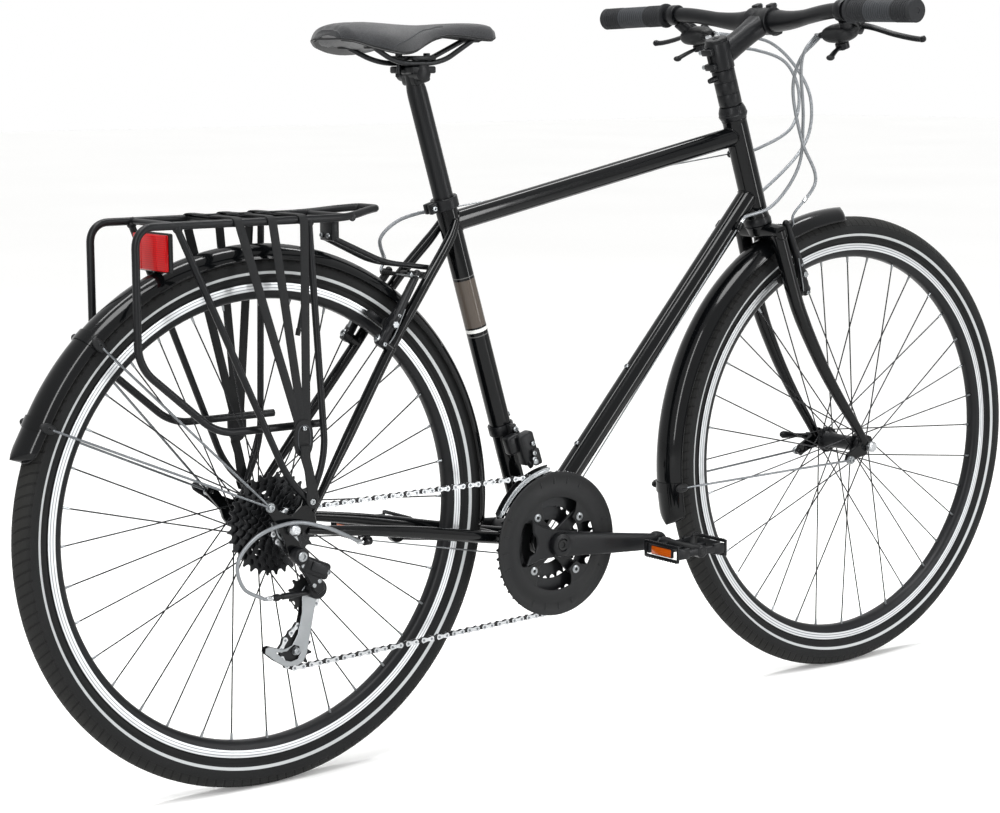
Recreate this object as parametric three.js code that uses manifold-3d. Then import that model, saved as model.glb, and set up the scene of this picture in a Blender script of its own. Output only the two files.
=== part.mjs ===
// A touring bicycle with fenders and a rear rack, in millimetres.
// +X points to the front wheel, +Y to the bicycle's left, +Z up, with the ground at zero.
import * as THREE from 'three';
import { mergeVertices } from 'three/addons/utils/BufferGeometryUtils.js';
import Module from 'manifold-3d';

const wasm = await Module();
wasm.setup();

// Running gap between neighbouring pieces, and how far a cut runs past what it cuts
const gap = 0.35;
const overrun = 2;

// Frame layout
const bracketToTyre = 267.27;
const tyreToBracket = 91;
const bracketDrop = 74;
const seatTubeAngle = 73.5;
const headTubeAngle = 72;
const tyreToCrownRace = 48;
const forkRake = 68;
const headTubeLength = 152;
const seatTubeLength = 500;
const topTubeJointDrop = 35.9;
const topTubeHeadDrop = 25;
const downTubeHeadRise = 38;

// Frame tubes
const headTubeRadius = 18;
const headTubeBore = 15.6;
const topTubeRadius = 14.3;
const downTubeRadius = 15.9;
const seatTubeRadius = 14.9;
const bracketShellRadius = 20;
const bracketShellHalfWidth = 34;
const bracketBore = 17.5;
const tubeSides = 10;
const staySides = 8;
const chainStayRadius = 8.6;
const chainStayEndRadius = 5.6;
const chainStayTyreX = 352;
const chainStayTyreY = 35.5;
const chainStayShellY = 22;
const seatStayRadius = 7.2;
const seatStayEndRadius = 4.6;
const seatStayFootX = 32;
const seatStayFootRise = 18;
const rearBossInset = 26.18;
const rearBossAngle = 50.565;
const seatStayAngle = 53.13;
const seatStayBossToFender = 100;
const seatStayFenderY = 34.5;
const seatStayTopY = 19;
const seatStayTopDrop = 40;
const bridgeRadius = 5;
const bridgeLift = 13;

// Dropouts
const rearHubWidth = 135;
const frontHubWidth = 100;
const rearDropoutThickness = 6;
const frontDropoutThickness = 5.5;
const axleStubRadius = 4.8;
const rackEyeletX = 24;
const rackEyeletRise = 34;
const fenderEyeletX = -34;
const fenderEyeletRise = 32;
const eyeletRadius = 8;
const hangerX = 6;
const hangerDrop = 34;
const slotMouthAngle = -45;
const slotLength = 40;

// Small frame fittings
const bottleBossRadius = 4.5;
const bottleBossHeight = 4;
const downTubeBossLowAlong = 0.24;
const downTubeBossHighAlong = 0.46;
const seatTubePegAlong = 180;

// Seat clamp and post
const seatPostRadius = 13.6;
const seatPostInsert = 182;
const seatPostTravel = 120;
const seatPostClearance = 28;
const seatPostHeadDrop = 12.65;
const seatClampRadius = 18.6;
const seatClampHeight = 15;
const seatClampEarLength = 12;
const seatClampEarHalfWidth = 9;
const seatClampBoltRadius = 3.2;

// Saddle
const saddleSetback = 136;
const saddleLength = 272;
const saddleHalfWidth = 77;
const saddleTopRise = 711;
const saddleRailRadius = 3.5;
const saddleRailHalfSpacing = 22;
const saddleRailDrop = 54;
const saddleRailRise = 22;
const saddleRailFlatHalf = 38;
const saddleRailNoseInset = 28;
const saddleRailTailInset = 34;
const saddleRailSpreadShare = 1.4;
const saddleBaseShare = 0.9;
const saddleShellThickness = 7;
const saddlePadThickness = 26;
const headHalfLength = 19;
const headHalfWidth = 27;
const headThickness = 9;
const clampThickness = 6;
const clampBoltRadius = 3;

// Headset, spacers and stem
const steererRadius = 14.3;
const headsetBore = 15.2;
const headsetCupRadius = 20.5;
const headsetLip = 1;
const lowerCupHeight = 11;
const upperCupHeight = 21;
const upperCupTopRadius = 17.2;
const spacerRadius = 17;
const spacerCount = 3;
const spacerGroove = 0.8;
const spacerLift = 1.5;
const spacerStack = 53;
const bracketLugLength = 13;
const bracketLugRadius = 4;
const stemClampLift = 0.5;
const stemClampHeight = 40;
const stemClampRadius = 18.4;
const stemReach = 97;
const stemRise = 21;
const stemRadius = 15.5;
const stemCapHeight = 6;
const barClampRadius = 20.5;
const barClampHalfWidth = 23;

// Handlebar, grips and controls
const barHalfWidth = 330;
const barCentreRadius = 15.9;
const barRadius = 11.1;
const barBulgeHalf = 40;
const barTaperHalf = 80;
const barStraightLength = 155;
const barRise = 16;
const barSweep = 22;
const gripLength = 135;
const gripRadius = 16.4;
const gripFlangeRadius = 18.5;
const gripFlangeLength = 7;
const gripTaper = 1;
const gripSwellShare = 0.55;
const barSides = 10;
const controlClampGap = 10;
const controlClampWidth = 14;
const controlClampRadius = 15.2;
const podDrop = 36;
const podForward = 10;
const podHalfLength = 31;
const podHalfHeight = 13;
const podHalfDepth = 20;
const podInset = 26;
const podSides = 8;
const leverPivotForward = 40;
const leverPivotDrop = 34;
const leverPivotInset = 12;
const leverPivotRadius = 7.5;
const leverBracketThickness = 7;
const leverLength = 118;
const leverThickness = 10;
const leverDepth = 8;
const leverSlantAngle = 37;
const shiftLeverLength = 40;
const shiftLeverDrop = 12;
const shiftLeverRadius = 5;

// Fork
const crownTopDrop = 11.4;
const crownHeight = 20;
const crownHalfWidth = 45;
const crownHalfDepth = 16;
const bladeTopY = 37.5;
const bladeTopRadius = 11;
const bladeTipRadius = 6.5;
const bladeStraightLength = 230;
const forkEyeletBack = 45;
const forkEyeletDrop = 3;
const bladeSides = 8;
const bladeSteps = 5;

// Wheels
const tyreHeight = 40;
const tyreHalfWidth = 18.7;
const tyreOpenAngle = 145;
const tyreShoulderAngle = 60;
const tyreWallThickness = 3.2;
const tyreSectionSteps = 4;
const rimOuterRadius = 309;
const rimHalfWidth = 11.8;
const brakeTrackHeight = 11.5;
const rimDepth = 22;
const rimBedWidth = 12;
const rimHookWidth = 1.5;
const rimWallThickness = 3;
const wheelSegments = 36;
const hubSegments = 12;
const spokesPerSide = 18;
const spokeCrossAngle = 60;
const spokeRadius = 1;
const spokeRimOffset = 3;
const spokeFlangeOffset = 1.7;
const skewerRadius = 2.4;
const skewerBore = 2.9;
const lockNutRadius = 8.5;
const lockNutLength = 7;
const hubCoreRadius = 11;
const frontFlangeY = 34;
const frontFlangeRadius = 20;
const rearLeftFlangeY = 34;
const rearRightFlangeY = -20;
const rearFlangeRadius = 24;
const flangeThickness = 5.6;
const spokeHoleInset = 1.4;
const freehubRadius = 15;
const freehubEnd = 63;

// Chain and toothed wheels
const chainPitch = 12.7;
const chainRingY = -58;
const ringSpacing = 8;
const ringThickness = 2;
const ringTeeth = [48, 36, 26];
const cassetteOuterY = -61;
const cassettePitch = 4.34;
const cassetteTeeth = [11, 13, 15, 17, 20, 23, 26, 30, 34];
const sprocketThickness = 1.8;
const cassetteBore = 16.7;
const cassetteCoreRadius = 17.8;
const toothRise = 2.6;
const toothFall = 3.7;
const chainHalfWidth = 3.1;
const chainInnerHalf = 1.35;
const chainWaistHalfWidth = 2.5;
const chainPlateHalfHeight = 4;
const chainWaistHalfHeight = 2.7;
const chainRollerRadius = 2;
const chainHoldLength = 48;
const stationsPerLinkPair = 4;
const rollerEvery = 6;
const pulleyTeeth = 11;
const guidePulleyX = 25;
const guidePulleyDrop = 87;
const tensionPulleyX = 9;
const tensionPulleyDrop = 161;

// Cranks
const crankLength = 170;
const crankRestAngle = 5;
const spindleRadius = 10;
const spindleBearingRadius = 10.5;
const crankInnerY = 66.5;
const crankRootThickness = 13;
const crankTipInnerY = 73;
const crankTipThickness = 13;
const crankHubRadius = 17;
const crankEyeRadius = 14;
const crankBoltRadius = 7;
const crankBoltRecess = 3;
const boltCircleRadius = 52;
const smallBoltCircleRadius = 32;
const ringArmCount = 4;
const ringBoltRadius = 4;
const spiderHalfWidth = 7;
const ringBoltPadRadius = 8;
const ringWebRadius = 44;
const midRingWebRadius = 27;
const smallRingWebRadius = 26;
const guardRadius = 100.5;
const guardInnerRadius = 70;
const guardThickness = 2;
const guardY = 63.6;
const guardNotchHalf = 17;
const bracketCupRadius = 19.5;
const bracketCupWidth = 3.5;
const discSegments = 40;

// Pedals
const pedalAxleRadius = 4.5;
const pedalAxleLength = 62;
const pedalInnerGap = 6;
const pedalBarrelRadius = 9;
const pedalBodyLength = 84;
const pedalHalfLength = 46;
const pedalHalfHeight = 12;
const pedalCageThickness = 3.5;
const pedalNeckHalf = 13;

// Rear derailleur
const derailleurBodyOuterY = 88;
const knuckleRadius = 11;
const cageKnuckleRadius = 13;
const cageKnuckleX = 34;
const cageKnuckleDrop = 81;
const cagePlateThickness = 1.5;
const cagePlateGap = 0.6;
const cageEndRadius = 13;
const cageWaistRadius = 9;
const pulleyAxleRadius = 3;
const adjusterEndX = -30;
const adjusterDrop = 85;
const barrelOut = 12;

// Front derailleur
const shifterBandAlong = 158;
const shifterBandHeight = 14;
const shifterBandRadius = 18;
const ringCageClearance = 2.2;
const ringCageHeight = 15;
const ringCageStartAngle = 84;
const ringCageEndAngle = 160;
const ringCageThickness = 1.3;
const ringCageSteps = 6;

// Brakes
const brakePivotHalfSpacing = 40;
const brakeBossRadius = 7;
const brakePinRadius = 4;
const brakeBossLength = 12;
const brakeArmThickness = 11.6;
const brakePinLength = 24.5;
const brakeArmLength = 105;
const brakeArmTopY = 33;
const brakeArmWidth = 11;
const brakeArmTopWidth = 8;
const brakeCollarRadius = 7.5;
const padLength = 54;
const padHeight = 9;
const padThickness = 9;
const padClearance = 2;
const padStudRadius = 3;
const frontBossInset = 29.6;

// Fenders
const rearFenderGap = 9;
const rearFenderShift = 5;
const frontFenderGap = 15;
const frontFenderShift = 8;
const fenderHalfWidth = 25;
const fenderDepth = 18;
const fenderThickness = 1.6;
const fenderShoulderDrop = 4.5;
const fenderShoulderShare = 0.78;
const rearFenderStartAngle = -8;
const rearFenderEndAngle = 160;
const frontFenderStartAngle = 91;
const frontFenderEndAngle = 194;
const fenderSegments = 36;
const stayWireRadius = 1.6;
const stayEyeThickness = 5.5;
const rearStayAngles = [133.5, 153.5];
const frontStayAngle = 185;
const bandThickness = 1.4;
const bandHalfAngle = 1.6;

// Rack
const rackTubeRadius = 5;
const rackSides = 6;
const rackHalfWidth = 58;
const rackDeckGap = 40;
const rackRearX = -204;
const rackFrontX = 178;
const rackLoopStartX = 92;
const rackLoopTipHalf = 24;
const rackKneeRise = 221;
const rackLowX = -96;
const rackLowRise = 129;
const rackLowEndX = 56;
const rackBend = 34;
const rackBendSteps = 2;
const rackRearLegX = -146;
const rackRearLegFootX = -8;
const rackLegFootRise = 65;
const rackFrontLegX = 42;
const rackFrontLegLowX = 48;
const rackFrontLegLowRise = 91;
const rackLegFootY = 79;
const rackCrossBars = [-146, -64, -18, 30];
const rackCrossRadius = 4;
const rackBracketX = 110;
const rackBracketDrop = 30;
const rackArmY = 12;
const rackArmRadius = 3.6;
const rackHoldShare = 0.28;

// Straps and reflector
const strapTops = [-64, -16, 30];
const strapHalfWidth = 6.5;
const strapThickness = 2;
const strapPlateX = 14;
const strapPlateRise = 116;
const strapPlateHalfWidth = 14;
const strapPlateHalfHeight = 24;
const strapPlateThickness = 6;
const strapPlateY = 79;
const strapSpread = 5;
const strapHookHalfWidth = 7;
const strapHookThickness = 3;
const reflectorX = -156;
const reflectorHalfWidth = 46;
const reflectorDrop = 26;
const reflectorHeight = 46;
const reflectorThickness = 9;
const reflectorFootRadius = 5;

// Quick releases
const skewerNutRadius = 8;
const skewerNutLength = 11;
const skewerCamRadius = 7.5;
const skewerCamLength = 12;
const quickLeverLength = 58;
const quickLeverWidth = 12;
const quickLeverThickness = 5;
const quickCamRadius = 6;
const quickWaistShare = 0.7;
const rearQuickLeverAngle = 140;
const frontQuickLeverAngle = 172;

// Cables
const housingRadius = 2.5;
const cableRadius = 1;
const housingSides = 6;
const cableSides = 5;
const armSides = 6;
const housingSteps = 10;
const cableStopRadius = 5.5;
const cableStopLength = 12;
const adjusterRadius = 4.2;
const adjusterLength = 14;
const portSpread = 9;
const headStopDrop = 52.12;
const headStopY = 22;
const downStopAlong = 556;
const downStopY = 20.5;
const bracketGuideDrop = 26;
const bracketGuideY = 6;
const chainStayStopX = 115;
const chainStayStopY = -62;
const chainStayStopRise = 14;
const noodleRise = 7;
const leftBrakeRoute = [[900, 112, 956], [943, 90, 950], [976, 62, 932], [982, 38, 889], [957, 24, 837], [890, 23, 806]];
const leftShiftRoute = [[920, 110, 972], [968, 88, 962], [994, 60, 927], [1005, 36, 878], [989, 26, 816], [896, 24, 741]];
const rightShiftRoute = [[850, -112, 950], [863, -90, 927], [905, -52, 846], [910, -38, 778], [868, -27, 722]];
const frontBrakeRoute = [[866, -112, 958], [862, -92, 940], [874, -62, 896], [903, -52, 817], [936, -48, 757]];
const rearBrakeLoop = [[300, 22, 736], [270, 25, 733], [235, 30, 722], [212, 34, 700]];
const derailleurLoop = [[66, -72, 355], [32, -80, 361], [-8, -81, 363], [-64, -80, 346], [-87, -80, 317], [-74, -76, 283]];

const degrees = Math.PI / 180;
const full = 2 * Math.PI;

// Places worked out from the frame layout
const tyreRadius = rimOuterRadius + tyreHeight;
const rimBedRadius = rimOuterRadius - rimDepth;
const brakeTrackRadius = rimOuterRadius - brakeTrackHeight / 2;
const rearFenderRadius = tyreRadius + rearFenderGap;
const frontFenderRadius = tyreRadius + frontFenderGap;
const frontBrakeRise = brakeTrackRadius - frontBossInset;
const axleZ = tyreRadius;
const chainStayLength = tyreRadius + tyreToBracket;
const axleToCrownRace = tyreRadius + tyreToCrownRace;
const bracketX = Math.sqrt(chainStayLength ** 2 - bracketDrop ** 2);
const bracketZ = axleZ - bracketDrop;
const wheelbase = bracketX + tyreRadius + bracketToTyre;
const seatLean = Math.tan(seatTubeAngle * degrees);
const saddleTopHeight = bracketZ + saddleTopRise;
const rearBossReach = brakeTrackRadius - rearBossInset;
const seatStayBossX = rearBossReach * Math.cos(rearBossAngle * degrees);
const seatStayBossZ = axleZ + rearBossReach * Math.sin(rearBossAngle * degrees);
const stayRun = new THREE.Vector2(Math.cos(seatStayAngle * degrees), Math.sin(seatStayAngle * degrees));
const seatStayFenderX = seatStayBossX + stayRun.x * seatStayBossToFender;
const seatStayFenderZ = seatStayBossZ + stayRun.y * seatStayBossToFender;
const guidePulleyZ = axleZ - guidePulleyDrop;
const tensionPulleyZ = axleZ - tensionPulleyDrop;
const cageKnuckleZ = axleZ - cageKnuckleDrop;
const adjusterZ = axleZ - adjusterDrop;
const rackDeckHeight = axleZ + tyreRadius + rackDeckGap;
const rackKneeHeight = axleZ + rackKneeRise;
const rackLowHeight = axleZ + rackLowRise;
const rackLegFootHeight = axleZ + rackLegFootRise;
const rackFrontLegLowHeight = axleZ + rackFrontLegLowRise;
const strapPlateZ = axleZ + strapPlateRise;
const reflectorBottom = axleZ + rearFenderRadius - reflectorDrop;
const steerUp = [-Math.cos(headTubeAngle * degrees), Math.sin(headTubeAngle * degrees)];
const steerOut = [steerUp[1], -steerUp[0]];
const headX = wheelbase + axleToCrownRace * steerUp[0] - forkRake * steerOut[0];
const headZ = axleZ + axleToCrownRace * steerUp[1] - forkRake * steerOut[1];
const spacerBottom = headTubeLength + upperCupHeight + spacerLift;
const spacerTop = spacerBottom + spacerStack;
const stemClampBottom = spacerTop + stemClampLift;

function seatTubePoint(along, y = 0) {
  const angle = seatTubeAngle * degrees;
  return [bracketX - along * Math.cos(angle), y, bracketZ + along * Math.sin(angle)];
}

function seatTubeAtHeight(height) {
  return [bracketX - (height - bracketZ) / seatLean, 0, height];
}

function steeringPoint(out, y, up) {
  return [headX + out * steerOut[0] + up * steerUp[0], y, headZ + out * steerOut[1] + up * steerUp[1]];
}

function between(a, b, share) {
  return a.map((value, i) => value + (b[i] - value) * share);
}

function around(centreX, centreZ, radius, angle) {
  return [centreX + radius * Math.cos(angle * degrees), centreZ + radius * Math.sin(angle * degrees)];
}

// Solids from three.js geometry
function solidOf(geometry) {
  const bare = new THREE.BufferGeometry();
  bare.setAttribute('position', geometry.getAttribute('position').clone());
  if (geometry.index) bare.setIndex(geometry.index.clone());
  const welded = mergeVertices(bare);
  const corners = welded.getAttribute('position');
  const index = Array.from(welded.index.array);
  const kept = [];
  let volume = 0;
  const a = new THREE.Vector3();
  const b = new THREE.Vector3();
  const c = new THREE.Vector3();
  for (let i = 0; i < index.length; i += 3) {
    const [p, q, r] = index.slice(i, i + 3);
    if (p === q || q === r || r === p) continue;
    kept.push([p, q, r]);
    a.fromBufferAttribute(corners, p);
    b.fromBufferAttribute(corners, q);
    c.fromBufferAttribute(corners, r);
    volume += a.dot(b.cross(c));
  }
  const outward = volume > 0 ? kept : kept.map(([p, q, r]) => [p, r, q]);
  return new wasm.Manifold(new wasm.Mesh({
    numProp: 3,
    vertProperties: Float32Array.from(corners.array),
    triVerts: Uint32Array.from(outward.flat()),
  }));
}

function unite(solids) {
  return solids.reduce((joined, next) => joined.add(next));
}

function cut(solid, tools) {
  return tools.reduce((rest, tool) => rest.subtract(tool), solid);
}

function rod(from, to, radius, sides = tubeSides, endRadius = radius) {
  const start = new THREE.Vector3(...from);
  const run = new THREE.Vector3(...to).sub(start);
  const geometry = new THREE.CylinderGeometry(endRadius, radius, run.length(), sides);
  const turn = new THREE.Quaternion().setFromUnitVectors(new THREE.Vector3(0, 1, 0), run.clone().normalize());
  geometry.applyQuaternion(turn);
  geometry.translate(...start.addScaledVector(run, 1 / 2).toArray());
  return solidOf(geometry);
}

// A rod along Y, as wide as its two ends say
function pin(x, z, fromY, toY, radius, sides = tubeSides) {
  return rod([x, Math.min(fromY, toY), z], [x, Math.max(fromY, toY), z], radius, sides);
}

function block(low, high) {
  const size = high.map((value, i) => value - low[i]);
  const geometry = new THREE.BoxGeometry(...size);
  geometry.translate(...low.map((value, i) => value + size[i] / 2));
  return solidOf(geometry);
}

// An outline in the XZ plane, carried along Y
function slab(outline, fromY, toY, holes = []) {
  const shape = new THREE.Shape(outline.map(([x, z]) => new THREE.Vector2(x, z)));
  for (const hole of holes) {
    shape.holes.push(new THREE.Path(hole.map(([x, z]) => new THREE.Vector2(x, z))));
  }
  const low = Math.min(fromY, toY);
  const depth = Math.abs(toY - fromY);
  const geometry = new THREE.ExtrudeGeometry(shape, { depth, bevelEnabled: false, curveSegments: 1 });
  geometry.applyMatrix4(new THREE.Matrix4().set(1, 0, 0, 0, 0, 0, 1, low, 0, 1, 0, 0, 0, 0, 0, 1));
  return solidOf(geometry);
}

function circle(x, z, radius, sides, turn = 0) {
  return Array.from({ length: sides }, (_, i) => around(x, z, radius, turn + (i * 360) / sides));
}

// A closed profile of [radius, y] points, revolved about Y
function revolve(profile, segments) {
  const points = [...profile, profile[0]].map(([radius, y]) => new THREE.Vector2(radius, y));
  return solidOf(new THREE.LatheGeometry(points, segments));
}

// An outer profile from one end to the other, with a straight bore
function bored(outline, bore, segments) {
  return revolve([...outline, [bore, outline.at(-1)[1]], [bore, outline[0][1]]], segments);
}

// The same profile, revolved about the line from one point to another
function boredAlong(outline, bore, segments, from, toward) {
  return placedAlong(bored(outline, bore, segments), from, toward);
}

function placedAlong(solid, from, toward) {
  const run = new THREE.Vector3(...toward).sub(new THREE.Vector3(...from)).normalize();
  const turn = new THREE.Quaternion().setFromUnitVectors(new THREE.Vector3(0, 1, 0), run);
  const place = new THREE.Matrix4().compose(new THREE.Vector3(...from), turn, new THREE.Vector3(1, 1, 1));
  return solid.transform(place.elements);
}

// Stations joined by straight runs, for a tube that keeps its section at each one
class Route extends THREE.Curve {
  constructor(stations) {
    super();
    this.stations = stations.map((point) => new THREE.Vector3(...point));
  }

  getUtoTmapping(share) {
    return share;
  }

  getPoint(share, target = new THREE.Vector3()) {
    const last = this.stations.length - 1;
    const step = Math.min(Math.floor(share * last + 1e-6), last - 1);
    return target.lerpVectors(this.stations[step], this.stations[step + 1], share * last - step);
  }

  getTangent(share, target = new THREE.Vector3()) {
    const last = this.stations.length - 1;
    const here = Math.round(share * last);
    const before = this.stations[Math.max(here - 1, 0)];
    const after = this.stations[Math.min(here + 1, last)];
    const centre = this.stations[here];
    const inward = centre.clone().sub(before).normalize();
    const outward = after.clone().sub(centre).normalize();
    return target.copy(inward.add(outward)).normalize();
  }
}

function polygonShape(radius, sides) {
  return new THREE.Shape(circle(0, 0, radius, sides).map(([x, y]) => new THREE.Vector2(x, y)));
}

function tube(stations, radius, sides = tubeSides) {
  const path = new Route(stations);
  const steps = stations.length - 1;
  const options = { steps, extrudePath: path, bevelEnabled: false, curveSegments: 1 };
  return solidOf(new THREE.ExtrudeGeometry(polygonShape(radius, sides), options));
}

// A tube whose radius changes from station to station
function taperedTube(stations, radii, sides = tubeSides) {
  const path = new Route(stations);
  const steps = stations.length - 1;
  const frames = path.computeFrenetFrames(steps, false);
  const corners = [];
  const faces = [];
  for (let i = 0; i <= steps; i += 1) {
    for (let k = 0; k < sides; k += 1) {
      const angle = (full * k) / sides;
      const corner = path.stations[i].clone();
      corner.addScaledVector(frames.normals[i], radii[i] * Math.cos(angle));
      corner.addScaledVector(frames.binormals[i], radii[i] * Math.sin(angle));
      corners.push(...corner.toArray());
    }
  }
  for (let i = 0; i < steps; i += 1) {
    for (let k = 0; k < sides; k += 1) {
      const next = (k + 1) % sides;
      const low = i * sides;
      faces.push(low + k, low + next, low + sides + next);
      faces.push(low + k, low + sides + next, low + sides + k);
    }
  }
  for (let k = 1; k < sides - 1; k += 1) {
    faces.push(0, k + 1, k);
    faces.push(steps * sides, steps * sides + k, steps * sides + k + 1);
  }
  const geometry = new THREE.BufferGeometry();
  geometry.setAttribute('position', new THREE.Float32BufferAttribute(corners, 3));
  geometry.setIndex(faces);
  return solidOf(geometry);
}

// Stations along straight runs whose corners are rounded
function rounded(points, bend, steps) {
  const stations = [points[0]];
  for (let i = 1; i < points.length - 1; i += 1) {
    const corner = new THREE.Vector3(...points[i]);
    const back = new THREE.Vector3(...points[i - 1]).sub(corner);
    const ahead = new THREE.Vector3(...points[i + 1]).sub(corner);
    const start = corner.clone().addScaledVector(back.clone().normalize(), Math.min(bend, back.length() / 2));
    const end = corner.clone().addScaledVector(ahead.clone().normalize(), Math.min(bend, ahead.length() / 2));
    const curve = new THREE.QuadraticBezierCurve3(start, corner, end);
    stations.push(...curve.getPoints(steps).map((point) => point.toArray()));
  }
  stations.push(points.at(-1));
  return stations;
}

function smooth(points, steps) {
  const curve = new THREE.CatmullRomCurve3(points.map((point) => new THREE.Vector3(...point)), false, 'centripetal');
  return curve.getSpacedPoints(steps).map((point) => point.toArray());
}

function mirrored(points) {
  return points.map(([x, y, z]) => [x, -y, z]);
}

// Finishes
function material(color, roughness, metalness) {
  return new THREE.MeshStandardMaterial({ color, roughness, metalness });
}

const glossBlack = () => material(0x121314, 0.22, 0.1);
const satinBlack = () => material(0x1d1e20, 0.48, 0.3);
const matteBlack = () => material(0x222325, 0.75, 0);
const rubberBlack = () => material(0x26282a, 0.9, 0);
const gripGrey = () => material(0x3a3b3d, 0.85, 0);
const silver = () => material(0xc4c6c8, 0.35, 0.9);
const darkSteel = () => material(0x4a4c4f, 0.45, 0.8);
const cableGrey = () => material(0x8d9093, 0.4, 0.4);
const reflectorRed = () => material(0xc41418, 0.2, 0);

const bike = new THREE.Group();

function addTo(group, name, finish, solid) {
  const data = solid.getMesh();
  const geometry = new THREE.BufferGeometry();
  geometry.setAttribute('position', new THREE.BufferAttribute(Float32Array.from(data.vertProperties), 3));
  geometry.setIndex(new THREE.BufferAttribute(Uint32Array.from(data.triVerts), 1));
  geometry.computeVertexNormals();
  const mesh = new THREE.Mesh(geometry, finish);
  mesh.name = name;
  group.add(mesh);
}

function add(name, finish, solid) {
  addTo(bike, name, finish, solid);
}

// Main frame
const rearDropoutY = rearHubWidth / 2 + gap;
const rearDropoutMid = rearDropoutY + rearDropoutThickness / 2;

function axleSlot(x, z, mouth, innerY, outerY) {
  const slotRadius = axleStubRadius + gap;
  const run = [Math.cos(mouth * degrees), Math.sin(mouth * degrees)];
  const side = [-run[1] * slotRadius, run[0] * slotRadius];
  const far = [x + run[0] * slotLength, z + run[1] * slotLength];
  const channel = [
    [x + side[0], z + side[1]],
    [far[0] + side[0], far[1] + side[1]],
    [far[0] - side[0], far[1] - side[1]],
    [x - side[0], z - side[1]],
  ];
  return unite([
    slab(circle(x, z, slotRadius, tubeSides), innerY, outerY),
    slab(channel, innerY, outerY),
  ]);
}

function rearDropout(side) {
  const inner = side * rearDropoutY;
  const outer = side * (rearDropoutY + rearDropoutThickness);
  const rackZ = axleZ + rackEyeletRise;
  const fenderZ = axleZ + fenderEyeletRise;
  const wing = eyeletRadius;
  const plate = [
    [fenderEyeletX - wing, fenderZ],
    [fenderEyeletX - wing / 2, fenderZ + wing],
    [fenderEyeletX + wing, fenderZ + wing / 2],
    [0, axleZ + 2 * wing],
    [rackEyeletX - wing, rackZ + wing / 2],
    [rackEyeletX, rackZ + wing],
    [rackEyeletX + wing, rackZ],
    [rackEyeletX + 2 * wing, axleZ],
    [rackEyeletX + wing, axleZ - 2 * wing],
    [0, axleZ - 2 * wing - wing / 2],
    [-2 * wing, axleZ - wing],
  ];
  const pieces = [slab(plate, inner, outer)];
  if (side < 0) {
    const hangerZ = axleZ - hangerDrop;
    const hanger = [
      [-2 * wing, axleZ - wing],
      [hangerX - wing, hangerZ - wing / 2],
      [hangerX, hangerZ - wing],
      [hangerX + wing, hangerZ - wing / 2],
      [2 * wing, axleZ - wing],
    ];
    pieces.push(slab(hanger, inner, outer));
  }
  const slot = axleSlot(0, axleZ, slotMouthAngle, side * (rearDropoutY - overrun), outer + side * overrun);
  return cut(unite(pieces), [slot]);
}

function chainStay(side) {
  const stations = smooth([
    [rackEyeletX, side * rearDropoutMid, axleZ - eyeletRadius / 2],
    [chainStayTyreX / 2, side * (rearDropoutMid + chainStayTyreY) / 2 + side * eyeletRadius, (3 * axleZ + bracketZ) / 4 - eyeletRadius],
    [chainStayTyreX, side * chainStayTyreY, between([axleZ], [bracketZ], chainStayTyreX / bracketX)[0]],
    [bracketX - bracketShellRadius / 2, side * chainStayShellY, bracketZ + bracketShellRadius / 10],
  ], 6);
  const radii = stations.map((_, i) => chainStayEndRadius + (chainStayRadius - chainStayEndRadius) * Math.min(i / 3, 1));
  return taperedTube(stations, radii, staySides);
}

const seatStayBossY = brakePivotHalfSpacing;

function seatStayStations(side) {
  const top = seatTubePoint(seatTubeLength - seatStayTopDrop);
  return [
    [seatStayFootX, side * rearDropoutMid, axleZ + seatStayFootRise],
    [(seatStayFootX + seatStayBossX) / 2, side * (rearDropoutMid + seatStayBossY) / 2, (axleZ + seatStayFootRise + seatStayBossZ) / 2],
    [seatStayBossX, side * seatStayBossY, seatStayBossZ],
    [seatStayFenderX, side * seatStayFenderY, seatStayFenderZ],
    [top[0] - seatTubeRadius / 2, side * seatStayTopY, top[2]],
  ];
}

function seatStay(side) {
  const radii = [seatStayEndRadius, seatStayRadius, seatStayRadius, seatStayRadius, seatStayRadius];
  return taperedTube(seatStayStations(side), radii, staySides);
}

const rearBossAxis = [-stayRun.y, 0, stayRun.x];
const rearPivotBase = [seatStayBossX, 0, seatStayBossZ];

function alongAxis(base, axis, distance, y) {
  return [base[0] + axis[0] * distance, y, base[2] + axis[2] * distance];
}

function brakeBoss(base, axis, y) {
  return unite([
    rod(alongAxis(base, axis, 0, y), alongAxis(base, axis, brakeBossLength, y), brakeBossRadius, staySides),
    rod(alongAxis(base, axis, 0, y), alongAxis(base, axis, brakePinLength, y), brakePinRadius, staySides),
  ]);
}

const bracketPoint = [bracketX, 0, bracketZ];
const headBottom = steeringPoint(0, 0, 0);
const headTop = steeringPoint(0, 0, headTubeLength);
const headStopHeight = headTop[2] - headStopDrop;
const downTubeHead = steeringPoint(0, 0, downTubeHeadRise);
const topTubeHead = steeringPoint(0, 0, headTubeLength - topTubeHeadDrop);
const topTubeSeat = seatTubePoint(seatTubeLength - topTubeJointDrop);
const seatTubeTop = seatTubePoint(seatTubeLength);

const downRun = new THREE.Vector2(downTubeHead[0] - bracketX, downTubeHead[2] - bracketZ).normalize();

const headStopX = headX + ((headStopHeight - headZ) * steerUp[0]) / steerUp[1] - cableStopLength / 2;
const chainStayStopZ = between([axleZ], [bracketZ], chainStayStopX / bracketX)[0] + chainStayStopRise;

function downTubeStop(side) {
  return [bracketX + downRun.x * downStopAlong, side * downStopY, bracketZ + downRun.y * downStopAlong];
}

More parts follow.
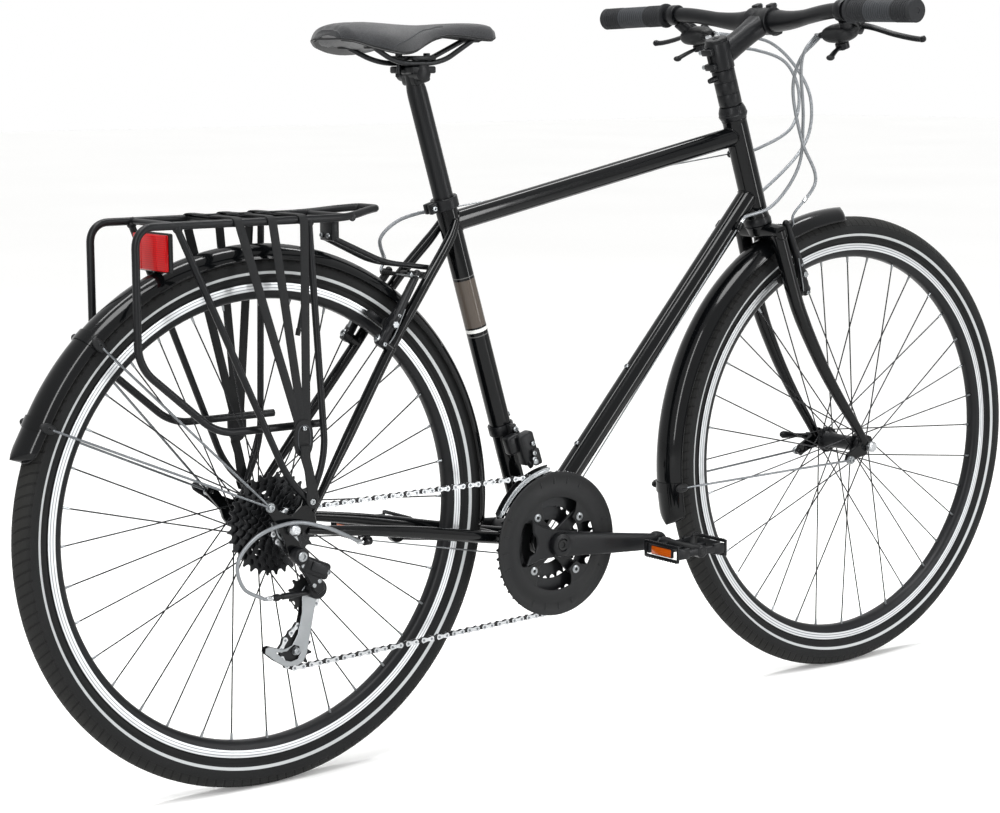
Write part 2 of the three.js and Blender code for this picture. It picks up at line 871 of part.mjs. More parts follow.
function downTubeFitting(share, lift, height, radius) {
  const centre = between(bracketPoint, downTubeHead, share);
  const out = [-downRun.y * lift, 0, downRun.x * lift];
  const foot = centre.map((value, i) => value + out[i] * (downTubeRadius - overrun));
  const tip = centre.map((value, i) => value + out[i] * (downTubeRadius + height));
  return rod(foot, tip, radius, housingSides);
}

function frameFittings() {
  const peg = seatTubePoint(seatTubePegAlong);
  const forward = [Math.sin(seatTubeAngle * degrees), 0, Math.cos(seatTubeAngle * degrees)];
  const pegTip = peg.map((value, i) => value + forward[i] * (seatTubeRadius + bottleBossHeight));
  const stops = [1, -1].map((side) => {
    const [x, y, z] = downTubeStop(side);
    const run = [downRun.x * cableStopLength, 0, downRun.y * cableStopLength];
    const stalk = rod([x + run[0] / 2, 0, z + run[2] / 2], [x + run[0] / 2, y, z + run[2] / 2], bottleBossRadius, housingSides);
    return unite([rod([x, y, z], [x + run[0], y, z + run[2]], cableStopRadius, housingSides), stalk]);
  });
  const headStop = [headStopX, headStopY, headStopHeight];
  const stayStop = [chainStayStopX, chainStayStopY, chainStayStopZ];
  return [
    ...stops,
    rod(headStop, [headStopX + cableStopLength, headStopY, headStopHeight], cableStopRadius, housingSides),
    rod([headStopX + cableStopLength / 2, 0, headStopHeight], [headStopX + cableStopLength / 2, headStopY, headStopHeight], bottleBossRadius, housingSides),
    rod([chainStayStopX, chainStayStopY, chainStayStopZ], [chainStayStopX + cableStopLength, chainStayStopY, chainStayStopZ], cableStopRadius, housingSides),
    rod([stayStop[0] + cableStopLength / 2, stayStop[1], stayStop[2]], [stayStop[0] + cableStopLength / 2, stayStop[1], stayStop[2] - chainStayStopRise], bottleBossRadius, housingSides),
    downTubeFitting(downTubeBossLowAlong, 1, bottleBossHeight, bottleBossRadius),
    downTubeFitting(downTubeBossHighAlong, 1, bottleBossHeight, bottleBossRadius),
    rod(peg, pegTip, bottleBossRadius, housingSides),
  ];
}

function mainFrame() {
  const chainBridgeX = rearFenderRadius + bridgeRadius * 2 + fenderThickness;
  const chainBridgeZ = between([axleZ], [bracketZ], chainBridgeX / bracketX)[0];
  const bridgeX = seatStayFenderX + stayRun.x * bridgeLift;
  const bridgeZ = seatStayFenderZ + stayRun.y * bridgeLift;
  const solid = unite([
    rod(headBottom, headTop, headTubeRadius, tubeSides),
    rod(bracketPoint, downTubeHead, downTubeRadius),
    rod(topTubeSeat, topTubeHead, topTubeRadius),
    rod(bracketPoint, seatTubeTop, seatTubeRadius),
    pin(bracketX, bracketZ, -bracketShellHalfWidth, bracketShellHalfWidth, bracketShellRadius, 2 * staySides),
    chainStay(1),
    chainStay(-1),
    seatStay(1),
    seatStay(-1),
    pin(chainBridgeX, chainBridgeZ, -chainStayTyreY, chainStayTyreY, bridgeRadius, housingSides),
    pin(bridgeX, bridgeZ, -seatStayFenderY, seatStayFenderY, bridgeRadius, housingSides),
    brakeBoss(rearPivotBase, rearBossAxis, brakePivotHalfSpacing),
    brakeBoss(rearPivotBase, rearBossAxis, -brakePivotHalfSpacing),
    rearDropout(1),
    rearDropout(-1),
    ...frameFittings(),
  ]);
  const boreFoot = seatTubePoint(seatTubeLength - seatPostInsert - seatPostTravel - seatPostClearance);
  const boreTop = seatTubePoint(seatTubeLength + overrun);
  return cut(solid, [
    rod(steeringPoint(0, 0, -overrun), steeringPoint(0, 0, headTubeLength + overrun), headTubeBore),
    pin(bracketX, bracketZ, -bracketShellHalfWidth - overrun, bracketShellHalfWidth + overrun, bracketBore, 2 * staySides),
    rod(boreFoot, boreTop, seatPostRadius + gap),
  ]);
}

add('main_frame', glossBlack(), mainFrame());

// Bottom bracket cups and their sleeve
function bottomBracket() {
  const sleeve = bracketBore - gap;
  const face = bracketShellHalfWidth + gap;
  const outer = face + bracketCupWidth;
  const outline = [[bracketCupRadius, -outer], [bracketCupRadius, -face], [sleeve, -face], [sleeve, face - gap]];
  return bored(outline, spindleBearingRadius, 2 * staySides).translate(bracketX, 0, bracketZ);
}

add('bottom_bracket', darkSteel(), bottomBracket());

// Seat clamp collar, post and saddle
function seatClamp() {
  const foot = seatTubeLength - seatClampHeight - gap;
  const top = seatTubeLength - gap;
  const bore = seatTubeRadius + gap;
  const ring = boredAlong([[seatClampRadius, 0], [seatClampRadius, seatClampHeight]], bore, tubeSides, seatTubePoint(foot), seatTubePoint(top));
  const ears = block(
    [-seatClampRadius - seatClampEarLength, -seatClampEarHalfWidth, 0],
    [-bore - gap, seatClampEarHalfWidth, seatClampHeight],
  );
  const bolt = rod(
    [-seatClampRadius - seatClampEarLength / 2, -seatClampEarHalfWidth - seatClampBoltRadius, seatClampHeight / 2],
    [-seatClampRadius - seatClampEarLength / 2, seatClampEarHalfWidth + seatClampBoltRadius, seatClampHeight / 2],
    seatClampBoltRadius,
    housingSides,
  );
  const lean = new THREE.Matrix4().makeRotationY(-(90 - seatTubeAngle) * degrees);
  lean.setPosition(...seatTubePoint(foot));
  return unite([ring, unite([ears, bolt]).transform(lean.elements)]);
}

add('seat_clamp', satinBlack(), seatClamp());

const saddleRailHeight = saddleTopHeight - saddleRailDrop;
const cradleTop = saddleRailHeight - saddleRailRadius - gap;
const railX = seatTubeAtHeight(cradleTop - seatPostHeadDrop)[0];
const saddleRearX = railX - saddleSetback;

function seatPost() {
  const foot = seatTubePoint(seatTubeLength - seatPostInsert);
  const neck = seatTubeAtHeight(cradleTop - headThickness / 2);
  const head = block(
    [railX - headHalfLength, -headHalfWidth, cradleTop - headThickness],
    [railX + headHalfLength, headHalfWidth, cradleTop],
  );
  return unite([rod(foot, neck, seatPostRadius), head]);
}

add('seatpost', satinBlack(), seatPost());

function saddleClamp() {
  const low = saddleRailHeight + saddleRailRadius + gap;
  const reach = headHalfLength + gap + 2 * clampBoltRadius;
  const boltFoot = cradleTop - headThickness - clampBoltRadius;
  const bolt = (side) => rod(
    [railX + side * (headHalfLength + gap + clampBoltRadius), 0, boltFoot],
    [railX + side * (headHalfLength + gap + clampBoltRadius), 0, low + clampThickness + clampBoltRadius],
    clampBoltRadius,
    staySides,
  );
  const yoke = block([railX - reach, -headHalfWidth, low], [railX + reach, headHalfWidth, low + clampThickness]);
  return unite([yoke, bolt(1), bolt(-1)]);
}

add('saddle_clamp', satinBlack(), saddleClamp());

// Saddle outline: shares of the half width at shares of the length, from the tail to the nose
const saddleWidthShares = [0.5, 0.82, 0.97, 1, 0.93, 0.76, 0.55, 0.39, 0.3, 0.255, 0.235, 0.22, 0.19, 0.12];
const saddlePlaceShares = [0, 0.03, 0.09, 0.17, 0.26, 0.36, 0.46, 0.56, 0.66, 0.76, 0.85, 0.92, 0.97, 1];
const saddleTopShares = [0.62, 0.86, 0.97, 0.98, 0.93, 0.87, 0.83, 0.81, 0.8, 0.79, 0.78, 0.75, 0.68, 0.45];
const saddleSideShares = [0, 0.55, 0.86, 1, 0.96, 0.8];
const saddleCrownShares = [1, 0.97, 0.84, 0.55, 0.22, 0];

function saddleRing(i, bottom) {
  const x = saddleRearX + saddlePlaceShares[i] * saddleLength;
  const half = saddleWidthShares[i] * saddleHalfWidth;
  const top = bottom + saddleTopShares[i] * (saddleTopHeight - bottom);
  const low = bottom + (1 - saddleWidthShares[i]) * saddleShellThickness;
  const right = saddleSideShares.map((share, k) => [x, -half * share, low + (top - low) * saddleCrownShares[k]]);
  const left = mirrored(right).slice(1).reverse();
  return [...left, ...right];
}

function loft(rings) {
  const sides = rings[0].length;
  const corners = rings.flat(2);
  const faces = [];
  for (let i = 0; i < rings.length - 1; i += 1) {
    for (let k = 0; k < sides; k += 1) {
      const next = (k + 1) % sides;
      const low = i * sides;
      faces.push(low + k, low + next, low + sides + next);
      faces.push(low + k, low + sides + next, low + sides + k);
    }
  }
  const last = (rings.length - 1) * sides;
  for (let k = 1; k < sides - 1; k += 1) {
    faces.push(0, k + 1, k);
    faces.push(last, last + k, last + k + 1);
  }
  const geometry = new THREE.BufferGeometry();
  geometry.setAttribute('position', new THREE.Float32BufferAttribute(corners, 3));
  geometry.setIndex(faces);
  return solidOf(geometry);
}

const padBottom = saddleTopHeight - saddlePadThickness;

function saddleCover() {
  return loft(saddlePlaceShares.map((_, i) => saddleRing(i, padBottom)));
}

function saddleRail(side) {
  const y = side * saddleRailHalfSpacing;
  const stations = rounded([
    [saddleRearX + saddleRailTailInset, y * saddleRailSpreadShare, padBottom - saddleShellThickness / 2],
    [railX - saddleRailFlatHalf - saddleRailRise, y, saddleRailHeight],
    [railX + saddleRailFlatHalf, y, saddleRailHeight],
    [saddleRearX + saddleLength - saddleRailNoseInset, y / 2, padBottom - saddleShellThickness / 2],
  ], saddleRailRise, 3);
  return tube(stations, saddleRailRadius, housingSides);
}

function saddleBase() {
  const top = padBottom - gap;
  const right = saddlePlaceShares.map((place, i) => {
    const half = saddleWidthShares[i] * saddleHalfWidth * saddleBaseShare;
    return new THREE.Vector2(saddleRearX + place * saddleLength, -half);
  });
  const left = right.map((corner) => new THREE.Vector2(corner.x, -corner.y)).reverse();
  const outline = [...right, ...left];
  const geometry = new THREE.ExtrudeGeometry(new THREE.Shape(outline), { depth: saddleShellThickness, bevelEnabled: false, curveSegments: 1 });
  geometry.translate(0, 0, top - saddleShellThickness);
  return unite([solidOf(geometry), saddleRail(1), saddleRail(-1)]);
}

add('saddle_cover', matteBlack(), saddleCover());
add('saddle_base', darkSteel(), saddleBase());

// Steering assembly, built upright about the steering axis and then leaned back
const steering = new THREE.Group();
steering.position.set(headX, 0, headZ);
steering.rotation.y = -(90 - headTubeAngle) * degrees;
bike.add(steering);

function addSteering(name, finish, solid) {
  addTo(steering, name, finish, solid);
}

function upright(outline, bore, segments = hubSegments) {
  return boredAlong(outline, bore, segments, [0, 0, 0], [0, 0, 1]);
}

add('lower_headset_cup', satinBlack(), upright([
  [headsetCupRadius - gap, -lowerCupHeight],
  [headsetCupRadius, -lowerCupHeight / 2],
  [headTubeRadius + gap, -gap],
], headsetBore).transform(new THREE.Matrix4().compose(steering.position, new THREE.Quaternion().setFromEuler(steering.rotation), new THREE.Vector3(1, 1, 1)).elements));

add('upper_headset_cup', satinBlack(), upright([
  [headTubeRadius + gap, headTubeLength + gap],
  [headsetCupRadius + headsetLip, headTubeLength + upperCupHeight / 3],
  [headsetCupRadius, headTubeLength + upperCupHeight / 2],
  [upperCupTopRadius, headTubeLength + upperCupHeight * 0.7],
  [upperCupTopRadius, headTubeLength + upperCupHeight],
], headsetBore).transform(new THREE.Matrix4().compose(steering.position, new THREE.Quaternion().setFromEuler(steering.rotation), new THREE.Vector3(1, 1, 1)).elements));

const forkAxle = [forkRake, -axleToCrownRace];
const frontDropoutY = frontHubWidth / 2 + gap;
const frontDropoutMid = frontDropoutY + frontDropoutThickness / 2;
const frontPivotUp = frontBrakeRise - axleToCrownRace;

function forkBlade(side) {
  const foot = -axleToCrownRace + eyeletRadius;
  const kneeUp = -crownTopDrop - bladeStraightLength;
  const lower = new THREE.CubicBezierCurve3(
    new THREE.Vector3(0, side * (bladeTopY + 0.6 * (frontDropoutMid - bladeTopY)), kneeUp),
    new THREE.Vector3(0, side * (bladeTopY + 0.8 * (frontDropoutMid - bladeTopY)), (2 * kneeUp + foot) / 3),
    new THREE.Vector3(forkRake * 0.4, side * frontDropoutMid, (kneeUp + 2 * foot) / 3),
    new THREE.Vector3(forkRake - eyeletRadius / 2, side * frontDropoutMid, foot),
  );
  const stations = [[0, side * bladeTopY, -crownTopDrop - crownHeight / 2], ...lower.getPoints(bladeSteps).map((point) => point.toArray())];
  const radii = stations.map((_, i) => bladeTopRadius + (bladeTipRadius - bladeTopRadius) * (i / (stations.length - 1)));
  return taperedTube(stations, radii, bladeSides);
}

function forkDropout(side) {
  const [x, z] = forkAxle;
  const wing = eyeletRadius;
  const plate = [
    [x - forkEyeletBack - wing, z - forkEyeletDrop],
    [x - forkEyeletBack, z - forkEyeletDrop + wing],
    [x - 2 * wing, z + wing],
    [x - wing, z + 2 * wing],
    [x + wing / 2, z + 2 * wing],
    [x + 1.3 * wing, z + wing],
    [x + 1.3 * wing, z - wing],
    [x - wing, z - 1.3 * wing],
    [x - forkEyeletBack, z - forkEyeletDrop - wing],
  ];
  const inner = side * frontDropoutY;
  const outer = side * (frontDropoutY + frontDropoutThickness);
  const slot = axleSlot(x, z, -90, inner - side * overrun, outer + side * overrun);
  return cut(slab(plate, inner, outer), [slot]);
}

function fork() {
  const steerer = rod([0, 0, -crownTopDrop - overrun], [0, 0, stemClampBottom + stemClampHeight - 2 * overrun], steererRadius, hubSegments);
  const crown = block([-crownHalfDepth * 0.7, -crownHalfWidth, -crownTopDrop - crownHeight], [crownHalfDepth * 0.7, crownHalfWidth, -crownTopDrop]);
  const race = rod([0, 0, -crownTopDrop - crownHeight], [0, 0, -crownTopDrop], headsetCupRadius, hubSegments);
  const boss = (side) => brakeBoss([0, 0, frontPivotUp], [1, 0, 0], side * brakePivotHalfSpacing);
  return unite([steerer, crown, race, forkBlade(1), forkBlade(-1), forkDropout(1), forkDropout(-1), boss(1), boss(-1)]);
}

addSteering('fork', glossBlack(), fork());

function spacers() {
  const step = (spacerTop - spacerBottom) / spacerCount;
  const outline = [];
  for (let i = 0; i < spacerCount; i += 1) {
    const low = spacerBottom + i * step;
    outline.push([spacerRadius - spacerGroove, low]);
    outline.push([spacerRadius, low + spacerGroove]);
    outline.push([spacerRadius, low + step]);
  }
  const lug = rod(
    [-spacerRadius + overrun, 0, spacerTop - step / 2],
    [-spacerRadius - bracketLugLength, 0, spacerTop - step / 2],
    bracketLugRadius,
    staySides,
  );
  return unite([upright(outline, headsetBore), lug]);
}

addSteering('headset_spacers', satinBlack(), spacers());

const barOut = stemReach;
const barBendHalf = barHalfWidth - barStraightLength;
const gripStartY = barHalfWidth - gripLength;
const controlClampY = gripStartY - controlClampGap - controlClampWidth / 2;
const barUp = stemClampBottom + stemClampHeight / 2 + stemRise;

function barStations(side, endY) {
  const rise = (y) => THREE.MathUtils.smoothstep(y, barBulgeHalf, barBendHalf);
  const sweep = (y) => Math.max(y - barBulgeHalf, 0) / (barHalfWidth - barBulgeHalf);
  const places = [0, barBulgeHalf, barTaperHalf, (barTaperHalf + barBendHalf) / 2, barBendHalf, gripStartY, endY];
  return places.map((y) => [barOut - barSweep * sweep(y), side * y, barUp + barRise * rise(y)]);
}

function barRadii(endRadius, extra) {
  return [barCentreRadius, barCentreRadius, barRadius, barRadius, barRadius, barRadius, endRadius].map((radius) => radius + extra);
}

function barSolid(extra) {
  const end = barHalfWidth - 2 * gap - overrun;
  const right = barStations(-1, end);
  const left = barStations(1, end);
  const stations = [...left.slice(1).reverse(), ...right];
  const radii = [...barRadii(barRadius, extra).slice(1).reverse(), ...barRadii(barRadius, extra)];
  return taperedTube(stations, radii, barSides);
}

const bar = barSolid(0);
const barRoom = barSolid(gap);
addSteering('handlebar', satinBlack(), bar);

function stem() {
  const clampMid = stemClampBottom + stemClampHeight / 2;
  const run = new THREE.Vector2(stemReach, stemRise).normalize();
  const neck = [barOut - run.x * barClampRadius / 2, 0, barUp - run.y * barClampRadius / 2];
  const solid = unite([
    upright([[stemClampRadius, stemClampBottom], [stemClampRadius, stemClampBottom + stemClampHeight]], headsetBore),
    upright([[stemClampRadius - overrun, stemClampBottom + stemClampHeight], [stemClampRadius - overrun, stemClampBottom + stemClampHeight + stemCapHeight]], headsetBore / 2),
    rod([stemClampRadius / 2, 0, clampMid], neck, stemRadius, barSides),
    pin(barOut, barUp, -barClampHalfWidth, barClampHalfWidth, barClampRadius, tubeSides),
  ]);
  const bore = rod([0, 0, stemClampBottom - overrun], [0, 0, stemClampBottom + stemClampHeight - overrun], headsetBore, hubSegments);
  return cut(solid, [bore, barRoom]);
}

addSteering('stem', satinBlack(), stem());

function grip(side) {
  const [, , , , , start, end] = barStations(side, barHalfWidth);
  const flangeShare = gripFlangeLength / gripLength;
  const places = [0, flangeShare, 2 * flangeShare, gripSwellShare, 1 - flangeShare, 1];
  const stations = places.map((share) => between(start, end, share));
  const waist = gripRadius - gripTaper;
  const radii = [gripFlangeRadius, gripFlangeRadius, waist, gripRadius, gripRadius, waist];
  return cut(taperedTube(stations, radii, tubeSides), [barRoom]);
}

addSteering('right_grip', gripGrey(), grip(-1));
addSteering('left_grip', gripGrey(), grip(1));

// Brake and shift controls under the bar
function barAt(y) {
  const stations = barStations(1, barHalfWidth);
  const next = stations.findIndex((point) => point[1] >= y);
  const from = stations[next - 1];
  return between(from, stations[next], (y - from[1]) / (stations[next][1] - from[1]));
}

const controlCentre = barAt(controlClampY);
const leverPivot = [controlCentre[0] + leverPivotForward, controlClampY - leverPivotInset, controlCentre[2] - leverPivotDrop];
const leverAxis = [Math.cos(leverSlantAngle * degrees), 0, Math.sin(leverSlantAngle * degrees)];

function sideways(point, side) {
  return [point[0], side * point[1], point[2]];
}

// Where a cable leaves a control, at the pod's inner end
function controlPort(side, row) {
  const [x, y, z] = controlCentre;
  return [x + podForward + row * portSpread, side * (y - podInset - podHalfLength), z - podDrop];
}

function control(side) {
  const [x, y, z] = controlCentre;
  const low = y - controlClampWidth / 2;
  const ring = pin(x, z, side * low, side * (low + controlClampWidth), controlClampRadius, tubeSides);
  const pod = new THREE.SphereGeometry(1, podSides, podSides / 2);
  pod.scale(podHalfDepth, podHalfLength, podHalfHeight);
  pod.translate(x + podForward, side * (y - podInset), z - podDrop);
  const neck = rod([x, side * y, z - barRadius], [x + podForward, side * (y - podInset / 3), z - podDrop], podHalfHeight / 2, staySides);
  const foot = leverPivot.map((value, i) => value - leverAxis[i] * (leverDepth / 2 + gap));
  const tip = leverPivot.map((value, i) => value - leverAxis[i] * (leverDepth / 2 + gap + leverBracketThickness));
  const plate = rod(sideways(foot, side), sideways(tip, side), leverPivotRadius, staySides);
  const arm = rod([x + podForward / 2, side * y, z - podDrop / 2], sideways(between(foot, tip, 1 / 2), side), leverBracketThickness / 2, staySides);
  const ports = [1, -1].map((row) => {
    const port = controlPort(side, row);
    return rod([port[0], port[1] + side * adjusterLength, port[2]], port, adjusterRadius, housingSides);
  });
  return cut(unite([ring, solidOf(pod), neck, plate, arm, ...ports]), [barRoom]);
}

addSteering('right_control', satinBlack(), control(-1));
addSteering('left_control', satinBlack(), control(1));

function brakeLever(side) {
  const half = leverAxis.map((value) => (value * leverDepth) / 2);
  const hub = rod(
    sideways(leverPivot.map((value, i) => value - half[i]), side),
    sideways(leverPivot.map((value, i) => value + half[i]), side),
    leverPivotRadius,
    staySides,
  );
  const out = [leverAxis[2], 0, -leverAxis[0]];
  const at = (along, forward) => [
    leverPivot[0] - out[0] * forward,
    leverPivot[1] + along,
    leverPivot[2] - out[2] * forward,
  ];
  const stations = [at(0, 0), at(leverLength * 0.22, leverThickness * 0.4), at(leverLength * 0.5, 0), at(leverLength * 0.8, leverThickness * 0.1), at(leverLength, leverThickness * 0.6)];
  const radii = [leverDepth / 2, leverDepth / 2, leverDepth / 2.4, leverDepth / 2.4, leverDepth / 2];
  return unite([hub, taperedTube(stations.map((point) => sideways(point, side)), radii, staySides)]);
}

addSteering('right_brake_lever', satinBlack(), brakeLever(-1));
addSteering('left_brake_lever', satinBlack(), brakeLever(1));

function shiftLever(side) {
  const [x, y, z] = controlCentre;
  const start = [x + podForward, y - podInset, z - podDrop - podHalfHeight - shiftLeverRadius - gap];
  const end = [start[0] - shiftLeverLength, start[1] + shiftLeverDrop, start[2] - shiftLeverDrop / 2];
  const hub = rod([start[0], start[1], start[2] - shiftLeverRadius], [start[0], start[1], start[2] + shiftLeverRadius], 2 * shiftLeverRadius, staySides);
  const blade = rod(start, end, shiftLeverRadius * 0.7, housingSides, shiftLeverRadius * 0.9);
  return side > 0 ? unite([hub, blade]) : unite([hub, blade]).mirror([0, 1, 0]);
}

addSteering('right_shift_lever', satinBlack(), shiftLever(-1));
addSteering('left_shift_lever', satinBlack(), shiftLever(1));

// Linear-pull brake arms, in a frame with X along the boss, Z up the arm and its pivot at the origin
function brakeArm(side, axleOut, axleUp) {
  const inner = brakeBossLength + gap;
  const outer = inner + brakeArmThickness;
  const mid = (inner + outer) / 2;
  const y = side * brakePivotHalfSpacing;
  const collar = rod([inner, y, 0], [outer, y, 0], brakeCollarRadius, staySides);
  const stations = [
    [mid, y, 0],
    [mid, side * (brakePivotHalfSpacing + brakeArmTopWidth / 4), brakeArmLength * 0.35],
    [mid, side * brakePivotHalfSpacing * 0.95, brakeArmLength * 0.65],
    [mid, side * brakeArmTopY, brakeArmLength],
  ];
  const arm = taperedTube(stations, [brakeArmWidth / 2, brakeArmWidth / 2, brakeArmTopWidth / 2, brakeArmTopWidth / 2], armSides);
  const padUp = Math.sqrt(brakeTrackRadius ** 2 - (mid - axleOut) ** 2) + axleUp;
  const lean = Math.atan2(mid - axleOut, padUp - axleUp);
  const padInner = rimHalfWidth + padClearance;
  const pad = new THREE.BoxGeometry(padLength, padThickness, padHeight);
  pad.rotateY(lean);
  pad.translate(mid, side * (padInner + padThickness / 2), padUp);
  const stud = rod([mid, side * (padInner + padThickness / 2), padUp], [mid, y, padUp], padStudRadius, armSides);
  const hole = rod([inner - overrun, y, 0], [outer + overrun, y, 0], brakePinRadius + 2 * gap, staySides);
  return cut(unite([collar, arm, solidOf(pad), stud]), [hole]);
}

const frontArmFrame = new THREE.Group();
frontArmFrame.position.set(0, 0, frontPivotUp);
steering.add(frontArmFrame);
addTo(frontArmFrame, 'front_right_brake_arm', satinBlack(), brakeArm(-1, forkRake, -axleToCrownRace - frontPivotUp));
addTo(frontArmFrame, 'front_left_brake_arm', satinBlack(), brakeArm(1, forkRake, -axleToCrownRace - frontPivotUp));

const rearArmFrame = new THREE.Group();
rearArmFrame.position.set(rearPivotBase[0], 0, rearPivotBase[2]);
rearArmFrame.rotation.set(0, Math.atan2(stayRun.x, stayRun.y), Math.PI, 'YZX');
bike.add(rearArmFrame);
const rearAxleOut = (0 - rearPivotBase[0]) * rearBossAxis[0] + (axleZ - rearPivotBase[2]) * rearBossAxis[2];
const rearAxleUp = (0 - rearPivotBase[0]) * stayRun.x + (axleZ - rearPivotBase[2]) * stayRun.y;
addTo(rearArmFrame, 'rear_right_brake_arm', satinBlack(), brakeArm(1, rearAxleOut, rearAxleUp));
addTo(rearArmFrame, 'rear_left_brake_arm', satinBlack(), brakeArm(-1, rearAxleOut, rearAxleUp));

// Wheels
function tyre() {
  const centre = tyreRadius - tyreHalfWidth;
  const points = [];
  for (let i = 0; i <= tyreSectionSteps; i += 1) {
    const angle = tyreOpenAngle * (2 * i / tyreSectionSteps - 1) * degrees;
    points.push([centre + tyreHalfWidth * Math.cos(angle), tyreHalfWidth * Math.sin(angle)]);
  }
  const bead = rimOuterRadius + gap;
  const beadY = points.at(-1)[1];
  const room = tyreHalfWidth - tyreWallThickness;
  const shoulder = [centre + room * Math.cos(tyreShoulderAngle * degrees), room * Math.sin(tyreShoulderAngle * degrees)];
  const hollow = [[bead, beadY - tyreWallThickness], shoulder, [shoulder[0], -shoulder[1]], [bead, tyreWallThickness - beadY]];
  return revolve([[bead, -beadY], ...points, [bead, beadY], ...hollow], wheelSegments);
}

function rim() {
  const track = rimOuterRadius - brakeTrackHeight;
  const hook = rimHalfWidth - rimHookWidth;
  return revolve([
    [rimOuterRadius, rimHalfWidth],
    [track, rimHalfWidth],
    [rimBedRadius, rimBedWidth / 2],
    [rimBedRadius, -rimBedWidth / 2],
    [track, -rimHalfWidth],
    [rimOuterRadius, -rimHalfWidth],
    [rimOuterRadius, -hook],
    [rimBedRadius + rimWallThickness, 0],
    [rimOuterRadius, hook],
  ], wheelSegments);
}

function spoke(side, index, flangeY, holeRadius) {
  const lead = index % 2 === 0 ? 1 : -1;
  const step = 360 / spokesPerSide;
  const start = index * step + (side < 0 ? step / 2 : 0);
  const [fromX, fromZ] = around(0, 0, holeRadius, start);
  const [toX, toZ] = around(0, 0, rimBedRadius - gap, start + lead * spokeCrossAngle);
  const from = [fromX, flangeY + lead * spokeFlangeOffset, fromZ];
  const to = [toX, side * spokeRimOffset, toZ];
  return rod(from, to, spokeRadius, 3);
}

function spokes(side, flangeY, flangeRadius) {
  const all = Array.from({ length: spokesPerSide }, (_, i) => spoke(side, i, flangeY, flangeRadius - spokeHoleInset));
  return unite(all);
}

function flange(y, radius) {
  const half = flangeThickness / 2;
  return [[hubCoreRadius, y - half], [radius, y - half], [radius, y + half], [hubCoreRadius, y + half]];
}

function frontHub() {
  const face = frontHubWidth / 2;
  const stub = face + frontDropoutThickness - gap;
  const outline = [
    [axleStubRadius, -stub], [axleStubRadius, -face], [lockNutRadius, -face], [lockNutRadius, lockNutLength - face],
    ...flange(-frontFlangeY, frontFlangeRadius),
    ...flange(frontFlangeY, frontFlangeRadius),
    [lockNutRadius, face - lockNutLength], [lockNutRadius, face], [axleStubRadius, face], [axleStubRadius, stub],
  ];
  return unite([
    bored(outline, skewerBore, hubSegments),
    spokes(1, frontFlangeY, frontFlangeRadius),
    spokes(-1, -frontFlangeY, frontFlangeRadius),
  ]);
}

function rearHub() {
  const face = rearHubWidth / 2;
  const stub = face + rearDropoutThickness - gap;
  const outline = [
    [axleStubRadius, -stub], [axleStubRadius, -face], [lockNutRadius, -face], [lockNutRadius, -freehubEnd],
    [freehubRadius, -freehubEnd], [freehubRadius, rearRightFlangeY - flangeThickness],
    ...flange(rearRightFlangeY, rearFlangeRadius),
    ...flange(rearLeftFlangeY, rearFlangeRadius),
    [lockNutRadius, face - 2 * lockNutLength], [lockNutRadius, face], [axleStubRadius, face], [axleStubRadius, stub],
  ];
  return unite([
    bored(outline, skewerBore, hubSegments),
    spokes(1, rearLeftFlangeY, rearFlangeRadius),
    spokes(-1, rearRightFlangeY, rearFlangeRadius),
  ]);
}

const rearWheel = new THREE.Group();
rearWheel.position.set(0, 0, axleZ);
const frontWheel = new THREE.Group();
frontWheel.position.set(wheelbase, 0, axleZ);
bike.add(rearWheel, frontWheel);
addTo(rearWheel, 'rear_tyre', rubberBlack(), tyre());
addTo(rearWheel, 'rear_rim', satinBlack(), rim());
addTo(rearWheel, 'rear_hub', satinBlack(), rearHub());
addTo(frontWheel, 'front_tyre', rubberBlack(), tyre());
addTo(frontWheel, 'front_rim', satinBlack(), rim());
addTo(frontWheel, 'front_hub', satinBlack(), frontHub());

// Toothed wheels
function pitchRadius(teeth) {
  return chainPitch / (2 * Math.sin(Math.PI / teeth));
}

function toothedOutline(teeth) {
  const radius = pitchRadius(teeth);
  return Array.from({ length: teeth }, (_, i) => [
    around(0, 0, radius - toothFall, (i * 360) / teeth),
    around(0, 0, radius + toothRise, ((i + 1 / 2) * 360) / teeth),
  ]).flat();
}

function cassette() {
  const innerY = cassetteOuterY + cassettePitch * (cassetteTeeth.length - 1);
  const half = sprocketThickness / 2;
  const core = pin(0, 0, cassetteOuterY - half, innerY, cassetteCoreRadius, staySides);
  const discs = cassetteTeeth.map((teeth, i) => {
    const y = cassetteOuterY + i * cassettePitch;
    return slab(toothedOutline(teeth), y - half, y + half);
  });
  const bore = pin(0, 0, cassetteOuterY - half - overrun, innerY + half + overrun, cassetteBore, staySides);
  return cut(unite([core, ...discs]), [bore]);
}

addTo(rearWheel, 'cassette', darkSteel(), cassette());

// Crankset
const crankset = new THREE.Group();
crankset.position.set(bracketX, 0, bracketZ);
crankset.rotation.y = crankRestAngle * degrees;
bike.add(crankset);

const ringYs = ringTeeth.map((_, i) => chainRingY + i * ringSpacing);

const armAngles = Array.from({ length: ringArmCount }, (_, i) => (360 * (i + 1 / 2)) / ringArmCount);

function boltPlaces(radius) {
  return armAngles.map((angle) => around(0, 0, radius, angle));
}

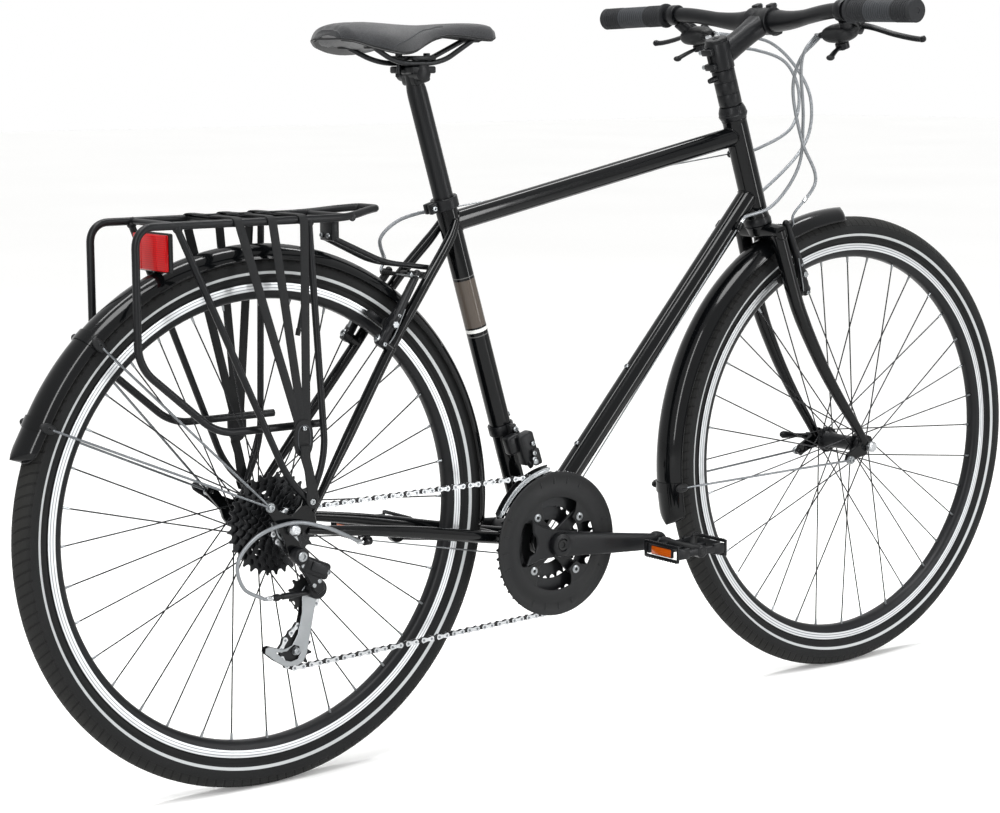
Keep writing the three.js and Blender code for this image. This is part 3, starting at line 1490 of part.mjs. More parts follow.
function crankArm(side, reach) {
  const near = side * crankInnerY;
  const rootOuter = near + side * crankRootThickness;
  const tipInner = side * crankTipInnerY;
  const tipOuter = tipInner + side * crankTipThickness;
  const hub = pin(0, 0, near, rootOuter, crankHubRadius, hubSegments);
  const eye = pin(reach, 0, tipInner, tipOuter, crankEyeRadius, hubSegments);
  const section = (x, halfHeight, innerY, outerY) => [
    [x, innerY, -halfHeight], [x, innerY, halfHeight], [x, outerY, halfHeight * 0.8], [x, outerY, -halfHeight * 0.8],
  ];
  const sign = Math.sign(reach);
  const arm = loft([
    section(0, crankHubRadius * 0.95, near, rootOuter),
    section(reach * 0.35, crankHubRadius * 0.78, near + (tipInner - near) * 0.4, rootOuter + (tipOuter - rootOuter) * 0.4),
    section(reach - sign * crankEyeRadius / 2, crankEyeRadius * 0.9, tipInner, tipOuter),
  ]);
  const axle = pin(reach, 0, tipOuter - side * overrun, tipOuter + side * pedalAxleLength, pedalAxleRadius, staySides);
  const recess = pin(0, 0, rootOuter - side * crankBoltRecess, rootOuter + side * overrun, crankBoltRadius, staySides);
  return cut(unite([hub, eye, arm, axle]), [recess]);
}

function rightCrank() {
  const ringFace = -ringYs[0] - ringThickness / 2;
  const spiderOuter = -(ringFace - gap);
  const spiderInner = ringYs[1] - ringThickness / 2 - gap;
  const spindleEnd = bracketShellHalfWidth + gap + bracketCupWidth;
  const arms = armAngles.slice(0, ringArmCount / 2).map((angle) => {
    const [dx, dz] = around(0, 0, boltCircleRadius, angle);
    const [nx, nz] = around(0, 0, spiderHalfWidth, angle + 90);
    const outline = [[dx + nx, dz + nz], [dx - nx, dz - nz], [-dx - nx, -dz - nz], [-dx + nx, -dz + nz]];
    return slab(outline, spiderOuter, spiderInner);
  });
  const pads = boltPlaces(boltCircleRadius).map(([x, z]) => pin(x, z, spiderOuter, spiderInner, ringBoltPadRadius, staySides));
  const holes = boltPlaces(boltCircleRadius).map(([x, z]) => pin(x, z, spiderOuter - overrun, spiderInner + overrun, ringBoltRadius + 2 * gap, staySides));
  const boss = pin(0, 0, spiderInner, -crankInnerY - overrun, crankHubRadius, hubSegments);
  const spindle = pin(0, 0, spindleEnd + gap, -crankInnerY, spindleRadius, tubeSides);
  const spider = cut(unite([...arms, ...pads, boss]), holes);
  return unite([crankArm(-1, crankLength), spider, spindle]);
}

function leftCrank() {
  const spindleEnd = bracketShellHalfWidth + gap + bracketCupWidth;
  const hub = pin(0, 0, spindleEnd + 2 * gap, crankInnerY + overrun, crankHubRadius, hubSegments);
  return unite([crankArm(1, -crankLength), hub]);
}

function annulus(outline, y, thickness, bore) {
  return slab(outline, y - thickness / 2, y + thickness / 2, [circle(0, 0, bore, hubSegments)]);
}

function chainringSet() {
  const [outerY, midY, innerY] = ringYs;
  const bolt = boltPlaces(boltCircleRadius).map(([x, z]) => pin(x, z, -guardY + guardThickness / 2 + gap, midY, ringBoltRadius, housingSides));
  const posts = boltPlaces(smallBoltCircleRadius).map(([x, z]) => pin(x, z, midY, innerY, ringBoltRadius, housingSides));
  return unite([
    annulus(toothedOutline(ringTeeth[0]), outerY, ringThickness, ringWebRadius),
    annulus(toothedOutline(ringTeeth[1]), midY, ringThickness, midRingWebRadius),
    annulus(toothedOutline(ringTeeth[2]), innerY, ringThickness, smallRingWebRadius),
    ...bolt,
    ...posts,
  ]);
}

function chainGuard() {
  const low = -guardY - guardThickness / 2;
  const high = -guardY + guardThickness / 2;
  const ring = slab(circle(0, 0, guardRadius, discSegments), low, high, [circle(0, 0, guardInnerRadius, discSegments / 2)]);
  const tabs = armAngles.map((angle) => {
    const [ix, iz] = around(0, 0, boltCircleRadius - ringBoltPadRadius, angle);
    const [ox, oz] = around(0, 0, guardInnerRadius + overrun, angle);
    const [nx, nz] = around(0, 0, ringBoltPadRadius, angle + 90);
    return slab([[ox + 2 * nx, oz + 2 * nz], [ox - 2 * nx, oz - 2 * nz], [ix - nx, iz - nz], [ix + nx, iz + nz]], low, high);
  });
  const notch = block([guardInnerRadius - overrun, low - overrun, -guardNotchHalf], [guardRadius + overrun, high + overrun, guardNotchHalf]);
  return cut(unite([ring, ...tabs]), [notch]);
}

addTo(crankset, 'right_crank', satinBlack(), rightCrank());
addTo(crankset, 'left_crank', satinBlack(), leftCrank());
addTo(crankset, 'chainring_set', darkSteel(), chainringSet());
addTo(crankset, 'chain_guard', matteBlack(), chainGuard());

function pedal(side) {
  const inner = side * (crankTipInnerY + crankTipThickness + pedalInnerGap);
  const outer = inner + side * pedalBodyLength;
  const neck = inner + side * pedalNeckHalf;
  const barrel = pin(0, 0, inner, outer, pedalBarrelRadius, staySides);
  const cage = (end) => block(
    [Math.min(end * pedalHalfLength, end * (pedalHalfLength - pedalCageThickness)), Math.min(neck, outer), -pedalHalfHeight],
    [Math.max(end * pedalHalfLength, end * (pedalHalfLength - pedalCageThickness)), Math.max(neck, outer), pedalHalfHeight],
  );
  const bridge = (y) => block(
    [-pedalHalfLength, Math.min(y, y + side * 2 * pedalCageThickness), -pedalHalfHeight * 0.7],
    [pedalHalfLength, Math.max(y, y + side * 2 * pedalCageThickness), pedalHalfHeight * 0.7],
  );
  const bore = pin(0, 0, inner - side * overrun, inner + side * pedalAxleLength, pedalAxleRadius + 2 * gap, staySides);
  const body = unite([barrel, cage(1), cage(-1), bridge(neck), bridge(outer - side * 2 * pedalCageThickness)]);
  return cut(body, [bore]);
}

function addPedal(name, side, reach) {
  const place = new THREE.Group();
  const [x, z] = around(bracketX, bracketZ, reach, -crankRestAngle);
  place.position.set(x, 0, z);
  bike.add(place);
  addTo(place, name, satinBlack(), pedal(side));
}

addPedal('right_pedal', -1, crankLength);
addPedal('left_pedal', 1, -crankLength);

// Chain: a loop round the big ring, the smallest sprocket and the two derailleur pulleys
const pulleyY = cassetteOuterY;
const wraps = [
  { x: 0, z: axleZ, radius: pitchRadius(cassetteTeeth[0]), turn: -1, y: pulleyY },
  { x: bracketX, z: bracketZ, radius: pitchRadius(ringTeeth[0]), turn: -1, y: chainRingY },
  { x: tensionPulleyX, z: tensionPulleyZ, radius: pitchRadius(pulleyTeeth), turn: -1, y: pulleyY },
  { x: guidePulleyX, z: guidePulleyZ, radius: pitchRadius(pulleyTeeth), turn: 1, y: pulleyY },
];

// The straight run that leaves one wheel and meets the next, each turned its own way
function run(from, to) {
  const dx = to.x - from.x;
  const dz = to.z - from.z;
  const length = Math.hypot(dx, dz);
  const heading = Math.atan2(dz, dx);
  const tilt = Math.asin((from.turn * from.radius - to.turn * to.radius) / length);
  const normal = heading + tilt;
  const leave = normal - (from.turn * Math.PI) / 2;
  const meet = normal - (to.turn * Math.PI) / 2;
  return {
    leave,
    meet,
    start: [from.x + from.radius * Math.cos(leave), from.z + from.radius * Math.sin(leave)],
    end: [to.x + to.radius * Math.cos(meet), to.z + to.radius * Math.sin(meet)],
  };
}

function chainPath() {
  const runs = wraps.map((wheel, i) => run(wheel, wraps[(i + 1) % wraps.length]));
  const pieces = [];
  wraps.forEach((wheel, i) => {
    const arriving = runs[(i + wraps.length - 1) % wraps.length];
    const leaving = runs[i];
    let sweep = (leaving.leave - arriving.meet) * wheel.turn;
    sweep = ((sweep % full) + full) % full;
    pieces.push({
      length: sweep * wheel.radius,
      at: (s) => {
        const angle = arriving.meet + (wheel.turn * s) / wheel.radius;
        const place = [wheel.x + wheel.radius * Math.cos(angle), wheel.z + wheel.radius * Math.sin(angle)];
        return { place, heading: angle + (wheel.turn * Math.PI) / 2, y: wheel.y, held: true, wrapped: true };
      },
    });
    const next = wraps[(i + 1) % wraps.length];
    const runLength = Math.hypot(leaving.end[0] - leaving.start[0], leaving.end[1] - leaving.start[1]);
    const heading = Math.atan2(leaving.end[1] - leaving.start[1], leaving.end[0] - leaving.start[0]);
    pieces.push({
      length: runLength,
      at: (s) => {
        const share = THREE.MathUtils.smoothstep(s, Math.min(chainHoldLength, runLength / 3), Math.max(runLength - chainHoldLength, (2 * runLength) / 3));
        const place = between(leaving.start, leaving.end, s / runLength);
        const near = Math.min(s, runLength - s);
        return { place, heading, y: wheel.y + (next.y - wheel.y) * share, held: near < 3 * chainPitch, wrapped: false };
      },
    });
  });
  return pieces;
}

function chainStations() {
  const pieces = chainPath();
  const total = pieces.reduce((sum, piece) => sum + piece.length, 0);
  const links = 2 * Math.round(total / chainPitch / 2);
  const stations = [];
  for (let i = 0; i < 2 * links; i += 1) {
    let s = (i * total) / (2 * links);
    let k = 0;
    while (s > pieces[k].length) {
      s -= pieces[k].length;
      k += 1;
    }
    const station = pieces[k].at(s);
    const waist = i % 2 === 1;
    stations.push({ ...station, waist, outerLink: i % stationsPerLinkPair === 1, roller: i % rollerEvery === 0 });
  }
  return stations;
}

function chainRibbon(all, side) {
  const stations = all.filter(({ waist, wrapped }) => !waist || (side < 0 && !wrapped));
  const rings = stations.map(({ place, heading, y, waist, outerLink }) => {
    const half = waist ? chainWaistHalfHeight : chainPlateHalfHeight;
    const outer = waist && !outerLink ? chainWaistHalfWidth : chainHalfWidth;
    const up = [-Math.sin(heading) * half, Math.cos(heading) * half];
    return [
      [place[0] + up[0], y + side * chainInnerHalf, place[1] + up[1]],
      [place[0] + up[0], y + side * outer, place[1] + up[1]],
      [place[0] - up[0], y + side * outer, place[1] - up[1]],
      [place[0] - up[0], y + side * chainInnerHalf, place[1] - up[1]],
    ];
  });
  const faces = [];
  rings.forEach((_, i) => {
    const low = i * 4;
    const high = ((i + 1) % rings.length) * 4;
    for (let k = 0; k < 4; k += 1) {
      const next = (k + 1) % 4;
      faces.push(low + k, low + next, high + next);
      faces.push(low + k, high + next, high + k);
    }
  });
  const geometry = new THREE.BufferGeometry();
  geometry.setAttribute('position', new THREE.Float32BufferAttribute(rings.flat(2), 3));
  geometry.setIndex(faces);
  return solidOf(geometry);
}

function chain() {
  const stations = chainStations();
  const rollers = stations.filter((station) => station.roller && !station.held).map(({ place, heading, y }) => {
    const x = place[0] + (Math.cos(heading) * chainPitch) / 4;
    const z = place[1] + (Math.sin(heading) * chainPitch) / 4;
    return pin(x, z, y - chainInnerHalf - gap, y + chainInnerHalf + gap, chainRollerRadius, 4);
  });
  return unite([chainRibbon(stations, 1), chainRibbon(stations, -1), ...rollers]);
}

add('chain', silver(), chain());

// Cables and housings
function intoSteering([x, y, z]) {
  const dx = x - headX;
  const dz = z - headZ;
  return [dx * steerOut[0] + dz * steerOut[1], y, dx * steerUp[0] + dz * steerUp[1]];
}

function fromControl(side, row) {
  const [out, y, up] = controlPort(side, row);
  return [steeringPoint(out, y - side * gap, up), steeringPoint(out, y - side * adjusterLength / 2, up)];
}

function eased(points) {
  return [points[0], ...smooth(points.slice(1, -1), housingSteps), points.at(-1)];
}

function housing(points) {
  return tube(eased(points), housingRadius, cableSides);
}

function crossingHousing(side, row, route, end, before) {
  return housing([...fromControl(side, row), ...route, before, end]);
}

function shiftHousing(side, route) {
  const [x, y, z] = downTubeStop(side);
  const face = cableStopLength + gap;
  const end = [x + downRun.x * face, y, z + downRun.y * face];
  const before = [x + 2 * downRun.x * face, y, z + 2 * downRun.y * face];
  return crossingHousing(side, side, route, end, before);
}

function rearBrakeFrontHousing() {
  const end = [headStopX + cableStopLength + gap, headStopY, headStopHeight];
  const before = [headStopX + 2 * cableStopLength, headStopY, headStopHeight];
  return crossingHousing(1, -1, leftBrakeRoute, end, before);
}

add('rear_brake_front_housing', cableGrey(), rearBrakeFrontHousing());
add('left_shift_housing', cableGrey(), shiftHousing(1, leftShiftRoute));
add('right_shift_housing', cableGrey(), shiftHousing(-1, rightShiftRoute));

// A housing that ends in a bare cable across the two brake arms
function noodle(points, side, toPlace) {
  const up = brakeArmLength - noodleRise;
  const mid = brakeBossLength + gap + (brakeArmThickness + brakeArmTopWidth) / 2 + gap;
  const thick = mid + housingRadius;
  const thin = mid + cableRadius;
  const bend = [
    [thick, side * (brakeArmTopY + noodleRise), up + 2 * noodleRise],
    [thick, side * (brakeArmTopY + noodleRise / 2), up + noodleRise / 2],
    [thick, side * (brakeArmTopY - noodleRise / 2), up],
  ];
  const bare = [[thin, side * (brakeArmTopY - noodleRise), up], [thin, -side * brakeArmTopY, up]];
  const held = [points[0], ...smooth([...points.slice(1), ...bend.map(toPlace)], housingSteps)];
  const stations = [...held, ...bare.map(toPlace)];
  const radii = stations.map((_, i) => (i < held.length ? housingRadius : cableRadius));
  return taperedTube(stations, radii, cableSides);
}

function frontBrakeHousing() {
  const [out, y, up] = controlPort(-1, 1);
  const start = [[out, y + gap, up], [out, y + adjusterLength / 2, up]];
  const points = [...start, ...frontBrakeRoute.map(intoSteering)];
  return noodle(points, -1, ([x, across, height]) => [x, across, height + frontPivotUp]);
}

addSteering('front_brake_housing', cableGrey(), frontBrakeHousing());

function rearPlace([x, y, height]) {
  return [
    rearPivotBase[0] + rearBossAxis[0] * x + stayRun.x * height,
    y,
    rearPivotBase[2] + rearBossAxis[2] * x + stayRun.y * height,
  ];
}

function rearBrakeHousing() {
  const start = [headStopX - gap, headStopY, headStopHeight];
  const bare = rod(start, rearBrakeLoop[0], cableRadius, cableSides);
  return unite([bare, noodle(rearBrakeLoop, 1, rearPlace)]);
}

add('rear_brake_housing', cableGrey(), rearBrakeHousing());

function downTubeCables() {
  const low = bracketZ - bracketGuideDrop;
  const guide = block([bracketX - bracketGuideDrop / 2, -2 * bracketGuideY, low - cableStopRadius], [bracketX + bracketGuideDrop / 2, 2 * bracketGuideY, bracketZ - bracketShellRadius - gap]);
  const runs = [1, -1].map((side) => {
    const [x, y, z] = downTubeStop(side);
    return rod([x - downRun.x * gap, y, z - downRun.y * gap], [bracketX + bracketGuideDrop / 4, side * bracketGuideY, low], cableRadius, cableSides);
  });
  const stayEnd = [chainStayStopX + cableStopLength + gap, chainStayStopY, chainStayStopZ];
  const stayRunCable = rod([bracketX - bracketGuideDrop / 4, -bracketGuideY, low], stayEnd, cableRadius, cableSides);
  return unite([guide, ...runs, stayRunCable]);
}

add('down_tube_cables', silver(), downTubeCables());

function derailleurHousing() {
  const start = [chainStayStopX - gap, chainStayStopY, chainStayStopZ];
  const lead = [chainStayStopX - cableStopLength, chainStayStopY, chainStayStopZ];
  const before = [adjusterEndX - cableStopLength, pulleyY - barrelOut, adjusterZ];
  const end = [adjusterEndX - gap, pulleyY - barrelOut, adjusterZ];
  return housing([start, lead, ...derailleurLoop, before, end]);
}

add('derailleur_housing', cableGrey(), derailleurHousing());

// Rear derailleur
function derailleurCage() {
  const innerFace = chainHalfWidth + cagePlateGap;
  const outerFace = innerFace + cagePlateThickness;
  const guide = [guidePulleyX, guidePulleyZ];
  const tension = [tensionPulleyX, tensionPulleyZ];
  const run2 = new THREE.Vector2(tension[0] - guide[0], tension[1] - guide[1]).normalize();
  const side2 = [-run2.y, run2.x];
  const band = (halfTop, halfLow) => [
    [guide[0] + side2[0] * halfTop, guide[1] + side2[1] * halfTop],
    [guide[0] - side2[0] * halfTop, guide[1] - side2[1] * halfTop],
    [tension[0] - side2[0] * halfLow, tension[1] - side2[1] * halfLow],
    [tension[0] + side2[0] * halfLow, tension[1] + side2[1] * halfLow],
  ];
  const plates = [-1, 1].flatMap((side) => {
    const from = pulleyY + side * innerFace;
    const to = pulleyY + side * outerFace;
    return [
      slab(band(cageWaistRadius, cageWaistRadius), from, to),
      pin(guide[0], guide[1], from, to, cageEndRadius, staySides),
      pin(tension[0], tension[1], from, to, cageEndRadius, staySides),
    ];
  });
  const axles = [guide, tension].map(([x, z]) => pin(x, z, pulleyY - outerFace, pulleyY + outerFace, pulleyAxleRadius, staySides));
  const half = sprocketThickness / 2;
  const pulleys = [guide, tension].map(([x, z]) => (
    slab(toothedOutline(pulleyTeeth), pulleyY - half, pulleyY + half).translate(x, 0, z)
  ));
  return unite([...plates, ...axles, ...pulleys]);
}

function rearDerailleur() {
  const hangerZ = axleZ - hangerDrop;
  const hangerFace = -(rearDropoutY + rearDropoutThickness + gap);
  const cageFace = pulleyY - chainHalfWidth - cagePlateGap - cagePlateThickness - gap;
  const upper = pin(hangerX, hangerZ, hangerFace, -derailleurBodyOuterY, knuckleRadius, hubSegments);
  const lower = pin(cageKnuckleX, cageKnuckleZ, cageFace, -derailleurBodyOuterY + cageEndRadius / 2, cageKnuckleRadius, hubSegments);
  const linkRun = new THREE.Vector2(cageKnuckleX - hangerX, cageKnuckleZ - hangerZ).normalize();
  const linkBand = [1, -1].flatMap((side) => {
    const top = [hangerX - side * linkRun.y * knuckleRadius, hangerZ + side * linkRun.x * knuckleRadius];
    const low = [cageKnuckleX - side * linkRun.y * cageKnuckleRadius, cageKnuckleZ + side * linkRun.x * cageKnuckleRadius];
    return side > 0 ? [top, low] : [low, top];
  });
  const link = slab(linkBand, hangerFace - gap, -derailleurBodyOuterY + overrun);
  const barrelY = pulleyY - barrelOut;
  const barrel = rod([adjusterEndX, barrelY, adjusterZ], [cageKnuckleX, barrelY, adjusterZ], adjusterRadius, housingSides);
  return unite([upper, lower, link, barrel]);
}

add('rear_derailleur_cage', silver(), derailleurCage());
add('rear_derailleur', satinBlack(), rearDerailleur());

// Front derailleur
function frontDerailleur() {
  const foot = seatTubePoint(shifterBandAlong);
  const top = seatTubePoint(shifterBandAlong + shifterBandHeight);
  const band = boredAlong([[shifterBandRadius, 0], [shifterBandRadius, shifterBandHeight]], seatTubeRadius + gap, tubeSides, foot, top);
  const low = pitchRadius(ringTeeth[0]) + toothRise + ringCageClearance;
  const high = low + ringCageHeight;
  const arc = (radius) => Array.from({ length: ringCageSteps + 1 }, (_, i) => (
    around(bracketX, bracketZ, radius, ringCageStartAngle + ((ringCageEndAngle - ringCageStartAngle) * i) / ringCageSteps)
  ));
  const outline = [...arc(low), ...arc(high).reverse()];
  const face = chainHalfWidth + cagePlateGap;
  const inner = slab(outline, chainRingY + face, chainRingY + face + ringCageThickness);
  const outer = slab(outline, chainRingY - face, chainRingY - face - ringCageThickness);
  const tailEnd = around(bracketX, bracketZ, (low + high) / 2, ringCageEndAngle - bandHalfAngle);
  const tail = pin(tailEnd[0], tailEnd[1], chainRingY - face - ringCageThickness, chainRingY + face + ringCageThickness, ringCageHeight / 4, housingSides);
  const headStart = around(bracketX, bracketZ, high, ringCageStartAngle + 12);
  const head = pin(headStart[0], headStart[1] + ringCageThickness, chainRingY - face - ringCageThickness, chainRingY + face + ringCageThickness, 2 * ringCageThickness, housingSides);
  const hold = around(bracketX, bracketZ, high, ringCageStartAngle + 24);
  const link = rod([hold[0], chainRingY + face + ringCageThickness / 2, hold[1]], [(foot[0] + top[0]) / 2, -shifterBandRadius, (foot[2] + top[2]) / 2], ringCageHeight / 2, staySides, shifterBandHeight / 2);
  const tubeRoom = rod(seatTubePoint(0), seatTubePoint(seatTubeLength), seatTubeRadius + gap);
  return cut(unite([band, inner, outer, tail, head, link]), [tubeRoom]);
}

add('front_derailleur', satinBlack(), frontDerailleur());

// Fenders
function fenderSection(radius) {
  const shell = (inset) => {
    const half = fenderHalfWidth - inset;
    const crown = radius - inset;
    return [
      [radius - fenderDepth, -half],
      [crown - fenderShoulderDrop, -half * fenderShoulderShare],
      [crown, 0],
      [crown - fenderShoulderDrop, half * fenderShoulderShare],
      [radius - fenderDepth, half],
    ];
  };
  return [...shell(0), ...shell(fenderThickness).reverse()];
}

// The part of a ring about Y that lies between two angles
function arcOf(section, segments, reach, from, to) {
  const ring = revolve(section, segments);
  const steps = 6;
  const away = 2 * reach;
  const wedge = [[0, 0]];
  for (let i = 0; i <= steps; i += 1) {
    wedge.push(around(0, 0, away, from + ((to - from) * i) / steps));
  }
  return ring.intersect(slab(wedge, -reach, reach));
}

function fender(radius, from, to) {
  return arcOf(fenderSection(radius), fenderSegments, radius, from, to);
}

// A band across the fender's outside, on the same section
function fenderBand(radius, angle) {
  const outer = fenderSection(radius + bandThickness + gap).slice(0, 5).map(([r, y]) => [r, y * (1 + (bandThickness + gap) / fenderHalfWidth)]);
  const inner = fenderSection(radius + gap).slice(0, 5).map(([r, y]) => [r, y * (1 + gap / fenderHalfWidth)]);
  const section = [...outer, ...inner.reverse()];
  return arcOf(section, fenderSegments, radius, angle - bandHalfAngle, angle + bandHalfAngle);
}

function bandFoot(centreX, centreZ, radius, angle, side) {
  const [x, z] = around(centreX, centreZ, radius - fenderDepth + bandThickness, angle);
  return [x, side * (fenderHalfWidth + gap + bandThickness), z];
}

add('rear_fender', glossBlack(), fender(rearFenderRadius, rearFenderStartAngle, rearFenderEndAngle).translate(-rearFenderShift, 0, axleZ));
add('front_fender', glossBlack(), fender(frontFenderRadius, frontFenderStartAngle, frontFenderEndAngle).translate(wheelbase - frontFenderShift, 0, axleZ));

function rearFenderStays() {
  const eyeZ = axleZ + fenderEyeletRise;
  const eyeY = rearDropoutY + rearDropoutThickness + gap;
  const wires = [1, -1].flatMap((side) => rearStayAngles.map((angle) => {
    const foot = bandFoot(-rearFenderShift, axleZ, rearFenderRadius, angle, side);
    return rod([fenderEyeletX, side * (eyeY + stayEyeThickness - stayWireRadius), eyeZ], foot, stayWireRadius, cableSides);
  }));
  const eyes = [1, -1].map((side) => pin(fenderEyeletX, eyeZ, side * eyeY, side * (eyeY + stayEyeThickness), eyeletRadius * 0.8, staySides));
  const bands = rearStayAngles.map((angle) => fenderBand(rearFenderRadius, angle).translate(-rearFenderShift, 0, axleZ));
  return unite([...bands, ...eyes, ...wires]);
}

function frontFenderStays() {
  const [out, up] = [forkAxle[0] - forkEyeletBack, forkAxle[1] - forkEyeletDrop];
  const eye = steeringPoint(out, 0, up);
  const eyeY = frontDropoutY + frontDropoutThickness + gap;
  const centreX = wheelbase - frontFenderShift;
  const wires = [1, -1].map((side) => {
    const foot = bandFoot(centreX, axleZ, frontFenderRadius, frontStayAngle, side);
    return rod([eye[0], side * (eyeY + stayEyeThickness - stayWireRadius), eye[2]], foot, stayWireRadius, cableSides);
  });
  const eyes = [1, -1].map((side) => pin(eye[0], eye[2], side * eyeY, side * (eyeY + stayEyeThickness), eyeletRadius * 0.8, staySides));
  const band = fenderBand(frontFenderRadius, frontStayAngle).translate(centreX, 0, axleZ);
  return unite([band, ...eyes, ...wires]);
}

add('rear_fender_stays', darkSteel(), rearFenderStays());
add('front_fender_stays', darkSteel(), frontFenderStays());

// Rear rack
function rackHalfRail(side) {
  const y = side * rackHalfWidth;
  return [
    [rackLowEndX, y, rackLowHeight],
    [rackLowX, y, rackLowHeight],
    [rackRearX, y, rackKneeHeight],
    [rackRearX, y, rackDeckHeight],
    [rackLoopStartX, y, rackDeckHeight],
    [rackFrontX, side * rackLoopTipHalf, rackDeckHeight + rackTubeRadius / 2],
  ];
}

function rackFootStations(side, points) {
  const footY = side * rackLegFootY;
  return rounded([...points, [rackEyeletX, footY, axleZ + rackEyeletRise]], rackBend, 1);
}

function rearRack() {
  const [, , , stayLow, stayHigh] = seatStayStations(1);
  const stayHold = between(stayLow, stayHigh, rackHoldShare);
  const rail = rounded([...rackHalfRail(1), ...rackHalfRail(-1).reverse()], rackBend, rackBendSteps);
  const pieces = [tube(rail, rackTubeRadius, rackSides)];
  for (const x of rackCrossBars) {
    pieces.push(pin(x, rackDeckHeight, -rackHalfWidth, rackHalfWidth, rackCrossRadius, housingSides));
  }
  for (const side of [1, -1]) {
    const y = side * rackHalfWidth;
    const bowed = side * rackLegFootY;
    pieces.push(tube(rackFootStations(side, [[rackRearLegX, y, rackDeckHeight - rackTubeRadius], [rackRearLegFootX, bowed, rackLegFootHeight]]), rackTubeRadius * 0.9, rackSides));
    pieces.push(tube(rackFootStations(side, [[rackFrontLegX, y, rackDeckHeight - rackTubeRadius], [rackFrontLegLowX, bowed, rackFrontLegLowHeight]]), rackTubeRadius * 0.9, rackSides));
    const footY = rearDropoutY + rearDropoutThickness + gap;
    pieces.push(pin(rackEyeletX, axleZ + rackEyeletRise, side * footY, side * rackLegFootY, eyeletRadius * 0.8, staySides));
    const arm = rounded([
      [rackBracketX, side * rackArmY, rackDeckHeight - rackBracketDrop],
      [stayHold[0] - 2 * rackBend, side * (rackArmY + rackTubeRadius), stayHold[2] + 2 * rackTubeRadius],
      [stayHold[0], side * (stayHold[1] - seatStayRadius - rackArmRadius - gap), stayHold[2]],
    ], rackBend / 2, 2);
    pieces.push(tube(arm, rackArmRadius, rackSides));
  }
  const hang = block(
    [rackBracketX - 2 * rackTubeRadius, -rackArmY - rackTubeRadius, rackDeckHeight - rackBracketDrop - rackTubeRadius],
    [rackBracketX + 2 * rackTubeRadius, rackArmY + rackTubeRadius, rackDeckHeight],
  );
  const front = pin(rackBracketX, rackDeckHeight, -rackHalfWidth, rackHalfWidth, rackCrossRadius, housingSides);
  return unite([...pieces, hang, front]);
}

add('rear_rack', satinBlack(), rearRack());

// Luggage straps over the rack, with an end plate and a hook on each side
function strapBand(topX, index) {
  const railTop = rackDeckHeight + rackTubeRadius + gap;
  const edge = rackHalfWidth + rackTubeRadius + gap;
  const plateTop = strapPlateZ + strapPlateHalfHeight / 2;
  const footX = strapPlateX + (index - 1) * strapSpread;
  const strip = (from, to, fromHigh, toHigh) => loft([
    [[from[0] - strapHalfWidth, from[1], from[2]], [from[0] + strapHalfWidth, from[1], from[2]], [from[0] + strapHalfWidth, fromHigh[0], fromHigh[1]], [from[0] - strapHalfWidth, fromHigh[0], fromHigh[1]]],
    [[to[0] - strapHalfWidth, to[1], to[2]], [to[0] + strapHalfWidth, to[1], to[2]], [to[0] + strapHalfWidth, toHigh[0], toHigh[1]], [to[0] - strapHalfWidth, toHigh[0], toHigh[1]]],
  ]);
  const far = edge + strapThickness;
  const across = strip([topX, -far, railTop], [topX, far, railTop], [-far, railTop + strapThickness], [far, railTop + strapThickness]);
  const sides = [1, -1].map((side) => strip(
    [topX, side * edge, railTop + strapThickness],
    [footX, side * strapPlateY, plateTop],
    [side * (edge + strapThickness), railTop + strapThickness],
    [side * (strapPlateY + strapThickness), plateTop],
  ));
  return unite([across, ...sides]);
}

function straps() {
  const pieces = strapTops.map(strapBand);
  for (const side of [1, -1]) {
    const inner = side * strapPlateY;
    const outer = side * (strapPlateY + strapPlateThickness);
    const oval = circle(0, 0, 1, tubeSides).map(([x, z]) => [strapPlateX + x * strapPlateHalfWidth, strapPlateZ + z * strapPlateHalfHeight]);
    pieces.push(slab(oval, inner, outer));
    const hookY = side * (rackLegFootY + rackTubeRadius + gap);
    const hookFoot = [rackEyeletX, axleZ + rackEyeletRise];
    const hook = [
      [strapPlateX - strapHookHalfWidth, strapPlateZ],
      [strapPlateX + strapHookHalfWidth, strapPlateZ],
      [hookFoot[0] + strapHookHalfWidth, hookFoot[1]],
      [hookFoot[0], hookFoot[1] - strapHookHalfWidth],
      [hookFoot[0] - strapHookHalfWidth, hookFoot[1]],
    ];
    pieces.push(slab(hook, hookY, hookY + side * strapHookThickness));
  }
  return unite(pieces);
}

add('luggage_straps', matteBlack(), straps());

function reflector() {
  const body = block(
    [reflectorX - reflectorThickness / 2, -reflectorHalfWidth, reflectorBottom],
    [reflectorX + reflectorThickness / 2, reflectorHalfWidth, reflectorBottom + reflectorHeight],
  );
  const centreX = -rearFenderShift;
  const angle = Math.atan2(reflectorBottom - axleZ, reflectorX - centreX) / degrees;
  const [footX, footZ] = around(centreX, axleZ, rearFenderRadius + gap, angle);
  const foot = rod([footX, 0, footZ], [reflectorX, 0, reflectorBottom + reflectorFootRadius], reflectorFootRadius, staySides);
  return unite([body, foot]);
}

add('reflector', reflectorRed(), reflector());

// Quick releases
function skewer(dropoutOuter) {
  const face = dropoutOuter + gap;
  return unite([
    pin(0, 0, -face - skewerNutLength / 2, face + skewerCamLength / 2, skewerRadius, staySides),
    pin(0, 0, -face, -face - skewerNutLength, skewerNutRadius, staySides),
    pin(0, 0, face, face + skewerCamLength, skewerCamRadius, staySides),
  ]);
}

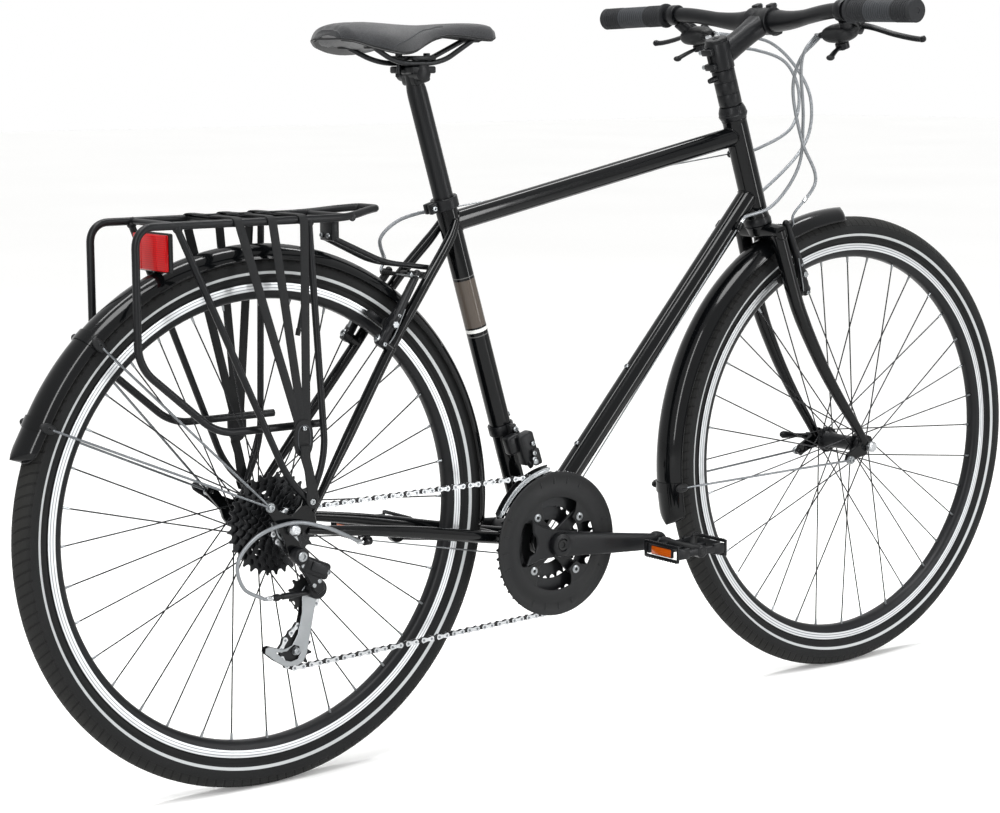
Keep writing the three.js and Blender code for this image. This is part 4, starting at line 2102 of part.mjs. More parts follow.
// A lever whose cam lies across it, beyond the skewer's end
function quickLever(dropoutOuter, angle) {
  const y = dropoutOuter + gap + skewerCamLength + gap + quickCamRadius;
  const [dx, dz] = around(0, 0, 1, angle);
  const half = quickLeverWidth / 2;
  const at = (along, across) => [along * dx - across * dz, along * dz + across * dx];
  const waist = half * quickWaistShare;
  const outline = [
    at(0, -half), at(quickLeverLength * quickWaistShare, -waist), at(quickLeverLength, -half),
    at(quickLeverLength + half, 0), at(quickLeverLength, half), at(quickLeverLength * quickWaistShare, waist), at(0, half),
  ];
  const blade = slab(outline, y - quickLeverThickness / 2, y + quickLeverThickness / 2);
  const [fromX, fromZ] = at(0, -half);
  const [toX, toZ] = at(0, half);
  return unite([blade, rod([fromX, y, fromZ], [toX, y, toZ], quickCamRadius, tubeSides)]);
}

const rearDropoutOuter = rearDropoutY + rearDropoutThickness;
const frontDropoutOuter = frontDropoutY + frontDropoutThickness;
addTo(rearWheel, 'rear_skewer', silver(), skewer(rearDropoutOuter));
addTo(rearWheel, 'rear_quick_release_lever', satinBlack(), quickLever(rearDropoutOuter, rearQuickLeverAngle));
addTo(frontWheel, 'front_skewer', silver(), skewer(frontDropoutOuter));
addTo(frontWheel, 'front_quick_release_lever', satinBlack(), quickLever(frontDropoutOuter, frontQuickLeverAngle));

// The origin lies on the ground under the middle of the bicycle
bike.updateMatrixWorld(true);
const bounds = new THREE.Box3().setFromObject(bike, true);
bike.position.x = -(bounds.min.x + bounds.max.x) / 2;
bike.updateMatrixWorld(true);

export default bike;
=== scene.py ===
"""Detailed visual model of a touring bicycle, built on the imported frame."""

import logging
import math
from dataclasses import dataclass
from enum import Enum
from typing import Callable, Iterable, Optional, Sequence

import bmesh
import bpy
from mathutils import Matrix, Vector
from mathutils.geometry import interpolate_bezier

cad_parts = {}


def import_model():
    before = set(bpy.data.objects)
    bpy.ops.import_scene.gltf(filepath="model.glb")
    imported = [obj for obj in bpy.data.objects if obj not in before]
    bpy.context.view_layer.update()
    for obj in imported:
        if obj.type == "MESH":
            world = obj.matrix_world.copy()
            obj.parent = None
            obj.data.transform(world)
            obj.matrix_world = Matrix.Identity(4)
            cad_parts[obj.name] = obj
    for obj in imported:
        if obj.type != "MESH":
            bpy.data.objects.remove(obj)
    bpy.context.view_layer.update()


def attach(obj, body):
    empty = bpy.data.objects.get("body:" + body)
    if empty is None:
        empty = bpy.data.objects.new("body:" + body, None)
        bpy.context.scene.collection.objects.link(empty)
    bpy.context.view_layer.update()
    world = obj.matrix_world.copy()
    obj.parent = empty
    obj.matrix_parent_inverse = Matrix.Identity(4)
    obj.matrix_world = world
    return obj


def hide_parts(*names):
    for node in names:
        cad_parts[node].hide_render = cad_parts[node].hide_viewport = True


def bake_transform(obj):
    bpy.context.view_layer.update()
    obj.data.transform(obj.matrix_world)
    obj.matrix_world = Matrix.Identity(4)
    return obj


logging.basicConfig(level=logging.INFO, format="%(message)s")
LOG = logging.getLogger("bicycle")

Triple = tuple[float, float, float]
Pair = tuple[float, float]

# Millimetres, measured from the rear axle's foot, as in the CAD model
SHIFT = -525.0
AXLE_Z = 349.0
WHEELBASE = 1050.0
CHAINSTAY = 440.0
BRACKET_DROP = 74.0
BRACKET = (math.sqrt(CHAINSTAY ** 2 - BRACKET_DROP ** 2), AXLE_Z - BRACKET_DROP)
SEAT_ANGLE = math.radians(73.5)
HEAD_ANGLE = math.radians(72.0)
UP = (-math.cos(HEAD_ANGLE), math.sin(HEAD_ANGLE))
OUT = (UP[1], -UP[0])
AXLE_TO_HEAD = 397.0
FORK_RAKE = 68.0
HEAD = (WHEELBASE + AXLE_TO_HEAD * UP[0] - FORK_RAKE * OUT[0],
        AXLE_Z + AXLE_TO_HEAD * UP[1] - FORK_RAKE * OUT[1])
CRANK_REST = math.radians(5.0)
PITCH = 12.7
REAR_FACE = 67.85
REAR_OUTER = 73.85
FRONT_FACE = 50.35
FRONT_OUTER = 55.85
BRAKE_AHEAD = 6.0


def steer(out: float, y: float, up: float) -> Triple:
    """Turns steering coordinates into bicycle coordinates.

    Args:
        out: Millimetres ahead of the steering axis.
        y: Millimetres to the left.
        up: Millimetres up the steering axis from the head tube's foot.

    Returns:
        The point in bicycle millimetres.
    """
    return (HEAD[0] + out * OUT[0] + up * UP[0], y, HEAD[1] + out * OUT[1] + up * UP[1])


def seat_tube(along: float, y: float = 0.0, ahead: float = 0.0) -> Triple:
    """Gives a point by its place along the seat tube.

    Args:
        along: Millimetres up the tube from the crank axis.
        y: Millimetres to the left.
        ahead: Millimetres ahead of the tube's axis.

    Returns:
        The point in bicycle millimetres.
    """
    run = (-math.cos(SEAT_ANGLE), math.sin(SEAT_ANGLE))
    return (BRACKET[0] + along * run[0] + ahead * run[1], y, BRACKET[1] + along * run[1] - ahead * run[0])


def polar(x: float, z: float, radius: float, degrees: float) -> Pair:
    """Gives the point at an angle on a circle in the XZ plane.

    Args:
        x: Centre x.
        z: Centre z.
        radius: Circle radius.
        degrees: Angle from +X towards +Z.

    Returns:
        The x and z of the point.
    """
    a = math.radians(degrees)
    return (x + radius * math.cos(a), z + radius * math.sin(a))


def lerp(a: Sequence[float], b: Sequence[float], t: float) -> Triple:
    """Blends two points.

    Args:
        a: Point at share 0.
        b: Point at share 1.
        t: The share.

    Returns:
        The blended point.
    """
    return tuple(p + (q - p) * t for p, q in zip(a, b))


def smooth_path(points: Sequence[Triple], count: int) -> list[Triple]:
    """Runs a centripetal spline through points.

    Args:
        points: Points to pass through.
        count: Number of equal steps.

    Returns:
        Evenly spaced points on the spline.
    """
    p = [Vector(q) for q in points]
    p = [p[0] * 2 - p[1]] + p + [p[-1] * 2 - p[-2]]
    fine: list[Vector] = []
    for i in range(1, len(p) - 2):
        a, b, c, d = p[i - 1:i + 3]
        t0 = 0.0
        t1 = t0 + max((b - a).length, 1e-6) ** 0.5
        t2 = t1 + max((c - b).length, 1e-6) ** 0.5
        t3 = t2 + max((d - c).length, 1e-6) ** 0.5
        for k in range(16):
            t = t1 + (t2 - t1) * k / 16
            a1 = a * ((t1 - t) / (t1 - t0)) + b * ((t - t0) / (t1 - t0))
            a2 = b * ((t2 - t) / (t2 - t1)) + c * ((t - t1) / (t2 - t1))
            a3 = c * ((t3 - t) / (t3 - t2)) + d * ((t - t2) / (t3 - t2))
            b1 = a1 * ((t2 - t) / (t2 - t0)) + a2 * ((t - t0) / (t2 - t0))
            b2 = a2 * ((t3 - t) / (t3 - t1)) + a3 * ((t - t1) / (t3 - t1))
            fine.append(b1 * ((t2 - t) / (t2 - t1)) + b2 * ((t - t1) / (t2 - t1)))
    fine.append(p[-2])
    return resample(fine, count)


def resample(points: Sequence[Sequence[float]], count: int) -> list[Triple]:
    """Spaces points evenly along a line.

    Args:
        points: Points of the line.
        count: Number of steps.

    Returns:
        count + 1 points.
    """
    p = [Vector(q) for q in points]
    lengths = [0.0]
    for a, b in zip(p, p[1:]):
        lengths.append(lengths[-1] + (b - a).length)
    out, k = [], 0
    for i in range(count + 1):
        s = lengths[-1] * i / count
        while k < len(p) - 2 and lengths[k + 1] < s:
            k += 1
        gap = max(lengths[k + 1] - lengths[k], 1e-9)
        out.append(tuple(p[k].lerp(p[k + 1], min((s - lengths[k]) / gap, 1.0))))
    return out


def rounded(points: Sequence[Triple], bend: float, steps: int = 8) -> list[Triple]:
    """Rounds the corners of a line.

    Args:
        points: Corners of the line.
        bend: How far from a corner its bend starts.
        steps: Steps in each bend.

    Returns:
        Points of the rounded line.
    """
    out = [tuple(points[0])]
    for a, b, c in zip(points, points[1:], points[2:]):
        corner, back, ahead = Vector(b), Vector(a) - Vector(b), Vector(c) - Vector(b)
        start = corner + back.normalized() * min(bend, back.length / 2)
        end = corner + ahead.normalized() * min(bend, ahead.length / 2)
        h1, h2 = start.lerp(corner, 0.6), end.lerp(corner, 0.6)
        out.extend(tuple(q) for q in interpolate_bezier(start, h1, h2, end, steps + 1))
    out.append(tuple(points[-1]))
    return out


def mirror(points: Iterable[Triple]) -> list[Triple]:
    """Mirrors points from one side of the bicycle to the other.

    Args:
        points: Points to mirror.

    Returns:
        The mirrored points.
    """
    return [(x, -y, z) for x, y, z in points]


class Shape:
    """Gathers closed surfaces, each with its own finish, into one object."""

    def __init__(self, name: str) -> None:
        """Starts an empty shape.

        Args:
            name: Name of the object.
        """
        self.name = name
        self.mesh = bmesh.new()
        self.finishes: list["Finish"] = []

    def _slot(self, finish: "Finish") -> int:
        """Gives a finish its number among the mesh's materials."""
        if finish not in self.finishes:
            self.finishes.append(finish)
        return self.finishes.index(finish)

    def merge(self, part: bmesh.types.BMesh, finish: "Finish", place: Optional[Matrix] = None) -> None:
        """Adds a finished surface.

        Args:
            part: The surface, which is freed.
            finish: Its finish.
            place: Where it goes.
        """
        if place is not None:
            bmesh.ops.transform(part, matrix=place, verts=part.verts)
        bmesh.ops.recalc_face_normals(part, faces=part.faces)
        index = self._slot(finish)
        for face in part.faces:
            face.material_index = index
        holder = bpy.data.meshes.new("part")
        part.to_mesh(holder)
        part.free()
        self.mesh.from_mesh(holder)
        bpy.data.meshes.remove(holder)

    def loft(
            self, rings: Sequence[Sequence[Triple]], finish: "Finish", closed: bool = False,
            caps: bool = True) -> None:
        """Joins rings of points into one surface.

        Args:
            rings: Rings, each with the same number of points.
            finish: The finish.
            closed: Whether the last ring joins the first.
            caps: Whether the ends are closed.
        """
        part = bmesh.new()
        n, m = len(rings[0]), len(rings)
        rows = m + 1 if closed else m
        bmesh.ops.create_grid(part, x_segments=n, y_segments=rows - 1, size=1.0)
        grid = part.verts[:]
        for index, corner in enumerate(grid):
            row, k = divmod(index, n + 1)
            corner.co = rings[row % m][k % n]
        seam = {grid[row * (n + 1) + n]: grid[row * (n + 1)] for row in range(m)}
        if closed:
            seam.update({grid[m * (n + 1) + k]: grid[k % n] for k in range(n + 1)})
        bmesh.ops.weld_verts(part, targetmap=seam)
        if caps and not closed:
            bmesh.ops.holes_fill(part, edges=[e for e in part.edges if e.is_boundary], sides=0)
        self.merge(part, finish)

    def sweep(
            self, points: Sequence[Triple], radius: float | Sequence[float], finish: "Finish",
            sides: int = 16, closed: bool = False, flat: float = 1.0, upright: Triple = (0, 1, 0)) -> None:
        """Carries a round or oval section along a line.

        Args:
            points: Points of the line.
            radius: One radius, or one for each point.
            finish: The finish.
            sides: Sides of the section.
            closed: Whether the line is a loop.
            flat: Share of the radius across the upright direction.
            upright: Direction that the section's second axis keeps near.
        """
        p = [Vector(q) for q in points]
        radii = [radius] * len(p) if isinstance(radius, (int, float)) else list(radius)
        rings, n = [], len(p)
        normal = None
        for i, here in enumerate(p):
            before = p[i - 1] if i or closed else here
            after = p[(i + 1) % n] if i < n - 1 or closed else here
            run = (after - before).normalized()
            if flat != 1.0 or closed or normal is None:
                side = Vector(upright)
                if abs(run.dot(side)) > 0.95:
                    side = Vector((0, 0, 1)) if abs(run.z) < 0.9 else Vector((1, 0, 0))
                normal = (side - run * side.dot(run)).normalized()
            else:
                normal = (normal - run * normal.dot(run)).normalized()
            other = run.cross(normal)
            ring = []
            for k in range(sides):
                a = 2 * math.pi * k / sides
                ring.append(
                    tuple(here + normal * radii[i] * math.cos(a) + other * radii[i] * flat * math.sin(a)))
            rings.append(ring)
        self.loft(rings, finish, closed=closed)

    def rod(
            self, start: Triple, end: Triple, radius: float, finish: "Finish", sides: int = 16,
            end_radius: Optional[float] = None) -> None:
        """Adds a straight round bar.

        Args:
            start: One end.
            end: Other end.
            radius: Radius at the start.
            finish: The finish.
            sides: Number of sides.
            end_radius: Radius at the end.
        """
        self.sweep([start, end], [radius, radius if end_radius is None else end_radius], finish, sides)

    def lathe(
            self, profile: Sequence[Pair], finish: "Finish", centre: Triple = (0, 0, 0),
            axis: Triple = (0, 1, 0), segments: int = 48, ring: bool = True) -> None:
        """Revolves a profile of radius and distance along an axis.

        Args:
            profile: Radius and distance of each corner.
            finish: The finish.
            centre: Point on the axis at distance 0.
            axis: Direction of the axis.
            segments: Number of segments.
            ring: Whether the profile is closed; if not, its two ends are capped flat.
        """
        part = bmesh.new()
        corners = [part.verts.new((r, y, 0)) for r, y in profile]
        edges = [part.edges.new(pair) for pair in zip(corners, corners[1:] + (corners[:1] if ring else []))]
        bmesh.ops.spin(
            part, geom=corners + edges, cent=(0, 0, 0), axis=(0, 1, 0), dvec=(0, 0, 0), angle=2 * math.pi,
            steps=segments, use_merge=True, use_duplicate=False)
        if not ring:
            bmesh.ops.holes_fill(part, edges=[e for e in part.edges if e.is_boundary], sides=0)
        turn = Vector((0, 1, 0)).rotation_difference(Vector(axis)).to_matrix()
        self.merge(part, finish, Matrix.Translation(centre) @ turn.to_4x4())

    def turned(
            self, profile: Sequence[Pair], finish: "Finish", centre: Triple = (0, 0, 0),
            axis: Triple = (0, 1, 0), segments: int = 48) -> None:
        """Revolves an open profile whose two ends are capped flat.

        Args:
            profile: Radius and distance of each corner, along the outside.
            finish: The finish.
            centre: Point on the axis at distance 0.
            axis: Direction of the axis.
            segments: Number of segments.
        """
        self.lathe(profile, finish, centre, axis, segments, ring=False)

    def plate(
            self, outline: Sequence[Pair], low: float, high: float, finish: "Finish",
            holes: Sequence[Sequence[Pair]] = (), bevel: float = 0.4) -> None:
        """Gives an XZ outline thickness along Y, with softened edges.

        Args:
            outline: Corners, in x and z.
            low: Lowest y.
            high: Highest y.
            finish: The finish.
            holes: Corners of each hole.
            bevel: Width of the softened edges.
        """
        part = bmesh.new()
        edges = []
        for loop in [outline, *holes]:
            corners = [part.verts.new((x, low, z)) for x, z in loop]
            edges += [part.edges.new((a, b)) for a, b in zip(corners, corners[1:] + corners[:1])]
        bmesh.ops.triangle_fill(part, edges=edges, use_beauty=True, use_dissolve=False, normal=(0, 1, 0))
        bmesh.ops.recalc_face_normals(part, faces=part.faces)
        made = bmesh.ops.extrude_face_region(part, geom=part.faces[:])
        moved = [v for v in made["geom"] if isinstance(v, bmesh.types.BMVert)]
        bmesh.ops.translate(part, vec=(0, high - low, 0), verts=moved)
        bmesh.ops.recalc_face_normals(part, faces=part.faces)
        if bevel:
            rim = [
                e for e in part.edges if e.is_manifold and e.calc_face_angle(0) > 0.9
                and abs(e.verts[0].co.y - e.verts[1].co.y) < 1e-6]
            bmesh.ops.bevel(
                part, geom=rim, offset=bevel, offset_type="OFFSET", segments=1, profile=0.5, affect="EDGES",
                clamp_overlap=True, material=-1)
        self.merge(part, finish)

    def box(
            self, centre: Triple, size: Triple, finish: "Finish", turn: Optional[Matrix] = None,
            bevel: float = 0.8, segments: int = 2) -> None:
        """Adds a block with softened edges.

        Args:
            centre: Its centre.
            size: Its size.
            finish: The finish.
            turn: How it is turned about its centre.
            bevel: Width of the softened edges.
            segments: Steps in the softened edges.
        """
        part = bmesh.new()
        bmesh.ops.create_cube(part, size=1.0)
        bmesh.ops.scale(part, vec=size, verts=part.verts)
        if bevel:
            bmesh.ops.bevel(
                part, geom=part.edges[:], offset=bevel, offset_type="OFFSET", segments=segments,
                profile=0.5, affect="EDGES", clamp_overlap=True, material=-1)
        place = Matrix.Translation(centre) @ (turn.to_4x4() if turn else Matrix.Identity(4))
        self.merge(part, finish, place)

    def ball(
            self, centre: Triple, size: Triple, finish: "Finish", turn: Optional[Matrix] = None,
            segments: int = 24) -> None:
        """Adds an ellipsoid.

        Args:
            centre: Its centre.
            size: Its radii.
            finish: The finish.
            turn: How it is turned about its centre.
            segments: Segments around it.
        """
        part = bmesh.new()
        bmesh.ops.create_uvsphere(part, u_segments=segments, v_segments=segments // 2, radius=1.0)
        bmesh.ops.scale(part, vec=size, verts=part.verts)
        self.merge(part, finish, Matrix.Translation(centre) @ (turn.to_4x4() if turn else Matrix.Identity(4)))

    def bolt(self, centre: Triple, axis: Triple, radius: float, height: float, finish: "Finish") -> None:
        """Adds a round bolt head with a hexagonal socket.

        Args:
            centre: Centre of its underside.
            axis: Direction in which it stands.
            radius: Its radius.
            height: Its height.
            finish: The finish.
        """
        edge = radius * 0.15
        self.turned(
            [
                (radius, 0), (radius, height - edge), (radius - edge, height), (radius * 0.55, height),
                (radius * 0.5, height * 0.4)], finish, centre, axis, 18)

    def build(self, body: str, *nodes: str, smooth: float = 38.0) -> bpy.types.Object:
        """Makes the object, which rides on a body and stands for CAD nodes.

        Args:
            nodes: CAD nodes that it replaces.
            smooth: Angle in degrees up to which edges are smooth.

        Returns:
            The object.
        """
        bmesh.ops.transform(
            self.mesh, matrix=Matrix.Translation((SHIFT * 0.001, 0, 0)) @ Matrix.Scale(0.001, 4),
            verts=self.mesh.verts)
        mesh = bpy.data.meshes.new(self.name)
        self.mesh.to_mesh(mesh)
        self.mesh.free()
        mesh.polygons.foreach_set("use_smooth", [True] * len(mesh.polygons))
        mesh.set_sharp_from_angle(angle=math.radians(smooth))
        for finish in self.finishes:
            mesh.materials.append(finish.material())
        made = bpy.data.objects.new(self.name, mesh)
        bpy.context.scene.collection.objects.link(made)
        if nodes:
            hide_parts(*nodes)
        if body:
            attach(made, body)
        LOG.info("%s: %d faces", self.name, len(mesh.polygons))
        return made


class Kind(Enum):
    """How a finish varies over its surface."""

    PAINT = "paint"
    METAL = "metal"
    PLASTIC = "plastic"
    RUBBER = "rubber"
    TYRE = "tyre"
    RIM = "rim"
    FRAME = "frame"
    SADDLE = "saddle"
    REFLECTOR = "reflector"


def linear(code: str) -> tuple[float, float, float, float]:
    """Turns an sRGB hex colour into a linear one.

    Args:
        code: Six hex digits.

    Returns:
        Linear red, green, blue and alpha.
    """
    values = [int(code[i:i + 2], 16) / 255 for i in (0, 2, 4)]
    return tuple(v / 12.92 if v <= 0.04045 else ((v + 0.055) / 1.055) ** 2.4 for v in values) + (1.0,)


class Graph:
    """A material's node tree, with one call for a node."""

    def __init__(self, name: str) -> None:
        """Starts a tree with its surface shader.

        Args:
            name: Name of the material.
        """
        self.owner = bpy.data.materials.new(name)
        self.owner.use_nodes = True
        self.tree = self.owner.node_tree
        self.shader = self.tree.nodes["Principled BSDF"]
        self.place = self.add("ShaderNodeTexCoord").outputs["Object"]

    def add(self, kind: str, settings: Optional[dict] = None, **inputs) -> bpy.types.Node:
        """Adds a node.

        Args:
            kind: Type of the node.
            settings: Its own settings.
            inputs: A value or a socket for each input, by name or by i and its number.

        Returns:
            The node.
        """
        node = self.tree.nodes.new(kind)
        for key, value in (settings or {}).items():
            setattr(node, key, value)
        for key, value in inputs.items():
            socket = node.inputs[int(key[1:])] if key[0] == "i" and key[1:].isdigit() else node.inputs[key]
            if isinstance(value, bpy.types.NodeSocket):
                self.tree.links.new(value, socket)
            else:
                socket.default_value = value
        return node

    def math(self, operation: str, a, b=0.0, c=0.0) -> bpy.types.NodeSocket:
        """Adds a sum.

        Args:
            operation: The operation.
            a: First value or socket.
            b: Second value or socket.
            c: Third value or socket.

        Returns:
            The result.
        """
        return self.add("ShaderNodeMath", {"operation": operation}, i0=a, i1=b, i2=c).outputs[0]

    def noise(
            self, scale: float, detail: float = 3.0, place: Optional[bpy.types.NodeSocket] = None
    ) -> bpy.types.NodeSocket:
        """Adds a noise pattern.

        Args:
            scale: Its scale in each metre.
            detail: Its detail.
            place: Its coordinates.

        Returns:
            The pattern.
        """
        return self.add(
            "ShaderNodeTexNoise", Vector=place or self.place, Scale=scale, Detail=detail).outputs["Fac"]

    def ramp(
            self, value, low: float, high: float, to_low: float = 0.0, to_high: float = 1.0
    ) -> bpy.types.NodeSocket:
        """Maps a range of values to another, with both ends held.

        Args:
            value: The value.
            low: Where the range starts.
            high: Where the range ends.
            to_low: Result at its start.
            to_high: Result at its end.

        Returns:
            The mapped value.
        """
        node = self.add(
            "ShaderNodeMapRange", {"clamp": True}, i0=value, i1=low, i2=high, i3=to_low, i4=to_high)
        return node.outputs[0]

    def band(self, value, centre: float, half: float, edge: float) -> bpy.types.NodeSocket:
        """Gives 1 inside a band of values and 0 outside it.

        Args:
            value: The value.
            centre: Middle of the band.
            half: Half its width.
            edge: Width of its soft edge.

        Returns:
            The mask.
        """
        return self.ramp(
            self.math("ABSOLUTE", self.math("SUBTRACT", value, centre)), half, half + edge, 1.0, 0.0)

    def mix(self, share, a, b) -> bpy.types.NodeSocket:
        """Blends two colours.

        Args:
            share: Share of the second.
            a: First colour.
            b: Second colour.

        Returns:
            The blend.
        """
        node = self.add("ShaderNodeMix", {"data_type": "RGBA"}, i0=share, i6=a, i7=b)
        return node.outputs[2]

    def split(self, place: Optional[bpy.types.NodeSocket] = None) -> list[bpy.types.NodeSocket]:
        """Gives the coordinates one by one.

        Args:
            place: The coordinates.

        Returns:
            x, y and z.
        """
        node = self.add("ShaderNodeSeparateXYZ", Vector=place or self.place)
        return [node.outputs[i] for i in range(3)]

    def bump(self, height, strength: float, distance: float = 0.0005) -> None:
        """Sets the surface's bump.

        Args:
            height: Pattern of heights.
            strength: Strength of the bump.
            distance: Height in metres.
        """
        node = self.add("ShaderNodeBump", Height=height, Strength=strength, Distance=distance)
        self.set("Normal", node.outputs["Normal"])

    def set(self, name: str, value) -> None:
        """Sets an input of the shader.

        Args:
            name: Name of the input.
            value: A value or a socket.
        """
        if isinstance(value, bpy.types.NodeSocket):
            self.tree.links.new(value, self.shader.inputs[name])
        else:
            self.shader.inputs[name].default_value = value


@dataclass(frozen=True)
class Finish:
    """One material, with its colours, its shine and the size of its grain in millimetres."""

    name: str
    slot: str
    kind: Kind
    colour: str
    second: str = "2a2b2d"
    rough: float = 0.4
    metal: float = 0.0
    grain: float = 2.5
    relief: float = 0.1
    coat: float = 0.0
    centre: Pair = (0.0, 0.0)

    def material(self) -> bpy.types.Material:
        """Gives the material, made once.

        Returns:
            The material.
        """
        found = bpy.data.materials.get(self.name)
        if found:
            return found
        graph = Graph(self.name)
        wear = graph.noise(18.0, 4.0)
        fine = graph.noise(1000 / self.grain, 3.0)
        colour = graph.mix(graph.ramp(wear, 0.35, 0.75, 0.0, 0.5), linear(self.colour), linear(self.second))
        graph.set("Metallic", self.metal)
        graph.set(
            "Roughness",
            graph.ramp(
                graph.math("ADD", wear, fine), 0.6, 1.4, self.rough * 0.8, min(self.rough * 1.25, 1.0)))
        if self.coat:
            graph.set("Coat Weight", self.coat)
            graph.set("Coat Roughness", 0.05)
        if self.metal < 0.5:
            graph.set("Specular IOR Level", 0.1 if self.coat else 0.22)
        colour = DETAILS.get(self.kind, plain_detail)(self, graph, colour, fine)
        graph.set("Base Color", colour)
        return graph.owner


def plain_detail(
        finish: Finish, graph: Graph, colour: bpy.types.NodeSocket, fine: bpy.types.NodeSocket
) -> bpy.types.NodeSocket:
    """Adds a fine grain.

    Args:
        finish: The finish.
        graph: Its tree.
        colour: Its colour so far.
        fine: Its grain.

    Returns:
        The colour.
    """
    graph.bump(fine, finish.relief, 0.0003)
    return colour


def radius_from(graph: Graph, centre: Pair) -> bpy.types.NodeSocket:
    """Gives the distance from a wheel's axle.

    Args:
        graph: The tree.
        centre: The axle's x and z, in bicycle millimetres.

    Returns:
        The distance in metres.
    """
    x, _, z = graph.split()
    dx = graph.math("SUBTRACT", x, (centre[0] + SHIFT) / 1000)
    dz = graph.math("SUBTRACT", z, centre[1] / 1000)
    return graph.math(
        "SQRT", graph.math("ADD", graph.math("MULTIPLY", dx, dx), graph.math("MULTIPLY", dz, dz)))


def tyre_detail(
        finish: Finish, graph: Graph, colour: bpy.types.NodeSocket, fine: bpy.types.NodeSocket
) -> bpy.types.NodeSocket:
    """Adds grooved blocks, a pale side band and road dust, with painted shade that darkens the grooves.

    Args:
        finish: The finish.
        graph: Its tree.
        colour: Its colour so far.
        fine: Its grain.

    Returns:
        The colour.
    """
    radius = radius_from(graph, finish.centre)
    x, y, z = graph.split()
    angle = graph.math(
        "ARCTAN2", graph.math("SUBTRACT", z, finish.centre[1] / 1000),
        graph.math("SUBTRACT", x, (finish.centre[0] + SHIFT) / 1000))
    slant = graph.math(
        "ADD", graph.math("MULTIPLY", angle, 160.0),
        graph.math("MULTIPLY", graph.math("ABSOLUTE", y), 300.0))
    # Blocks of 13 mm, as on the real tyre, cut by grooves of about 2 mm
    blocks = graph.ramp(graph.math("SINE", slant), 0.7, 0.9)
    tyre_groove_and_shade = graph.math("MULTIPLY", blocks, graph.ramp(radius, 0.3345, 0.3355))
    ribs = graph.band(radius, 0.3365, 0.0007, 0.0004)
    graph.bump(
        graph.math(
            "ADD", graph.math("ADD", graph.math("MULTIPLY", tyre_groove_and_shade, -1.0), ribs),
            graph.math("MULTIPLY", fine, 0.15)), 0.9, 0.0012)
    stripe = graph.band(radius, 0.3215, 0.0017, 0.0003)
    dust = graph.math("MULTIPLY", graph.noise(9.0, 6.0), graph.ramp(radius, 0.332, 0.345, 0.05, 0.4))
    # Painted shade: the grooves are darkened towards near black, where shade would fall in them
    colour = graph.mix(
        graph.math("MULTIPLY", tyre_groove_and_shade, 0.7), graph.mix(dust, colour, linear("34332f")), linear("030303"))
    return graph.mix(graph.math("MULTIPLY", stripe, 0.85), colour, linear("b9bcbd"))


def rim_detail(
        finish: Finish, graph: Graph, colour: bpy.types.NodeSocket, fine: bpy.types.NodeSocket
) -> bpy.types.NodeSocket:
    """Adds a machined brake track to a black rim, with grooves that are painted darker as painted shade.

    Args:
        finish: The finish.
        graph: Its tree.
        colour: Its colour so far.
        fine: Its grain.

    Returns:
        The colour.
    """
    radius = radius_from(graph, finish.centre)
    _, y, _ = graph.split()
    side = graph.ramp(graph.math("ABSOLUTE", y), 0.01125, 0.0114)
    track = graph.math("MULTIPLY", graph.band(radius, 0.3032, 0.0047, 0.0003), side)
    # The real turning marks are 0.3 mm apart and would only flicker, so two broad wear grooves stand for them
    track_groove_and_shade = graph.math(
        "ADD", graph.band(radius, 0.3053, 0.0004, 0.0004), graph.band(radius, 0.3014, 0.0004, 0.0004))
    graph.bump(graph.math("MULTIPLY", graph.math("MULTIPLY", track_groove_and_shade, -1.0), track), 0.3, 0.0002)
    graph.set("Metallic", graph.ramp(track, 0.0, 1.0, 0.2, 1.0))
    graph.set("Roughness", graph.ramp(track, 0.0, 1.0, 0.38, 0.34))
    # Painted shade: the two grooves are painted a darker grey than the rest of the track
    pale = graph.mix(graph.ramp(track_groove_and_shade, 0.0, 1.0), linear("c6c8ca"), linear("7b7e81"))
    return graph.mix(track, colour, pale)


def frame_detail(
        finish: Finish, graph: Graph, colour: bpy.types.NodeSocket, fine: bpy.types.NodeSocket
) -> bpy.types.NodeSocket:
    """Adds the seat tube's panel with its rings, and orange-peel to the paint.

    Args:
        finish: The finish.
        graph: Its tree.
        colour: Its colour so far.
        fine: Its grain.

    Returns:
        The colour.
    """
    x, _, z = graph.split()
    dx = graph.math("SUBTRACT", x, (BRACKET[0] + SHIFT) / 1000)
    dz = graph.math("SUBTRACT", z, BRACKET[1] / 1000)
    cos, sin = math.cos(SEAT_ANGLE), math.sin(SEAT_ANGLE)
    along = graph.math("ADD", graph.math("MULTIPLY", dx, -cos), graph.math("MULTIPLY", dz, sin))
    off = graph.math(
        "ABSOLUTE", graph.math("ADD", graph.math("MULTIPLY", dx, sin), graph.math("MULTIPLY", dz, cos)))
    near = graph.ramp(off, 0.0155, 0.0157, 1.0, 0.0)
    panel = graph.math("MULTIPLY", graph.band(along, PANEL[0], PANEL[1], 0.0004), near)
    ring = graph.math("MULTIPLY", graph.band(along, PANEL[2], 0.0022, 0.0003), near)
    thin = graph.math(
        "ADD", graph.band(along, PANEL[0] + PANEL[1] + 0.004, 0.0006, 0.0002),
        graph.band(along, PANEL[0] - PANEL[1] - 0.013, 0.0006, 0.0002))
    graph.bump(graph.noise(900.0, 1.0), 0.02, 0.0002)
    colour = graph.mix(panel, colour, linear("4d4640"))
    return graph.mix(
        graph.math("MAXIMUM", ring, graph.math("MULTIPLY", graph.math("MULTIPLY", thin, 0.12), near)),
        colour, linear("d9d9d6"))


